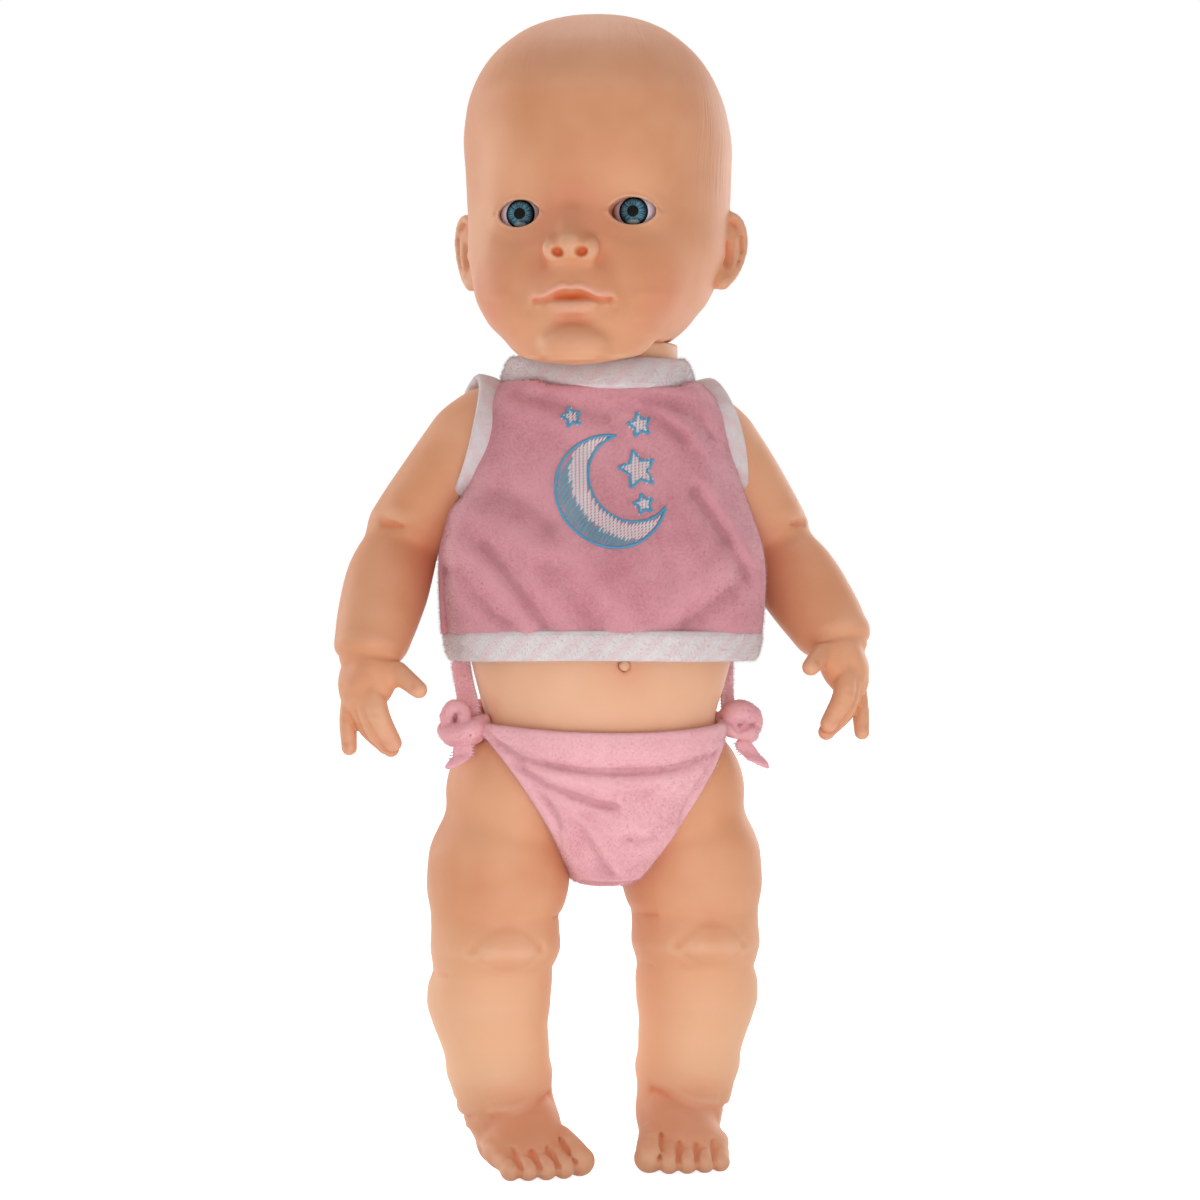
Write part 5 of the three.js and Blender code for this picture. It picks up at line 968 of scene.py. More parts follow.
def sculpt_leg():
    clay = Clay(ticks((4, 70, 0.95)), ticks((-42, -4, 0.62), (-4, 40, 1.1)), ticks((-2, 22, 0.62), (22, 168, 1.1)))
    clay.egg(HIP, (28, 28, 28))
    clay.add(stack_field(LEG_ROWS, 2.08), 3)
    clay.carve(half_space(HIP, -HIP_AXIS))
    axes = np.array([foot_ahead, foot_inward, (0, 0, 1)])
    clay.chain([(*in_foot(19, 2.6, 13), 12.0), (*in_foot(24, 2.2, 18), 16.2), (*in_foot(34, 1.6, 13), 14.6),
        (*in_foot(43, 0.9, 8.6), 10.4)], blend=4)
    clay.egg(in_foot(40.5, -0.4, 8.2), (15, 16.8, 9.2), blend=4, turn=axes)
    clay.egg(in_foot(18, 2.6, 6.5), (11.5, 10.5, 9), blend=3, turn=axes)
    for along, inward, up, a, b, c in TOES:
        clay.chain([(*in_foot(along - 14, inward * 0.92, up + 5.4), 1.0 * b),
            (*in_foot(along - 6, inward * 0.98, up + 2.4), 0.98 * b), (*in_foot(along, inward, up), 0.94 * b)],
            blend=1.4)
        clay.egg(in_foot(along, inward, up - 0.3), (a * 0.75, b, c * 0.95), blend=0.9, turn=axes)
    for (a0, i0, u0, *_), (a1, i1, u1, *_) in zip(TOES[:-1], TOES[1:]):
        slot = [in_foot((a0 + a1) / 2 - d, (i0 + i1) / 2 * k, (u0 + u1) / 2 + h) for d, k,
            h in ((-2.5, 1.0, 0.8), (5, 0.98, 5.6), (13, 0.92, 9.2))]
        clay.press([tuple(p) for p in slot], 0.85, 1.5)
    for along, inward, up, a, b, c in TOES:
        nail = in_foot(along + a * 0.4, inward, up + c * 0.8)
        clay.press([tuple(nail)], b * 0.5, 0.5)
        for back in (2.4, 6.6):
            line = [in_foot(along - back, inward + w * b, up + c * 0.95 + 0.45 * back) for w in (-0.4, 0.4)]
            clay.press([tuple(p) for p in line], 0.7, 0.22)
    above, below = (38.6, 5, 94), (39.2, 5, 73)
    for at, radius, start, end, lean, count, width, depth in (
        (above, 24.8, -170, 170, 1.0, 17, 4.5, 0.55), ((38.6, 5, 95), 24.4, 50, 105, 2.0, 7, 1.2, 0.8),
        (below, 23.0, -170, 170, -1.0, 17, 4.0, 0.45), (below, 23.0, -62, -100, -1.0, 5, 1.3, 0.7),
        (below, 23.0, 62, 100, -1.0, 5, 1.3, 0.7),
    ):
        clay.press(around(at, (0, 0, -1), (0, -1, 0), radius, start, end, lean, count), width, depth)
    knee = (38.9, 83.0)
    clay.press([(knee[0] - 3, clay.front(*knee) + 1, knee[1]), (knee[0] + 3, clay.front(*knee) + 1, knee[1])], 7.5,
        -1.5)
    rim = [(knee[0] + 11.5 * math.cos(a), knee[1] + 8 * math.sin(a)) for a in np.radians(np.arange(0, 361, 30))]
    clay.press(on_face(clay, rim), 1.8, 0.4)
    for x, z, width, depth in ((-13.6, 0, 1.7, 1.6), (13.2, 0, 1.7, 1.6), (-11, -8.5, 1.5, 0.5)):
        clay.press(on_face(clay, [(knee[0] + x, knee[1] + z)]), width, depth)
    clay.press(around((36.4, 7.2, 34.5), (0, 0, -1), (0, -1, 0), 18.4, -180, 180, 0, 17), 4.2, -0.9)
    ankle = on_face(clay, [(19.5, 27.6), (25, 25.6), (31, 23.4), (37, 21.4), (43, 19.8), (49, 19.0), (53, 19.4)])
    clay.press(ankle, 1.3, 1.5)
    clay.press([(x, y, z - 3) for x, y, z in ankle], 3.4, 0.9)
    clay.press([(x, y, z + 3.4) for x, y, z in ankle], 3.0, -0.7)
    clay.press(around((36.0, 7.2, 23.5), (0, 0, -1), (0, -1, 0), 16.4, 90, 270, 0, 13), 1.5, 1.0)
    clay.press(around((38, 5, 118), (0, 0, -1), (0, -1, 0), 26.5, 60, 120, 5, 7), 2.4, 0.5)
    clay.carve(lambda x, y, z: z + 0 * x + 0 * y, 0.8)  # the flat sole
    clay.add(cylinder(HIP, HIP_AXIS, 16, -5.6, 3), 0)
    clay.add(cylinder(HIP, HIP_AXIS, 20, -5.6, -3.4), 0)
    return clay.surface()


leg_corners, leg_faces = sculpt_leg()
leg_blush = [(*in_foot(38, 0, 18), 15, 0.6), (*in_foot(56, 0, 5), 12, 0.3), (*in_foot(3, 0, 8), 9, 0.4),
    (40, -24, 92, 9, 0.25)]
for side, name in ((-1, "right_leg"), (1, "left_leg")):
    limb_piece(name, leg_corners, leg_faces, side, leg_blush)
print("leg:", len(leg_faces) * 2, "triangles")

# %% [markdown]
# ## Torso
# The hard torso is two moulded shells that meet in a seam down the sides. It is made from the same ovals as the
# CAD part, at a finer grain, with the navel hole, the grille, the battery opening and the screw wells.

# %%
# share of the height, half width, front and back of the torso
TORSO = [
    (0, 0.14, 0.36, 0.43), (0.03, 0.34, 0.5, 0.62), (0.09, 0.62, 0.68, 0.84), (0.16, 0.8, 0.8, 0.97),
    (0.23, 0.88, 0.87, 1),
    (0.3, 0.88, 0.93, 0.96), (0.36, 0.94, 0.98, 0.91), (0.43, 1, 1, 0.88), (0.54, 1, 0.97, 0.86),
    (0.66, 0.98, 0.87, 0.86),
    (0.77, 0.95, 0.79, 0.85), (0.85, 0.91, 0.75, 0.83), (0.9, 0.82, 0.73, 0.82), (0.935, 0.67, 0.72, 0.82),
]
TORSO_BOTTOM, TORSO_HEIGHT = 107.0, 200.0
HALF_WIDTH, FRONT, BACK = 49.0, 42.0, 37.0
ROUNDNESS = 2.3
SHELL_WALL = 2.6
NECK = (0, 1, 0)


def torso_rows(grow=0.0, ease=None, count=44):
    """Ovals of the torso, grown, with the extra room that ease gives to the sides and to front and back."""
    rows = []
    for z in np.linspace(TORSO_BOTTOM, TORSO_BOTTOM + 0.935 * TORSO_HEIGHT, count):
        w, f, b = row_curve(TORSO, [(z - TORSO_BOTTOM) / TORSO_HEIGHT])[0]
        side, front = ease(z) if ease else (0, 0)
        w, f, b = w * HALF_WIDTH + grow + side, f * FRONT + grow + front, b * BACK + grow + front
        rows.append((z, 0, (b - f) / 2, w, (b + f) / 2))
    return rows


def shoulder_of(s):
    """The middle and the axis of a shoulder joint, on the doll's left (1) or right (-1)."""
    return SHOULDER * (s, 1, 1), SHOULDER_AXIS * (s, 1, 1)


def hip_of(s):
    return HIP * (s, 1, 1), HIP_AXIS * (s, 1, 1)


def torso_form(clay, grow=0.0):
    clay.add(stack_field(torso_rows(grow), ROUNDNESS))
    clay.add(cylinder(NECK, (0, 0, 1), 30 + grow, 277, 307), 5)
    for s in (1, -1):
        clay.add(cylinder(*shoulder_of(s), 20 + grow, -20, -0.4), 3)


def box_field(lo, hi):
    """Field of a box between two corners."""
    c, h = (np.add(lo, hi) / 2).astype(np.float32), (np.subtract(hi, lo) / 2).astype(np.float32)
    return lambda x, y, z: np.maximum(np.maximum(np.abs(x - c[0]) - h[0], np.abs(y - c[1]) - h[1]),
        np.abs(z - c[2]) - h[2])


def sculpt_torso():
    clay = Clay(ticks((-55, 55, 1.25)), ticks((-45, 40, 1.25)), ticks((103, 319, 1.25)))
    torso_form(clay)
    outside = clay.f.copy()
    clay.f = np.maximum(outside, -(outside + SHELL_WALL))
    clay.add(cylinder(NECK, (0, 0, 1), 21, 300, 316.6), 0)
    clay.add(cylinder(NECK, (0, 0, 1), 24.8, 310.9, 314.4), 1.5)
    clay.carve(cylinder(NECK, (0, 0, 1), 18.2, 290, 330), 0)
    for s in (1, -1):
        hip, axis = hip_of(s)
        shoulder, up = shoulder_of(s)
        cut = hip - 0.4 * axis
        wall = Clay(*clay.axes)
        torso_form(wall)
        inside = np.maximum(wall.f, -half_space(cut - SHELL_WALL * axis, axis)(*wall.part()[1:]))
        clay.add(lambda x, y, z, inside=inside: inside, 0)
        clay.carve(half_space(cut, axis), 0)
        clay.carve(cylinder(hip, axis, 16.7, -8, 4), 0)
        clay.carve(cylinder(shoulder, up, 11.7, -6, 4), 0)
        for z in (246, 166):
            clay.carve(cylinder((s * 30, 0, z), (0, 1, 0), 3.2, 22, 60), 0)  # screw well
    clay.carve(cylinder((0, 0, 187.5), (0, -1, 0), 2.15, 20, 60), 0)  # hole of the navel button
    for k in range(7):
        a = k * math.pi / 3
        at = (5 * math.cos(a) * (k < 6), 0, 263 + 5 * math.sin(a) * (k < 6))
        clay.carve(cylinder(at, (0, 1, 0), 1.3, 20, 60), 0)
    clay.carve(box_field((-21, 26, 180.2), (21, 60, 242.3)), 0)  # battery opening
    clay.carve(box_field((23.6, 24, 219.4), (35.2, 60, 224.6)), 0)  # slot of the switch
    return clay


torso_clay = sculpt_torso()
hard_skin = skin_material("hard_skin", body=(226, 172, 136), pale=(230, 180, 146))
for name, node, slab in (
    ("torso_front_shell", "torso_front", box_field((-99, -99, 0), (99, 2.85, 400))),
    ("torso_back_shell", "torso_back", box_field((-99, 3.15, 0), (99, 99, 400))),
):
    half = Clay(*torso_clay.axes)
    half.f = np.maximum(torso_clay.f, slab(*half.part()[1:]))
    corners, faces = half.surface()
    piece = skin_mesh(name, corners, faces, hard_skin)
    mark(piece, "fold", np.zeros(len(corners)))
    mark(piece, "blush", blush_at(corners, [(0, -42, 187.5, 9, 0.3), (0, -42, 170, 20, 0.1)]))
    declare(piece, "torso", node)
    print(name, len(faces) * 2, "triangles")

# %% [markdown]
# ## Cloth materials
# The top is cotton velour: a short pile that looks dark face on and pale at a grazing angle, with brushed
# patches where the pile lies over. The brief is fleece, softer and paler. The bindings are the same white pile
# with thin pink stripes that run across the strip.


# %%
def pile_material(name, face, brushed, grain, stripe=None):
    g = Graph(name)
    at = g.place()
    patch = g.noise(at, 38, 3, 0.6)
    tuft = g.noise(at, grain, 3, 0.7)
    fold = g.field("fold")
    colour = g.mix(linear(*face), linear(*brushed), g.step(patch * 0.6 + tuft * 0.4, 0.34, 0.66))
    # painted shade in the folds of the cloth, and a painted highlight on their ridges
    colour = g.mix(colour, linear(*(c * 0.86 for c in face)), g.step(fold, 0.04, 1.0) * 0.5)
    colour = g.mix(colour, linear(*brushed), g.step(-fold, 0.04, 0.8) * 0.5)
    if stripe:
        along, across, _ = g.parts(g.uv())
        wave = ((along - across * 0.6 + (patch - 0.5) * 0.9 + (tuft - 0.5) * 0.6) * 0.65).sin()
        colour = g.mix(colour, linear(*stripe), g.step(wave, -0.6, 1.0) * (0.12 + tuft * 0.36))
    g.bump(tuft, 0.00022, 0.8)
    return g.finish(Base_Color=colour, Roughness=0.86, Sheen_Weight=0.3, Sheen_Roughness=0.5)


velour = pile_material("velour", (194, 122, 132), (218, 152, 162), 900)
fleece = pile_material("fleece", (226, 158, 168), (243, 186, 192), 700)
trim = pile_material("trim", (212, 200, 201), (226, 218, 218), 800, (222, 176, 182))

# %% [markdown]
# ## Velour top
# The top is cut wider than the doll at the hem and close at the shoulders. It is one closed skin of cloth around
# the torso, with pulls from the neck and from the armholes. The pulls are pressed into the same field of
# distances, which keeps the cloth an even 2 mm thick. A cloth simulation would need a pattern that the photograph hides.

# %%
HEM, HEM_TOP, SHIRT_TOP, CLOTH = 189.0, 200.0, 296.0, 2.2
COLLAR_AXIS = (0, -0.07, 1)
# share of the height from the hem, and the share of the full ease
EASE = [(0, 0.8), (0.2, 0.95), (0.36, 1), (0.55, 0.6), (0.72, 0.2), (1, 0)]
# angle round the body, share of the height, reach, depth in millimetres
WAVES = [(-3.0, 0.0, 0.3, -2.6), (-2.78, 0.4, 0.2, 3.4), (-0.4, 0.3, 0.2, 1.2), (-2.45, 0.3, 0.32, 1.6),
    (-1.95, 0.52, 0.2, 1.1), (-0.7, 0.36, 0.32, 1.6), (-1.2, 0.2, 0.22, -0.9), (0.9, 0.3, 0.3, 1.3),
    (2.3, 0.34, 0.3, 1.3)]
# grooves (and ridges, below zero) on the front of the top: points across and up, width, depth
PULLS = [
    ([(11, 287), (29, 281), (36, 272)], 2.6, 1.1), ([(6, 284), (22, 277), (32, 268)], 2.4, -0.7),
    ([(0, 286), (14, 279), (24, 271)], 2.6, 0.8),
    ([(-33, 287), (-20, 281), (-6, 279)], 3.2, 0.9), ([(-40, 284), (-24, 277), (-8, 274)], 4.0, -0.5),
    ([(-52, 253), (-38, 247), (-28, 238)], 4.5, 1.2), ([(-54, 243), (-42, 238), (-32, 229)], 4.0, -0.8),
    ([(-57, 222), (-49, 209), (-41, 202)], 3.0, 1.3), ([(-54, 227), (-44, 214), (-37, 203)], 3.2, -1.1),
    ([(-50, 230), (-39, 214), (-31, 202)], 3.0, 1.2),
    ([(-29, 224), (-22, 214), (-12, 203)], 4.5, 0.9), ([(-20, 226), (-12, 215), (-4, 205)], 5.0, -0.6),
    ([(28, 250), (37, 236), (45, 224)], 3.0, 1.4), ([(34, 252), (43, 238), (50, 228)], 3.2, -0.9),
    ([(22, 202), (35, 211), (47, 219)], 3.4, 1.2),
    ([(18, 209), (31, 219), (44, 228)], 4.5, -1.1), ([(4, 240), (14, 226), (18, 212)], 6, 0.7),
]


def shirt_ease(z):
    share = float(np.clip((z - HEM) / (SHIRT_TOP - HEM), 0, 1))
    ease = row_curve(EASE, [share])[0, 0]
    return 9 * ease, 5.5 * ease


def shirt_field(clay):
    """The outside of the top, with its waves and pulls, as the distance on a grid."""
    shape = Clay(*clay.axes)
    shape.add(stack_field(torso_rows(0.8 + CLOTH, shirt_ease, 60), ROUNDNESS))
    _, x, y, z = shape.part()
    turn, share = np.arctan2(y + 2, x), (z - HEM) / (SHIRT_TOP - HEM)
    for at, height, reach, depth in WAVES:
        shape.f -= (depth * np.exp(-(((turn - at) / reach) ** 2) - ((share - height) / reach) ** 2)).astype(
            np.float32)
    for points, width, depth in PULLS:
        line = curve_through([(x, 0, z) for x, z in points], 5)
        far = line_far(x, 0 * y, z, line)
        flat_by_collar = np.clip((290 - z) / 6, 0, 1)
        shape.f += (1.5 * depth * np.exp(-((far / (1.3 * width)) ** 2)) * (y < 0) * flat_by_collar).astype(
            np.float32)
    for s in (1, -1):
        shape.add(cylinder(*shoulder_of(s), 22.4, -20, -0.4), 4)
    body = Clay(*clay.axes)
    torso_form(body, 2.5)
    field = np.minimum(shape.f, body.f)
    for s in (1, -1):
        # the cloth stops at the arm, and swells out below it
        beyond = -half_space(*shoulder_of(s))(x, y, z)
        under = 0.7 * np.maximum(249 - z, 0) + 30 * (z < 236)
        field = -soft_least(-field, (under - beyond).astype(np.float32), 2.0)
    return field


def sculpt_shirt():
    clay = Clay(ticks((-67, 67, 1.0)), ticks((-56, 46, 1.0)), ticks((197, 300, 1.0)))
    outside = shirt_field(clay)
    body = Clay(*clay.axes)
    torso_form(body, 0.3)
    clay.f = np.maximum(outside, -np.minimum(outside + CLOTH, body.f))
    clay.carve(cylinder((0, 1, 296.6), COLLAR_AXIS, 38.0, -4.7, 60), 0.6)
    for s in (1, -1):
        clay.carve(cylinder(*shoulder_of(s), 22.6, -4.2, 60), 0.4)
    clay.carve(box_field((-99, -99, 0), (99, 99, HEM_TOP - 1.5)), 0.3)
    return clay.surface()


def cloth_piece(name, corners, faces, material, node, rounds):
    """A piece of cloth on the torso, with its folds measured over some rounds of smoothing."""
    ob = skin_mesh(name, corners, faces, material)
    depth = hollows(corners, faces, rounds)
    mark(ob, "fold", np.clip(depth * 3.2, -1, 1))
    return declare(ob, "torso", node)


corners, faces = sculpt_shirt()
shirt = cloth_piece("velour_top", corners, faces, velour, "shirt", 20)
print("top:", len(faces) * 2, "triangles")

# %% [markdown]
# ## Bindings
# A strip of striped pile is folded over every raw edge of the top. Each is one section swept round a ring, with
# coordinates along and across the strip, so that the stripes keep their slant all the way round.


# %%
STRIPE_PITCH = 9.666


def sweep(name, centres, outs, ups, half_out, half_up, material, sides=22, power=2.6):
    """A rounded band swept round a closed ring, with UVs in centimetres along and across."""
    c, o, u = (np.asarray(v, float) for v in (centres, outs, ups))
    n = len(c)
    ho, hu = np.broadcast_to(half_out, n), np.broadcast_to(half_up, n)
    a = np.linspace(0, 2 * np.pi, sides, endpoint=False)
    ca, sa = (np.sign(v) * np.abs(v) ** (2 / power) for v in (np.cos(a), np.sin(a)))
    p = c[:, None] + o[:, None] * (ho[:, None] * ca)[..., None] + u[:, None] * (hu[:, None] * sa)[..., None]
    i, j = np.meshgrid(np.arange(n), np.arange(sides), indexing="ij")
    here, ahead, side = i * sides, (i + 1) % n * sides, (j + 1) % sides
    ring = np.stack([here + j, ahead + j, ahead + side, here + side], -1).reshape(-1, 4)
    corners = p.reshape(-1, 3)
    q = corners[ring]
    volume = sum((q[:, 0] * np.cross(q[:, k] - q[:, 0], q[:, k + 1] - q[:, 0])).sum() for k in (1, 2))
    ob = skin_mesh(name, corners, ring if volume > 0 else ring[:, ::-1], material)
    step = np.linalg.norm(np.roll(c, -1, 0) - c, axis=1)
    length = np.concatenate([[0], np.cumsum(step)])
    # a whole number of stripes goes round, so that they meet
    whole = max(1, round(length[-1] / STRIPE_PITCH)) * STRIPE_PITCH / length[-1]
    s = np.stack([i, i + 1, i + 1, i], -1).reshape(-1, 4)
    t = np.stack([j, j, j + 1, j + 1], -1).reshape(-1, 4)
    if volume <= 0:
        s, t = s[:, ::-1], t[:, ::-1]
    uv = np.stack([length[s] * whole, hu.mean() * 2 * np.sin(t * 2 * np.pi / sides)], -1)
    layer = ob.data.uv_layers.new(name="UVMap")
    layer.data.foreach_set("uv", uv.astype(np.float32).ravel())
    mark(ob, "fold", np.zeros(len(corners)))
    return ob


def ring_about(at, axis, radius, count=180):
    """Centres and outward directions of a round ring, its axis and its angles."""
    axis, f, g = round_frame(axis, (0, -1, 0))
    a = np.linspace(0, 2 * np.pi, count, endpoint=False)[:, None]
    out = np.cos(a) * f + np.sin(a) * g
    return np.asarray(at) + radius * out, out, np.broadcast_to(axis, out.shape), a[:, 0]


def hem_ring(count=260):
    """The outline of the top at its hem."""
    z = (HEM + HEM_TOP) / 2
    _, _, my, w, d = torso_rows(0.8 + CLOTH, shirt_ease, 60)[int((z - TORSO_BOTTOM) / (0.935 * TORSO_HEIGHT) * 59)]
    a = np.linspace(0, 2 * np.pi, count, endpoint=False)
    ca, sa = np.cos(a), np.sin(a)
    r = (np.abs(ca) ** ROUNDNESS + np.abs(sa) ** ROUNDNESS) ** (-1 / ROUNDNESS)
    ripple = 0.5 * np.sin(5 * a + 0.7) + 0.35 * np.sin(9 * a)
    p = np.stack([(w + ripple - 2.6 * (ca < 0) * ca**4) * r * ca, my + (d + ripple) * r * sa,
        np.full(count, z) + 0.25 * np.sin(3 * a + 1)], 1)
    along = np.roll(p, -1, 0) - np.roll(p, 1, 0)
    out = np.cross(along, (0, 0, 1))
    out /= np.linalg.norm(out, axis=1, keepdims=True)
    lean = math.radians(12)
    up = np.array((0.0, 0.0, 1.0))
    return p - out, out * math.cos(lean) - up * math.sin(lean), out * math.sin(lean) + up * math.cos(lean)


def neck_ring(count=180):
    """The ring of the collar, which leans outwards at its lower edge."""
    c, o, u, a = ring_about((0, 1, 296.4), COLLAR_AXIS, 33.2, count)
    lean = math.radians(20)
    ripple = 0.25 * np.sin(5 * a)[:, None] * u
    return c + ripple, o * math.cos(lean) + u * math.sin(lean), u * math.cos(lean) - o * math.sin(lean)


def armhole_ring(s, out, radius, count=180):
    """The ring of an armhole at a distance along the joint's axis, and its half width, more over the shoulder."""
    at, axis = shoulder_of(s)
    c, o, u, _ = ring_about(at + out * axis, axis, radius, count)
    return c, o, u, 3.4 + 1.3 * np.clip((o[:, 2] + 1) / 1.2, 0, 1)


bands = [("hem_roll", *hem_ring(), 1.9, 5.6, "hem_binding"), ("neck_roll", *neck_ring(), 2.5, 6.0, "neck_binding")]
for s, name in ((-1, "right"), (1, "left")):
    c, o, u, width = armhole_ring(s, -0.6, 23.3)
    bands.append((name + "_armhole_roll", c, o, u, 1.9, width, name + "_armhole_binding"))
bindings = [declare(sweep(*band, trim), "torso", node) for *band, node in bands]
print("bindings:", [len(b.data.polygons) for b in bindings])

# %% [markdown]
# ## Fleece brief
# The brief is a soft panel that passes between the legs and is drawn up to a knot on each hip. Its folds hang
# from knot to knot, and one edge laps over the other in front.

# %%
LEG_OPENING = 29.4
# grooves (and ridges, below zero) on the front of the brief: points across and up, width, depth
DRAPES = [
    ([(-47, 160.5), (-40, 157), (-33, 153), (-18, 150), (-5, 149), (10, 149.2), (24, 151), (38, 155)], 1.7, 2.3),
    ([(-43, 163), (-20, 157.5), (0, 156), (20, 157.5), (42, 162)], 4.6, -1.3),
    ([(-41, 153.5), (-33, 148.5), (-26, 144), (-17, 140.3), (-9, 137.5), (-2, 136)], 1.6, 2.1),
    ([(-32, 150.5), (-12, 144.5), (4, 143.5), (22, 147)], 3.0, -1.1),
    ([(-31, 143), (-25, 136), (-20, 128)], 1.4, 1.0), ([(-27, 146), (-20, 138), (-15, 130)], 1.8, -0.6),
    ([(-4, 130), (7, 130), (15, 134)], 6.0, -1.3), ([(14, 148), (26, 149), (36, 151)], 1.6, 0.8),
    ([(2, 124), (9, 123), (14, 124)], 2.0, 0.9),
]


def sculpt_brief():
    clay = Clay(ticks((-54, 54, 1.0)), ticks((-50, 46, 1.0)), ticks((98, 184, 1.0)))
    clay.add(stack_field(torso_rows(4.2), ROUNDNESS))
    _, x, y, z = clay.part()
    for points, width, depth in DRAPES:
        line = curve_through([(a, 0, b) for a, b in points], 6)
        for p in (line, line[2:-2]):
            far = line_far(x, 0 * y, z, p)
            clay.f += (0.5 * depth * np.exp(-((far / width) ** 2)) * (y < 0)).astype(np.float32)
    for s in (1, -1):
        # a rolled edge round the leg, and the seam behind it
        from_edge = cylinder(*hip_of(s), LEG_OPENING, -60, 60)(x, y, z)
        seam, roll = (np.exp(-(((from_edge - far) / width) ** 2)) for far, width in ((5.2, 0.9), (2.2, 2.2)))
        clay.f += (0.9 * seam - 0.9 * roll).astype(np.float32)
    lap = (x - (-13 + (128 - z) * 0.72)) * 0.8
    clay.f -= (1.5 / (1 + np.exp(-lap / 0.3)) * (y < 0) * np.clip((134 - z) / 8, 0, 1)).astype(np.float32)
    inner = Clay(*clay.axes)
    torso_form(inner, 0.4)
    outside = np.minimum(clay.f, inner.f - 2.0)
    for s in (1, -1):
        hip, axis = hip_of(s)
        inner.carve(half_space(hip - 0.1 * axis, axis), 0)
    clay.f = np.maximum(outside, -inner.f)
    drop = 3.0 * (1 - (x / 46) ** 2)
    waist = (z - (166 - drop + np.maximum(y + 12, 0) * 13 / 49)).astype(np.float32)
    clay.f = -soft_least(-clay.f, -waist, 1.4)
    for s in (1, -1):
        hip, axis = hip_of(s)
        clay.carve(half_space(hip + 2.3 * axis, axis), 0.8)
        clay.carve(cylinder(hip, axis, LEG_OPENING, -0.1, 90), 0.8)
    return clay.surface()


corners, faces = sculpt_brief()
brief = cloth_piece("fleece_brief", corners, faces, fleece, "brief", 14)
print("brief:", len(faces) * 2, "triangles")


# %%
def band(clay, points, thickness, blend=0.4):
    """A flat strip of cloth through points of (x, y, z, half width, angle of its width from X towards Y)."""
    p = curve_through(points, 6)
    for a, b in zip(p[:-1], p[1:]):
        turn = math.radians((a[4] + b[4]) / 2)
        run = b[:3] - a[:3]
        length = np.linalg.norm(run)
        run = run / length
        wide = np.array([math.cos(turn), math.sin(turn), 0])
        wide -= wide @ run * run
        wide /= np.linalg.norm(wide)
        thin = np.cross(run, wide)
        clay.egg((a[:3] + b[:3]) / 2, ((a[3] + b[3]) / 2, thickness, length * 1.5), blend,
            turn=np.array([wide, thin, run]))


# the turns of each knot: points outwards, back and up from its middle, and thickness
TURNS = {
    -1: [
        [(-9, -2.5, 1.5, 3.2), (-5, -5.5, 0.6, 3.6), (0, -7.0, -1.5, 3.9), (5.4, -4.5, -2.6, 3.8),
        (7.0, 0, -1.5, 3.2)],
        [(6.0, -3, -0.5, 2.6), (7.2, -3, 3.6, 2.5), (5.0, -4, 7.4, 2.5), (1.6, -5, 6.4, 2.5),
        (1.0, -6.4, 1.0, 2.6)],
        [(-4.0, -4.0, -3.5, 2.8), (1.0, -5.5, -5.0, 3.0), (5.4, -2.5, -4.6, 2.8)],
    ],
    1: [
        [(-9, -2.5, 0.5, 3.0), (-4.5, -5.8, -1.0, 3.0), (-0.5, -7.2, -3.2, 2.2)],
        [(-4.6, -4.5, 2.0, 3.6), (0, -6.2, 4.6, 4.6), (5.0, -4.0, 3.4, 4.2), (7.6, -1.0, 0.4, 3.6),
        (6.4, -1.5, -3.4, 3.2)],
        [(0.5, -6.4, -3.4, 2.4), (4.4, -4.6, -3.0, 3.6), (6.4, -1, -4.4, 3.0)],
    ],
}


# strips of cloth: x, y and z, half width, and the angle of the width
STRAPS = {
    s: [(s * 49.6, -3.5, 168, 4.2, s * 48), (s * 50.0, -1.0, 173, 4.8, s * 50), (s * 50.9, 2.0, 180, 4.6, s * 54),
    (s * 51.8, 5.0, 188.5, 4.8, s * 56)]
    for s in (-1, 1)
}
FLARES = {
    -1: [(-52.6, -9.4, 158.5, 3.2, -12), (-54.2, -10.4, 153, 4.4, -14), (-54.8, -11, 148, 4.7, -10),
    (-54.4, -10.8, 143, 2.8, -8)],
    1: [(53.0, -8.0, 158, 3.2, 24), (56.4, -8.6, 153, 4.4, 20), (60.0, -8.8, 148, 4.6, 22),
    (63.0, -8.6, 143.4, 2.8, 24)],
}


def sculpt_knot(s):
    k = np.array([s * 51.8, -3.0, 164.5])
    clay = Clay(ticks((k[0] - 15, k[0] + 15, 0.6)), ticks((-18, 16, 0.6)), ticks((150, 192, 0.6)))
    clay.egg(k, (5.6, 5.4, 5.6))
    for turn in TURNS[s]:
        clay.chain([(k[0] + s * x, k[1] + y, k[2] + z, r) for x, y, z, r in turn], blend=0.5)
    for a in ((-7, 2.5), (6, -0.5)) if s > 0 else ((-3, -2.2), (3.5, -2.0)):
        clay.press([(k[0] + s * a[0], k[1] - 6, k[2] + a[1]), (k[0] - s * 0.5, k[1] - 9, k[2] - 2.6)], 1.0, 0.9)
    band(clay, STRAPS[s], 1.25, 0.8)
    clay.carve(cylinder(*hip_of(s), 28.4, 0, 90), 0)  # the room that the leg turns in
    inner = Clay(*clay.axes)
    inner.add(stack_field(torso_rows(0.5), ROUNDNESS))
    clay.carve(lambda x, y, z: inner.f, 0)
    return clay.surface()


def sculpt_tail(s):
    clay = Clay(ticks((s * 57 - 15, s * 57 + 15, 0.5)), ticks((-20, 12, 0.5)), ticks((135, 162, 0.5)))
    band(clay, FLARES[s], 1.2, 0.8)
    for a, b, lift in ((3.0, 155, 0.8), (5.0, 151, -0.8), (7.0, 147.5, 0.9), (9.0, 144.5, -0.7)):
        clay.press([(s * (50 + a), -11, b), (s * (58 + a), -8, b - 2)], 1.6, 0.8 * lift)
    clay.carve(cylinder(*hip_of(s), 28.6, 0, 40), 0)
    return clay.surface()


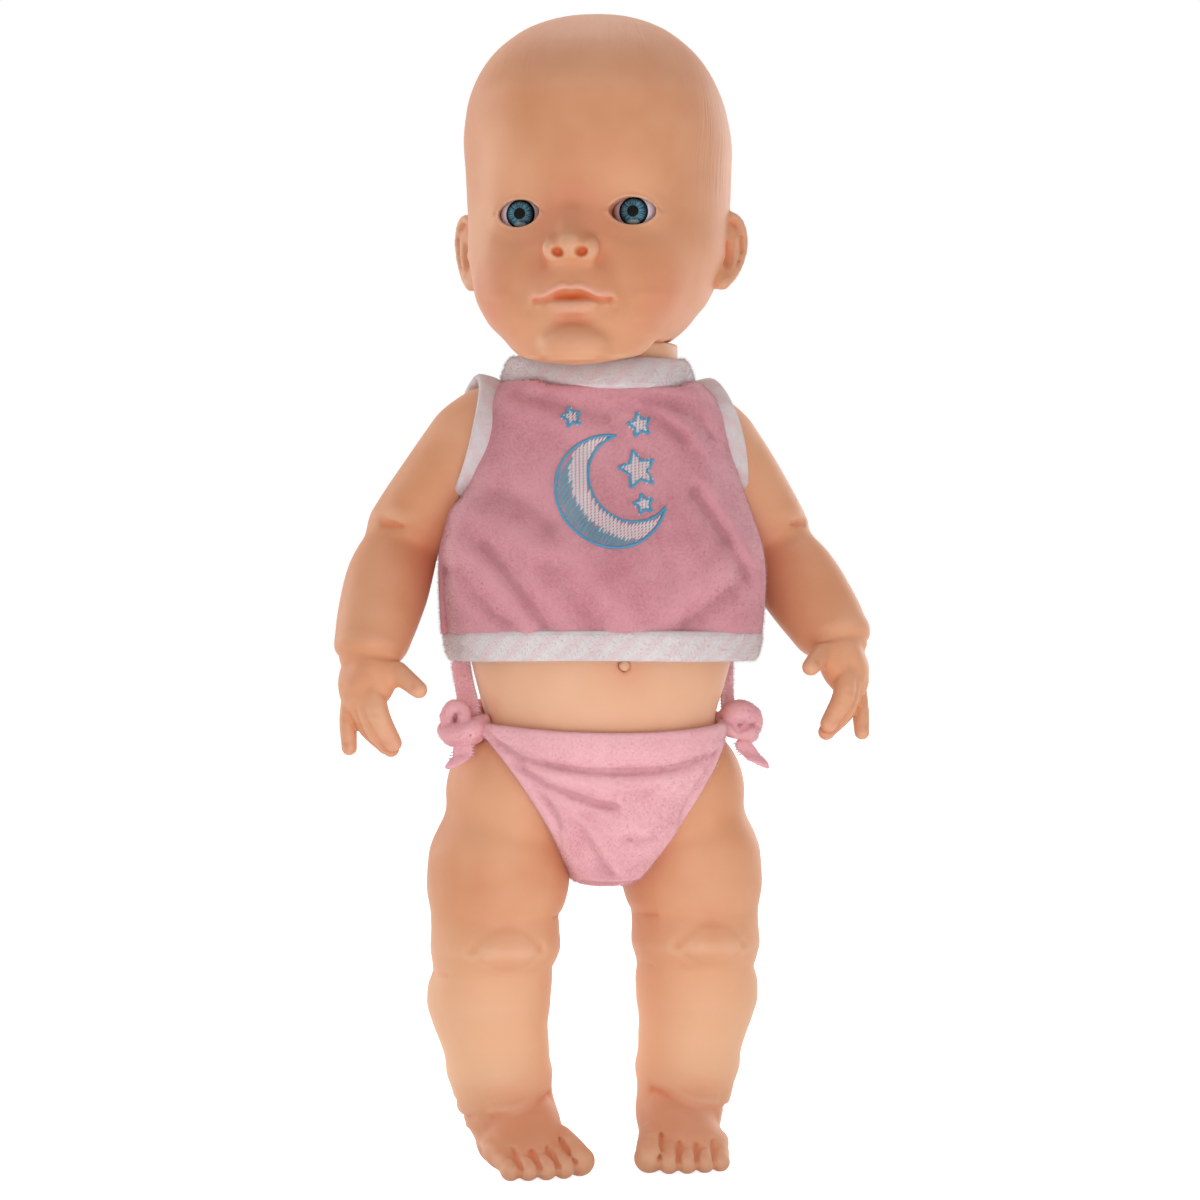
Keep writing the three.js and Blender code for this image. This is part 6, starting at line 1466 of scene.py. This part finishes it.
def bend_with_leg(ob):
    """Bakes the place of the hanging end of a tie into its mesh; it does not bend with the leg."""
    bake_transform(ob)


knots, tails = [], []
for s, name in ((-1, "right"), (1, "left")):
    corners, faces = sculpt_knot(s)
    knots.append(cloth_piece(name + "_knot", corners, faces, fleece, name + "_brief_knot", 10))
    corners, faces = sculpt_tail(s)
    tail = skin_mesh(name + "_tail", corners, faces, fleece)
    depth = hollows(corners, faces, 8)
    mark(tail, "fold", np.clip(depth * 2, -1, 1))
    bend_with_leg(tail)
    tails.append(declare(tail, None, name + "_tie_tail"))
print("knots and tails:", [len(k.data.polygons) * 2 for k in knots + tails])

# %% [markdown]
# ## Fastener
# A soft strip of hook and loop closes the top down the back. It is the surface of the top itself, raised by
# 1.6 mm inside a long box, so it lies on the cloth everywhere.

# %%
def sculpt_fastener():
    clay = Clay(ticks((-12, 12, 0.8)), ticks((20, 60, 0.8)), ticks((196, 296, 0.8)))
    outside = shirt_field(clay)
    clay.f = np.maximum(outside - 1.6, -0.6 - outside)
    _, x, y, z = clay.part()
    edge = np.maximum(np.abs(x) - 7.2, np.abs(z - 245) - 43.5)
    clay.f = -soft_least(-clay.f, -edge.astype(np.float32), 0.8)
    return clay.surface()


corners, faces = sculpt_fastener()
fastener = cloth_piece("hook_and_loop_strip", corners, faces, trim, "back_fastener", 6)
print("fastener:", len(faces) * 2, "triangles")

# %% [markdown]
# ## Trees for pile and stitches
# What repeats along a path or over a surface is made by Geometry Nodes. One tree grows pile: it scatters points
# over the cloth, stands a thin cone on each and leans it at random. The other lays stitches: every point of a
# mesh carries the turn and the size of its stitch. Both are turned into plain meshes, since instances aren't exported.


# %%
class Tree:
    """A Geometry Nodes tree with named inputs."""

    def __init__(self, name, **inputs):
        self.tree = bpy.data.node_groups.new(name, "GeometryNodeTree")
        self.tree.interface.new_socket("Geometry", in_out="INPUT", socket_type="NodeSocketGeometry")
        for label, value in inputs.items():
            kind = "NodeSocketInt" if isinstance(value, int) else "NodeSocketFloat"
            self.tree.interface.new_socket(label, in_out="INPUT", socket_type=kind).default_value = value
        self.tree.interface.new_socket("Geometry", in_out="OUTPUT", socket_type="NodeSocketGeometry")
        self.given = self.tree.nodes.new("NodeGroupInput").outputs

    def node(self, kind, output="", settings=(), first=(), **values):
        n = self.tree.nodes.new(kind)
        for key, value in dict(settings).items():
            setattr(n, key, value)
        named = {i.name: i for i in reversed(n.inputs) if i.enabled}
        pairs = [(n.inputs[k], v) for k, v in enumerate(first)] + [(named[k.replace("_", " ")], v) for k,
            v in values.items()]
        for socket, value in pairs:
            if isinstance(value, bpy.types.NodeSocket):
                self.tree.links.new(value, socket)
            else:
                socket.default_value = value
        return next(o for o in n.outputs if o.enabled and output in ("", o.name))

    def finish(self, instances):
        made = self.node("GeometryNodeRealizeInstances", Geometry=instances)
        self.material = self.node("GeometryNodeSetMaterial", Geometry=made)
        self.tree.links.new(self.material, self.tree.nodes.new("NodeGroupOutput").inputs[0])
        return self.tree


def pile_tree():
    t = Tree("pile", Density=1.0e6, Length=0.0011, Seed=1)
    grows = t.node("GeometryNodeInputNamedAttribute", "Attribute", {"data_type": "FLOAT"}, Name="pile")
    density = t.node("ShaderNodeMath", "", {"operation": "MULTIPLY"}, (grows, t.given["Density"]))
    points = t.node("GeometryNodeDistributePointsOnFaces", "Points", Mesh=t.given["Geometry"], Density=density,
        Seed=t.given["Seed"])
    scatter = points.node
    lean = t.node("FunctionNodeRandomValue", "Value", {"data_type": "FLOAT_VECTOR"}, Min=(-0.8, -0.8, -1.3),
        Max=(0.8, 0.8, 0.4), Seed=t.given["Seed"])
    way = t.node("ShaderNodeVectorMath", "", {"operation": "ADD"}, (scatter.outputs["Normal"], lean))
    turn = t.node("FunctionNodeAlignRotationToVector", "", {"axis": "Z"}, Vector=way)
    fibre = t.node("GeometryNodeMeshCone", "Mesh", Vertices=3, Side_Segments=1, Fill_Segments=1, Radius_Top=0.0,
        Radius_Bottom=0.00006, Depth=t.given["Length"])
    size = t.node("FunctionNodeRandomValue", "Value", {"data_type": "FLOAT"}, Min=0.5, Max=1.2,
        Seed=t.given["Seed"])
    return t.finish(t.node("GeometryNodeInstanceOnPoints", "", Points=points, Instance=fibre, Rotation=turn,
        Scale=size))


def stitch_tree():
    t = Tree("stitches", Fullness=1.0)
    turn = t.node("GeometryNodeInputNamedAttribute", "Attribute", {"data_type": "FLOAT_VECTOR"}, Name="turn")
    size = t.node("GeometryNodeInputNamedAttribute", "Attribute", {"data_type": "FLOAT_VECTOR"}, Name="size")
    full = t.node("ShaderNodeVectorMath", "", {"operation": "SCALE"}, (size,), Scale=t.given["Fullness"])
    thread = t.node("GeometryNodeMeshUVSphere", "Mesh", Segments=6, Rings=4, Radius=1.0)
    return t.finish(t.node("GeometryNodeInstanceOnPoints", "", Points=t.given["Geometry"], Instance=thread,
        Rotation=turn, Scale=full))


PILE, STITCH = pile_tree(), stitch_tree()


def grow(name, source, tree, material, **inputs):
    """The plain mesh that a tree makes on a piece."""
    mod = source.modifiers.new("grow", "NODES")
    mod.node_group = tree
    next(n for n in tree.nodes if n.bl_idname == "GeometryNodeSetMaterial").inputs[
        "Material"].default_value = material
    for item in tree.interface.items_tree:
        if item.in_out == "INPUT" and item.name in inputs:
            mod[item.identifier] = inputs[item.name]
    graph = bpy.context.evaluated_depsgraph_get()
    mesh = bpy.data.meshes.new_from_object(source.evaluated_get(graph), preserve_all_data_layers=True,
        depsgraph=graph)
    source.modifiers.remove(mod)
    mesh.name = name
    return new_piece(name, mesh)


print("trees:", len(PILE.nodes), "and", len(STITCH.nodes), "nodes")

# %% [markdown]
# ## Pile
# The pile stands on the outside of the top, the brief, the bindings and the knots. It softens the outlines, as in the
# photograph.


# %%
def outer(ob):
    """1 where a piece of cloth faces away from the doll's middle, and 0 inside it."""
    normals = np.array([v.normal[:] for v in ob.data.vertices])
    places = np.array([v.co[:] for v in ob.data.vertices]) * (1, 1, 0)
    mark(ob, "pile", ((normals * places).sum(1) > -0.004).astype(float))


velour_pile = pile_material("velour_pile", (202, 128, 138), (228, 162, 172), 900)
fleece_pile = pile_material("fleece_pile", (226, 158, 168), (242, 186, 192), 700)
trim_pile = pile_material("trim_pile", (216, 204, 204), (230, 222, 222), 800)
covers = [(shirt, velour_pile, 0.9e6, 0.0012), (brief, fleece_pile, 1.5e6, 0.0014)]
covers += [(ob, trim_pile, 2.2e6, length) for ob, length in zip(bindings, (0.0012, 0.0012, 0.0005, 0.0005))]
covers += [(knot, fleece_pile, 2.0e6, 0.0012) for knot in knots]
for seed, (ob, cover, density, length) in enumerate(covers, 3):
    outer(ob)
    pile = grow(ob.name + "_pile", ob, PILE, cover, Density=density, Length=length, Seed=seed)
    declare(pile, "torso", None)
for ob in (shirt, brief, *bindings, *knots, *tails):
    areas = np.empty(len(ob.data.polygons))
    ob.data.polygons.foreach_get("area", areas)
    print("cloth", ob.name, round(float(areas.sum()) / 2, 5))

# %% [markdown]
# ## Stitches
# A stitch is a point with a turn and three half sizes, in millimetres. The places come from the paths of the
# bindings, from the edges of the ties and, for the embroidery, from rows and outlines cast onto the cloth.


# %%
def stitches(name, places, material, body="torso"):
    """One piece of thread for places of (at, along, normal, half length, half width, half height)."""
    points = bpy.data.meshes.new(name + "_points")
    points.from_pydata([Vector(p[0]) * MM for p in places], [], [])
    turns, sizes = [], []
    for _, along, normal, *size in places:
        a, n = Vector(along).normalized(), Vector(normal)
        n = (n - n.dot(a) * a).normalized()
        turns.append(Matrix((a, n.cross(a), n)).transposed().to_euler()[:])
        sizes.append([v * MM for v in size])
    source = bpy.data.objects.new(name + "_points", points)
    scene.collection.objects.link(source)
    store_vectors(source, "turn", turns)
    store_vectors(source, "size", sizes)
    ob = grow(name, source, STITCH, material, Fullness=1.0)
    bpy.data.objects.remove(source)
    return declare(ob, body, None)


white_thread, seam_thread, blue_thread, line_thread = (pile_material(name + "_thread", face, brushed,
    2400) for name, face, brushed in (
    ("white", (226, 214, 218), (244, 236, 238)), ("seam", (226, 200, 204), (236, 216, 218)),
    ("blue", (88, 152, 176), (112, 178, 198)), ("line", (62, 148, 188), (84, 170, 206)),
))


def run(c, o, u, half_out, half_up, spacing=2.6):
    """A row of stitches near one edge of a binding."""
    places, far = [], 0.0
    at = c + o * (half_out * 0.93) + u * half_up
    for k in range(len(at)):
        step = at[(k + 1) % len(at)] - at[k]
        far += np.linalg.norm(step)
        if far >= spacing:
            far -= spacing
            places.append((at[k], step, o[k], 0.85, 0.16, 0.16))
    return places


rows = run(*hem_ring(720), 1.9, 4.3)
rows += run(*neck_ring(360), 2.5, -4.8)
for s in (-1, 1):
    c, o, u, width = armhole_ring(s, 0.4, 23.2, 300)
    rows += run(c, o, -u, 1.9, width[:, None] * 0.72)
seams = stitches("binding_seams", rows, seam_thread)


def tree_of(ob):
    return BVHTree.FromPolygons([(v.co * 1000)[:] for v in ob.data.vertices],
        [p.vertices[:] for p in ob.data.polygons])


def edging(points, sides, cloth):
    """Overlock stitches that wrap the long edges of a flat strip, where the strip has cloth."""
    spacing = 1.25
    p, places, far, near = curve_through(points, 24), [], 0.0, tree_of(cloth)
    for a, b in zip(p[:-1], p[1:]):
        far += np.linalg.norm(b[:3] - a[:3])
        if far >= spacing:
            far -= spacing
            turn = math.radians(a[4])
            wide = np.array([math.cos(turn), math.sin(turn), 0])
            for side in sides:
                places.append((a[:3] + side * (a[3] - 0.1) * wide, np.cross(b[:3] - a[:3], wide), side * wide, 1.3,
                    0.22, 0.5))
    return [p for p in places if near.find_nearest(Vector(p[0]))[3] < 0.7]


overlock = stitches("strap_overlock", edging(STRAPS[-1], (-1, 1), knots[0]) + edging(STRAPS[1], (-1, 1), knots[1]),
    white_thread)
for s, name in ((-1, "right"), (1, "left")):
    ob = stitches(name + "_tail_overlock", edging(FLARES[s], (-1, 1), tails[(s + 1) // 2]), seam_thread,
        None)
    bend_with_leg(ob)


# %%
def cast(tree, x, z, way=1):
    """The place and outward direction of the cloth at x and z, seen from the front (1) or the back (-1)."""
    place, normal, _, _ = tree.ray_cast(Vector((x, -90 * way, z)), Vector((0, way, 0)))
    return np.array(place), np.array(normal if normal.y * way < 0 else -normal)


rows, fastener_tree = [], tree_of(fastener)
for x in (-6.0, 6.0):
    for z in np.arange(203.5, 287, 2.2):
        place, normal = cast(fastener_tree, x, z, -1)
        rows.append((place, (0, 0, 1), normal, 0.8, 0.17, 0.17))
fastener_seams = stitches("fastener_seams", rows, seam_thread)

# the moon is a disc with a smaller one bitten out of it, and a star is (x, z, radius)
MOTIF_AT, BITE, MOON, HOLLOW = np.array([-4.2, 250.5]), np.array([7.5, 5.0]), 20.5, 16.2
STARS = [(10.0, 8.0, 7.2), (11.5, -4.6, 3.8), (11.5, 24.5, 4.6), (-13.5, 27.0, 3.8)]
STAR_TURN = 102
shirt_tree = tree_of(shirt)


def star_line(x, z, radius):
    """The outline of a star with five points."""
    a = np.radians(STAR_TURN + 36 * np.arange(11))
    r = np.where(np.arange(11) % 2 == 0, radius, radius * 0.5)
    return np.stack([x + r * np.cos(a), z + r * np.sin(a)], 1)


def in_star(p, x, z, radius):
    d = p - (x, z)
    turn = (np.degrees(np.arctan2(d[1], d[0])) - STAR_TURN) % 72
    turn = min(turn, 72 - turn)
    return np.linalg.norm(d) * (0.5 + 0.5 * turn / 36) < radius * 0.5 * 0.98


def satin(points):
    """Short stitches side by side across an outline."""
    places = []
    for a, b in zip(points[:-1], points[1:]):
        for t in np.arange(0, 1, 0.46 / max(np.linalg.norm(b - a), 0.46)):
            x, z = MOTIF_AT + a + (b - a) * t
            place, normal = cast(shirt_tree, x, z)
            side = np.array([-(b - a)[1], 0, (b - a)[0]])
            places.append((place + normal * 0.32, side, normal, 0.62, 0.3, 0.34))
    return places


def fill(inside, degrees):
    """Rows of long stitches that cover a shape."""
    length = 2.9
    places = []
    along = np.array([math.cos(math.radians(degrees)), math.sin(math.radians(degrees))])
    across = np.array([-along[1], along[0]])
    for k, r in enumerate(np.arange(-36, 36, 0.52)):
        for t in np.arange(-36, 36, length) + (k % 3) * length / 3:
            p = along * t + across * r
            if inside(p):
                x, z = MOTIF_AT + p
                place, normal = cast(shirt_tree, x, z)
                places.append((place + normal * 0.2, (along[0], 0, along[1]), normal, length * 0.5, 0.3, 0.26))
    return places


def in_moon(p):
    return np.linalg.norm(p) < MOON - 0.8 and np.linalg.norm(p - BITE) > HOLLOW + 0.8


pale = fill(lambda p: in_moon(p) and np.linalg.norm(p - BITE) < HOLLOW + 6.8, 58)
for star in STARS:
    pale += fill(lambda p: in_star(p, *star), 58)
blue = fill(lambda p: in_moon(p) and np.linalg.norm(p - BITE) > HOLLOW + 6.4, 28)
ring = [np.array([math.cos(a), math.sin(a)]) for a in np.linspace(0, 2 * math.pi, 200)]
rim = [p * MOON for p in ring if np.linalg.norm(p * MOON - BITE) > HOLLOW]
bite = [BITE + p * HOLLOW for p in ring if np.linalg.norm(BITE + p * HOLLOW) < MOON]


def longest_step(line):
    """The point that lies farthest from the one before it, where an open outline starts."""
    return max(range(len(line)), key=lambda k: np.linalg.norm(line[k] - line[k - 1]))


outline = []
for line in (rim, bite):
    k = longest_step(line)
    outline += satin(line[k:] + line[:k])
for star in STARS:
    outline += satin(star_line(*star))
motif = [stitches(n, p, m) for n, p,
    m in (("motif_pale", pale, white_thread), ("motif_blue", blue, blue_thread),
    ("motif_outline", outline, line_thread))]
print("stitches:", len(pale), len(blue), len(outline), "and", len(seams.data.polygons), "faces of seams")

# %% [markdown]
# ## Eyes
# Each eye is a pale ball with a domed iris in front. The iris has a black pupil, fine rays from blue to teal, a
# black outer ring and a clear coat. Its coordinates are kept on the mesh, since the head is turned.


# %%
IRIS_RADIUS = 5.3


def eye_piece(name, centre, profile, sides, radius, material):
    """A round piece that faces the front of the head, from (radius, depth) pairs, with its own flat coordinates."""
    (_, tip), *rings, (_, end) = profile
    angles = np.linspace(0, 2 * np.pi, sides, endpoint=False)
    corners = [(0, tip, 0), *((r * math.cos(a), depth, r * math.sin(a)) for r, depth in rings for a in angles),
        (0, end, 0)]
    faces = []
    for j in range(sides):
        n = (j + 1) % sides
        faces.append((0, 1 + j, 1 + n))
        for k in range(len(rings) - 1):
            here, ahead = 1 + k * sides, 1 + (k + 1) * sides
            faces.append((here + j, ahead + j, ahead + n, here + n))
        faces.append((len(corners) - 2 - sides + 1 + j, len(corners) - 1, len(corners) - 2 - sides + 1 + n))
    local = np.array(corners)
    mesh = bpy.data.meshes.new(name)
    mesh.from_pydata((((local + centre) @ head_turn.T + HEAD_AT) * MM).tolist(), [], faces)
    ob = new_piece(name, mesh, material)
    store_vectors(ob, "flat", local[:, [0, 2, 1]] / radius)
    return ob


def cap_profile(radius, bulge, rings):
    """The section of a domed cap, closed behind."""
    share = np.linspace(0, 1, rings + 1)[1:]
    return [(0, -bulge), *zip(share * radius, (share**2 - 1) * bulge), (radius, 0.5), (0, 0.5)]


def ball_profile(radius, rings):
    return [(radius * math.sin(t), -radius * math.cos(t)) for t in np.linspace(0, math.pi, rings + 1)]


def iris_material():
    g = Graph("iris")
    x, z, _ = g.parts(g.direction("flat"))
    r = (x * x + z * z).root()
    a = g.join(x / (r + 0.001) * 9, z / (r + 0.001) * 9, r * 1.6)
    rays = g.noise(a, 1.0, 3, 0.6)
    fine = g.noise(g.join(x / (r + 0.001) * 22, z / (r + 0.001) * 22, r * 2.2), 1.0, 2, 0.6)
    blue = g.mix(linear(20, 44, 72), linear(96, 150, 166), g.step(rays * 0.6 + fine * 0.4, 0.42, 0.58))
    blue = g.mix(blue, linear(150, 190, 192), g.step(fine, 0.6, 0.8) * 0.5)
    blue = g.mix(blue, linear(20, 30, 44), g.step(r, 0.62, 0.92) * 0.75)
    blue = g.mix(blue, linear(74, 110, 118), g.step(0.56 - r, 0.0, 0.12) * 0.5)
    dark = g.step(r + (fine - 0.5) * 0.06, 0.82, 0.9).most(g.step(0.41 - r, 0.0, 0.03))
    colour = g.mix(blue, linear(8, 7, 9), dark)
    # painted reflection: a pale patch low in the iris
    low = g.step(0.3 - (x * x * 0.35 + (z + 0.72) * (z + 0.72) * 3.2).root(), 0.0, 0.12)
    colour = g.mix(colour, linear(190, 200, 204), low * 0.55)
    return g.finish(Base_Color=colour, Roughness=0.4 + fine * 0.1, Specular_IOR_Level=0.08, Coat_Weight=0.07,
        Coat_Roughness=0.03)


def eye_white_material():
    g = Graph("eye_white")
    x, z, _ = g.parts(g.direction("flat"))
    veins = g.noise(g.join(x * 4, z * 14, 0.0), 1.5, 3)
    corner = g.step(x.size(), 0.62, 0.86)
    colour = g.mix(linear(214, 206, 218), linear(222, 168, 160), corner * (0.5 + veins * 0.5))
    return g.finish(Base_Color=colour, Roughness=0.22 + veins * 0.06, Coat_Weight=0.4, Coat_Roughness=0.05)


iris_look, white_look = iris_material(), eye_white_material()
for s, name in ((-1, "right"), (1, "left")):
    centre = np.array([s * EYE_AT[0], EYE_AT[1], EYE_AT[2]])
    ball = eye_piece(name + "_eyeball", centre, ball_profile(EYE_RADIUS, 24), 48, EYE_RADIUS, white_look)
    front = centre + (0, -EYE_RADIUS + 1.6, 0)
    cap = eye_piece(name + "_iris_cap", front, cap_profile(IRIS_RADIUS, 2.1, 12), 56, IRIS_RADIUS, iris_look)
    for ob, node, slot in ((ball, "_eye_white", "eye_white"), (cap, "_iris", "iris")):
        declare(ob, "head", name + node)

# %% [markdown]
# ## Hard parts inside and behind
# These keep their CAD shapes. Each gets a finish of its own: moulded plastic, tinned steel, a green board and
# the printed sleeve of a cell. All have a little grain, because no real surface has one flat colour.


# %%
def plain_finish(name, colour, rough, metal):
    g = Graph(name)
    at = g.place()
    mottle = g.noise(at, 600, 3)
    dust = g.noise(at, 40, 2)
    base = linear(*colour)
    shade = tuple(c * 0.88 for c in base)
    g.bump(mottle, 0.00003)
    return g.finish(Base_Color=g.mix(shade, base, mottle * 0.5 + dust * 0.5), Roughness=rough + dust * 0.1,
        Metallic=metal)


FINISHES = {name: plain_finish(name, colour, rough, metal) for name, colour, rough, metal in (
    ("black_plastic", (44, 44, 47), 0.42, 0.0), ("white_plastic", (228, 226, 218), 0.4, 0.0),
    ("board", (44, 112, 66), 0.45, 0.0),
    ("steel", (188, 190, 194), 0.28, 1.0), ("cell_sleeve", (88, 106, 160), 0.35, 0.0),
    ("lead", (176, 52, 44), 0.45, 0.0),
)}
FINISHES["hard_skin"] = hard_skin
NODE_SLOTS = {
    "battery_door": "hard_skin", "navel_button": "hard_skin", "battery_tray": "black_plastic",
    "loudspeaker": "black_plastic",
    "power_knob": "black_plastic", "power_switch_body": "white_plastic", "navel_switch": "white_plastic",
    "circuit_board": "board",
}
for node in (o.name for o in bpy.data.objects if o.type == "MESH"):
    slot = NODE_SLOTS.get(node)
    for part, finish in (("screw", "steel"), ("contact", "steel"), ("battery_cell", "cell_sleeve"),
        ("_lead", "lead")):
        slot = slot or (finish if part in node else None)
    if slot:
        materials = bpy.data.objects[node].data.materials
        materials.clear()
        materials.append(FINISHES[slot])
        print(node, "->", slot)

# %% [markdown]
# ## Floor and finish
# The doll stands on a plain pale floor that runs into the white background and keeps the soft shadow of the feet.

# %%
floor_mesh = bpy.data.meshes.new("floor")
floor_mesh.from_pydata([(-4, -4, 0), (4, -4, 0), (4, 6, 0), (-4, 6, 0)], [], [(0, 1, 2, 3)])
floor = bpy.data.objects.new("floor", floor_mesh)
scene.collection.objects.link(floor)
floor_look = Graph("floor")
rays = [floor_look.node("LightPath", kind) for kind in ("Is Camera Ray", "Is Glossy Ray", "Is Transmission Ray")]
seen_directly = rays[0].most(rays[1]).most(rays[2])
floor_mesh.materials.append(floor_look.finish(
    Base_Color=(0.8, 0.8, 0.8), Roughness=0.9, Specular_IOR_Level=0.0, Emission_Strength=1.0,
    Emission_Color=floor_look.mix((0, 0, 0), (0.86, 0.86, 0.86), seen_directly)))
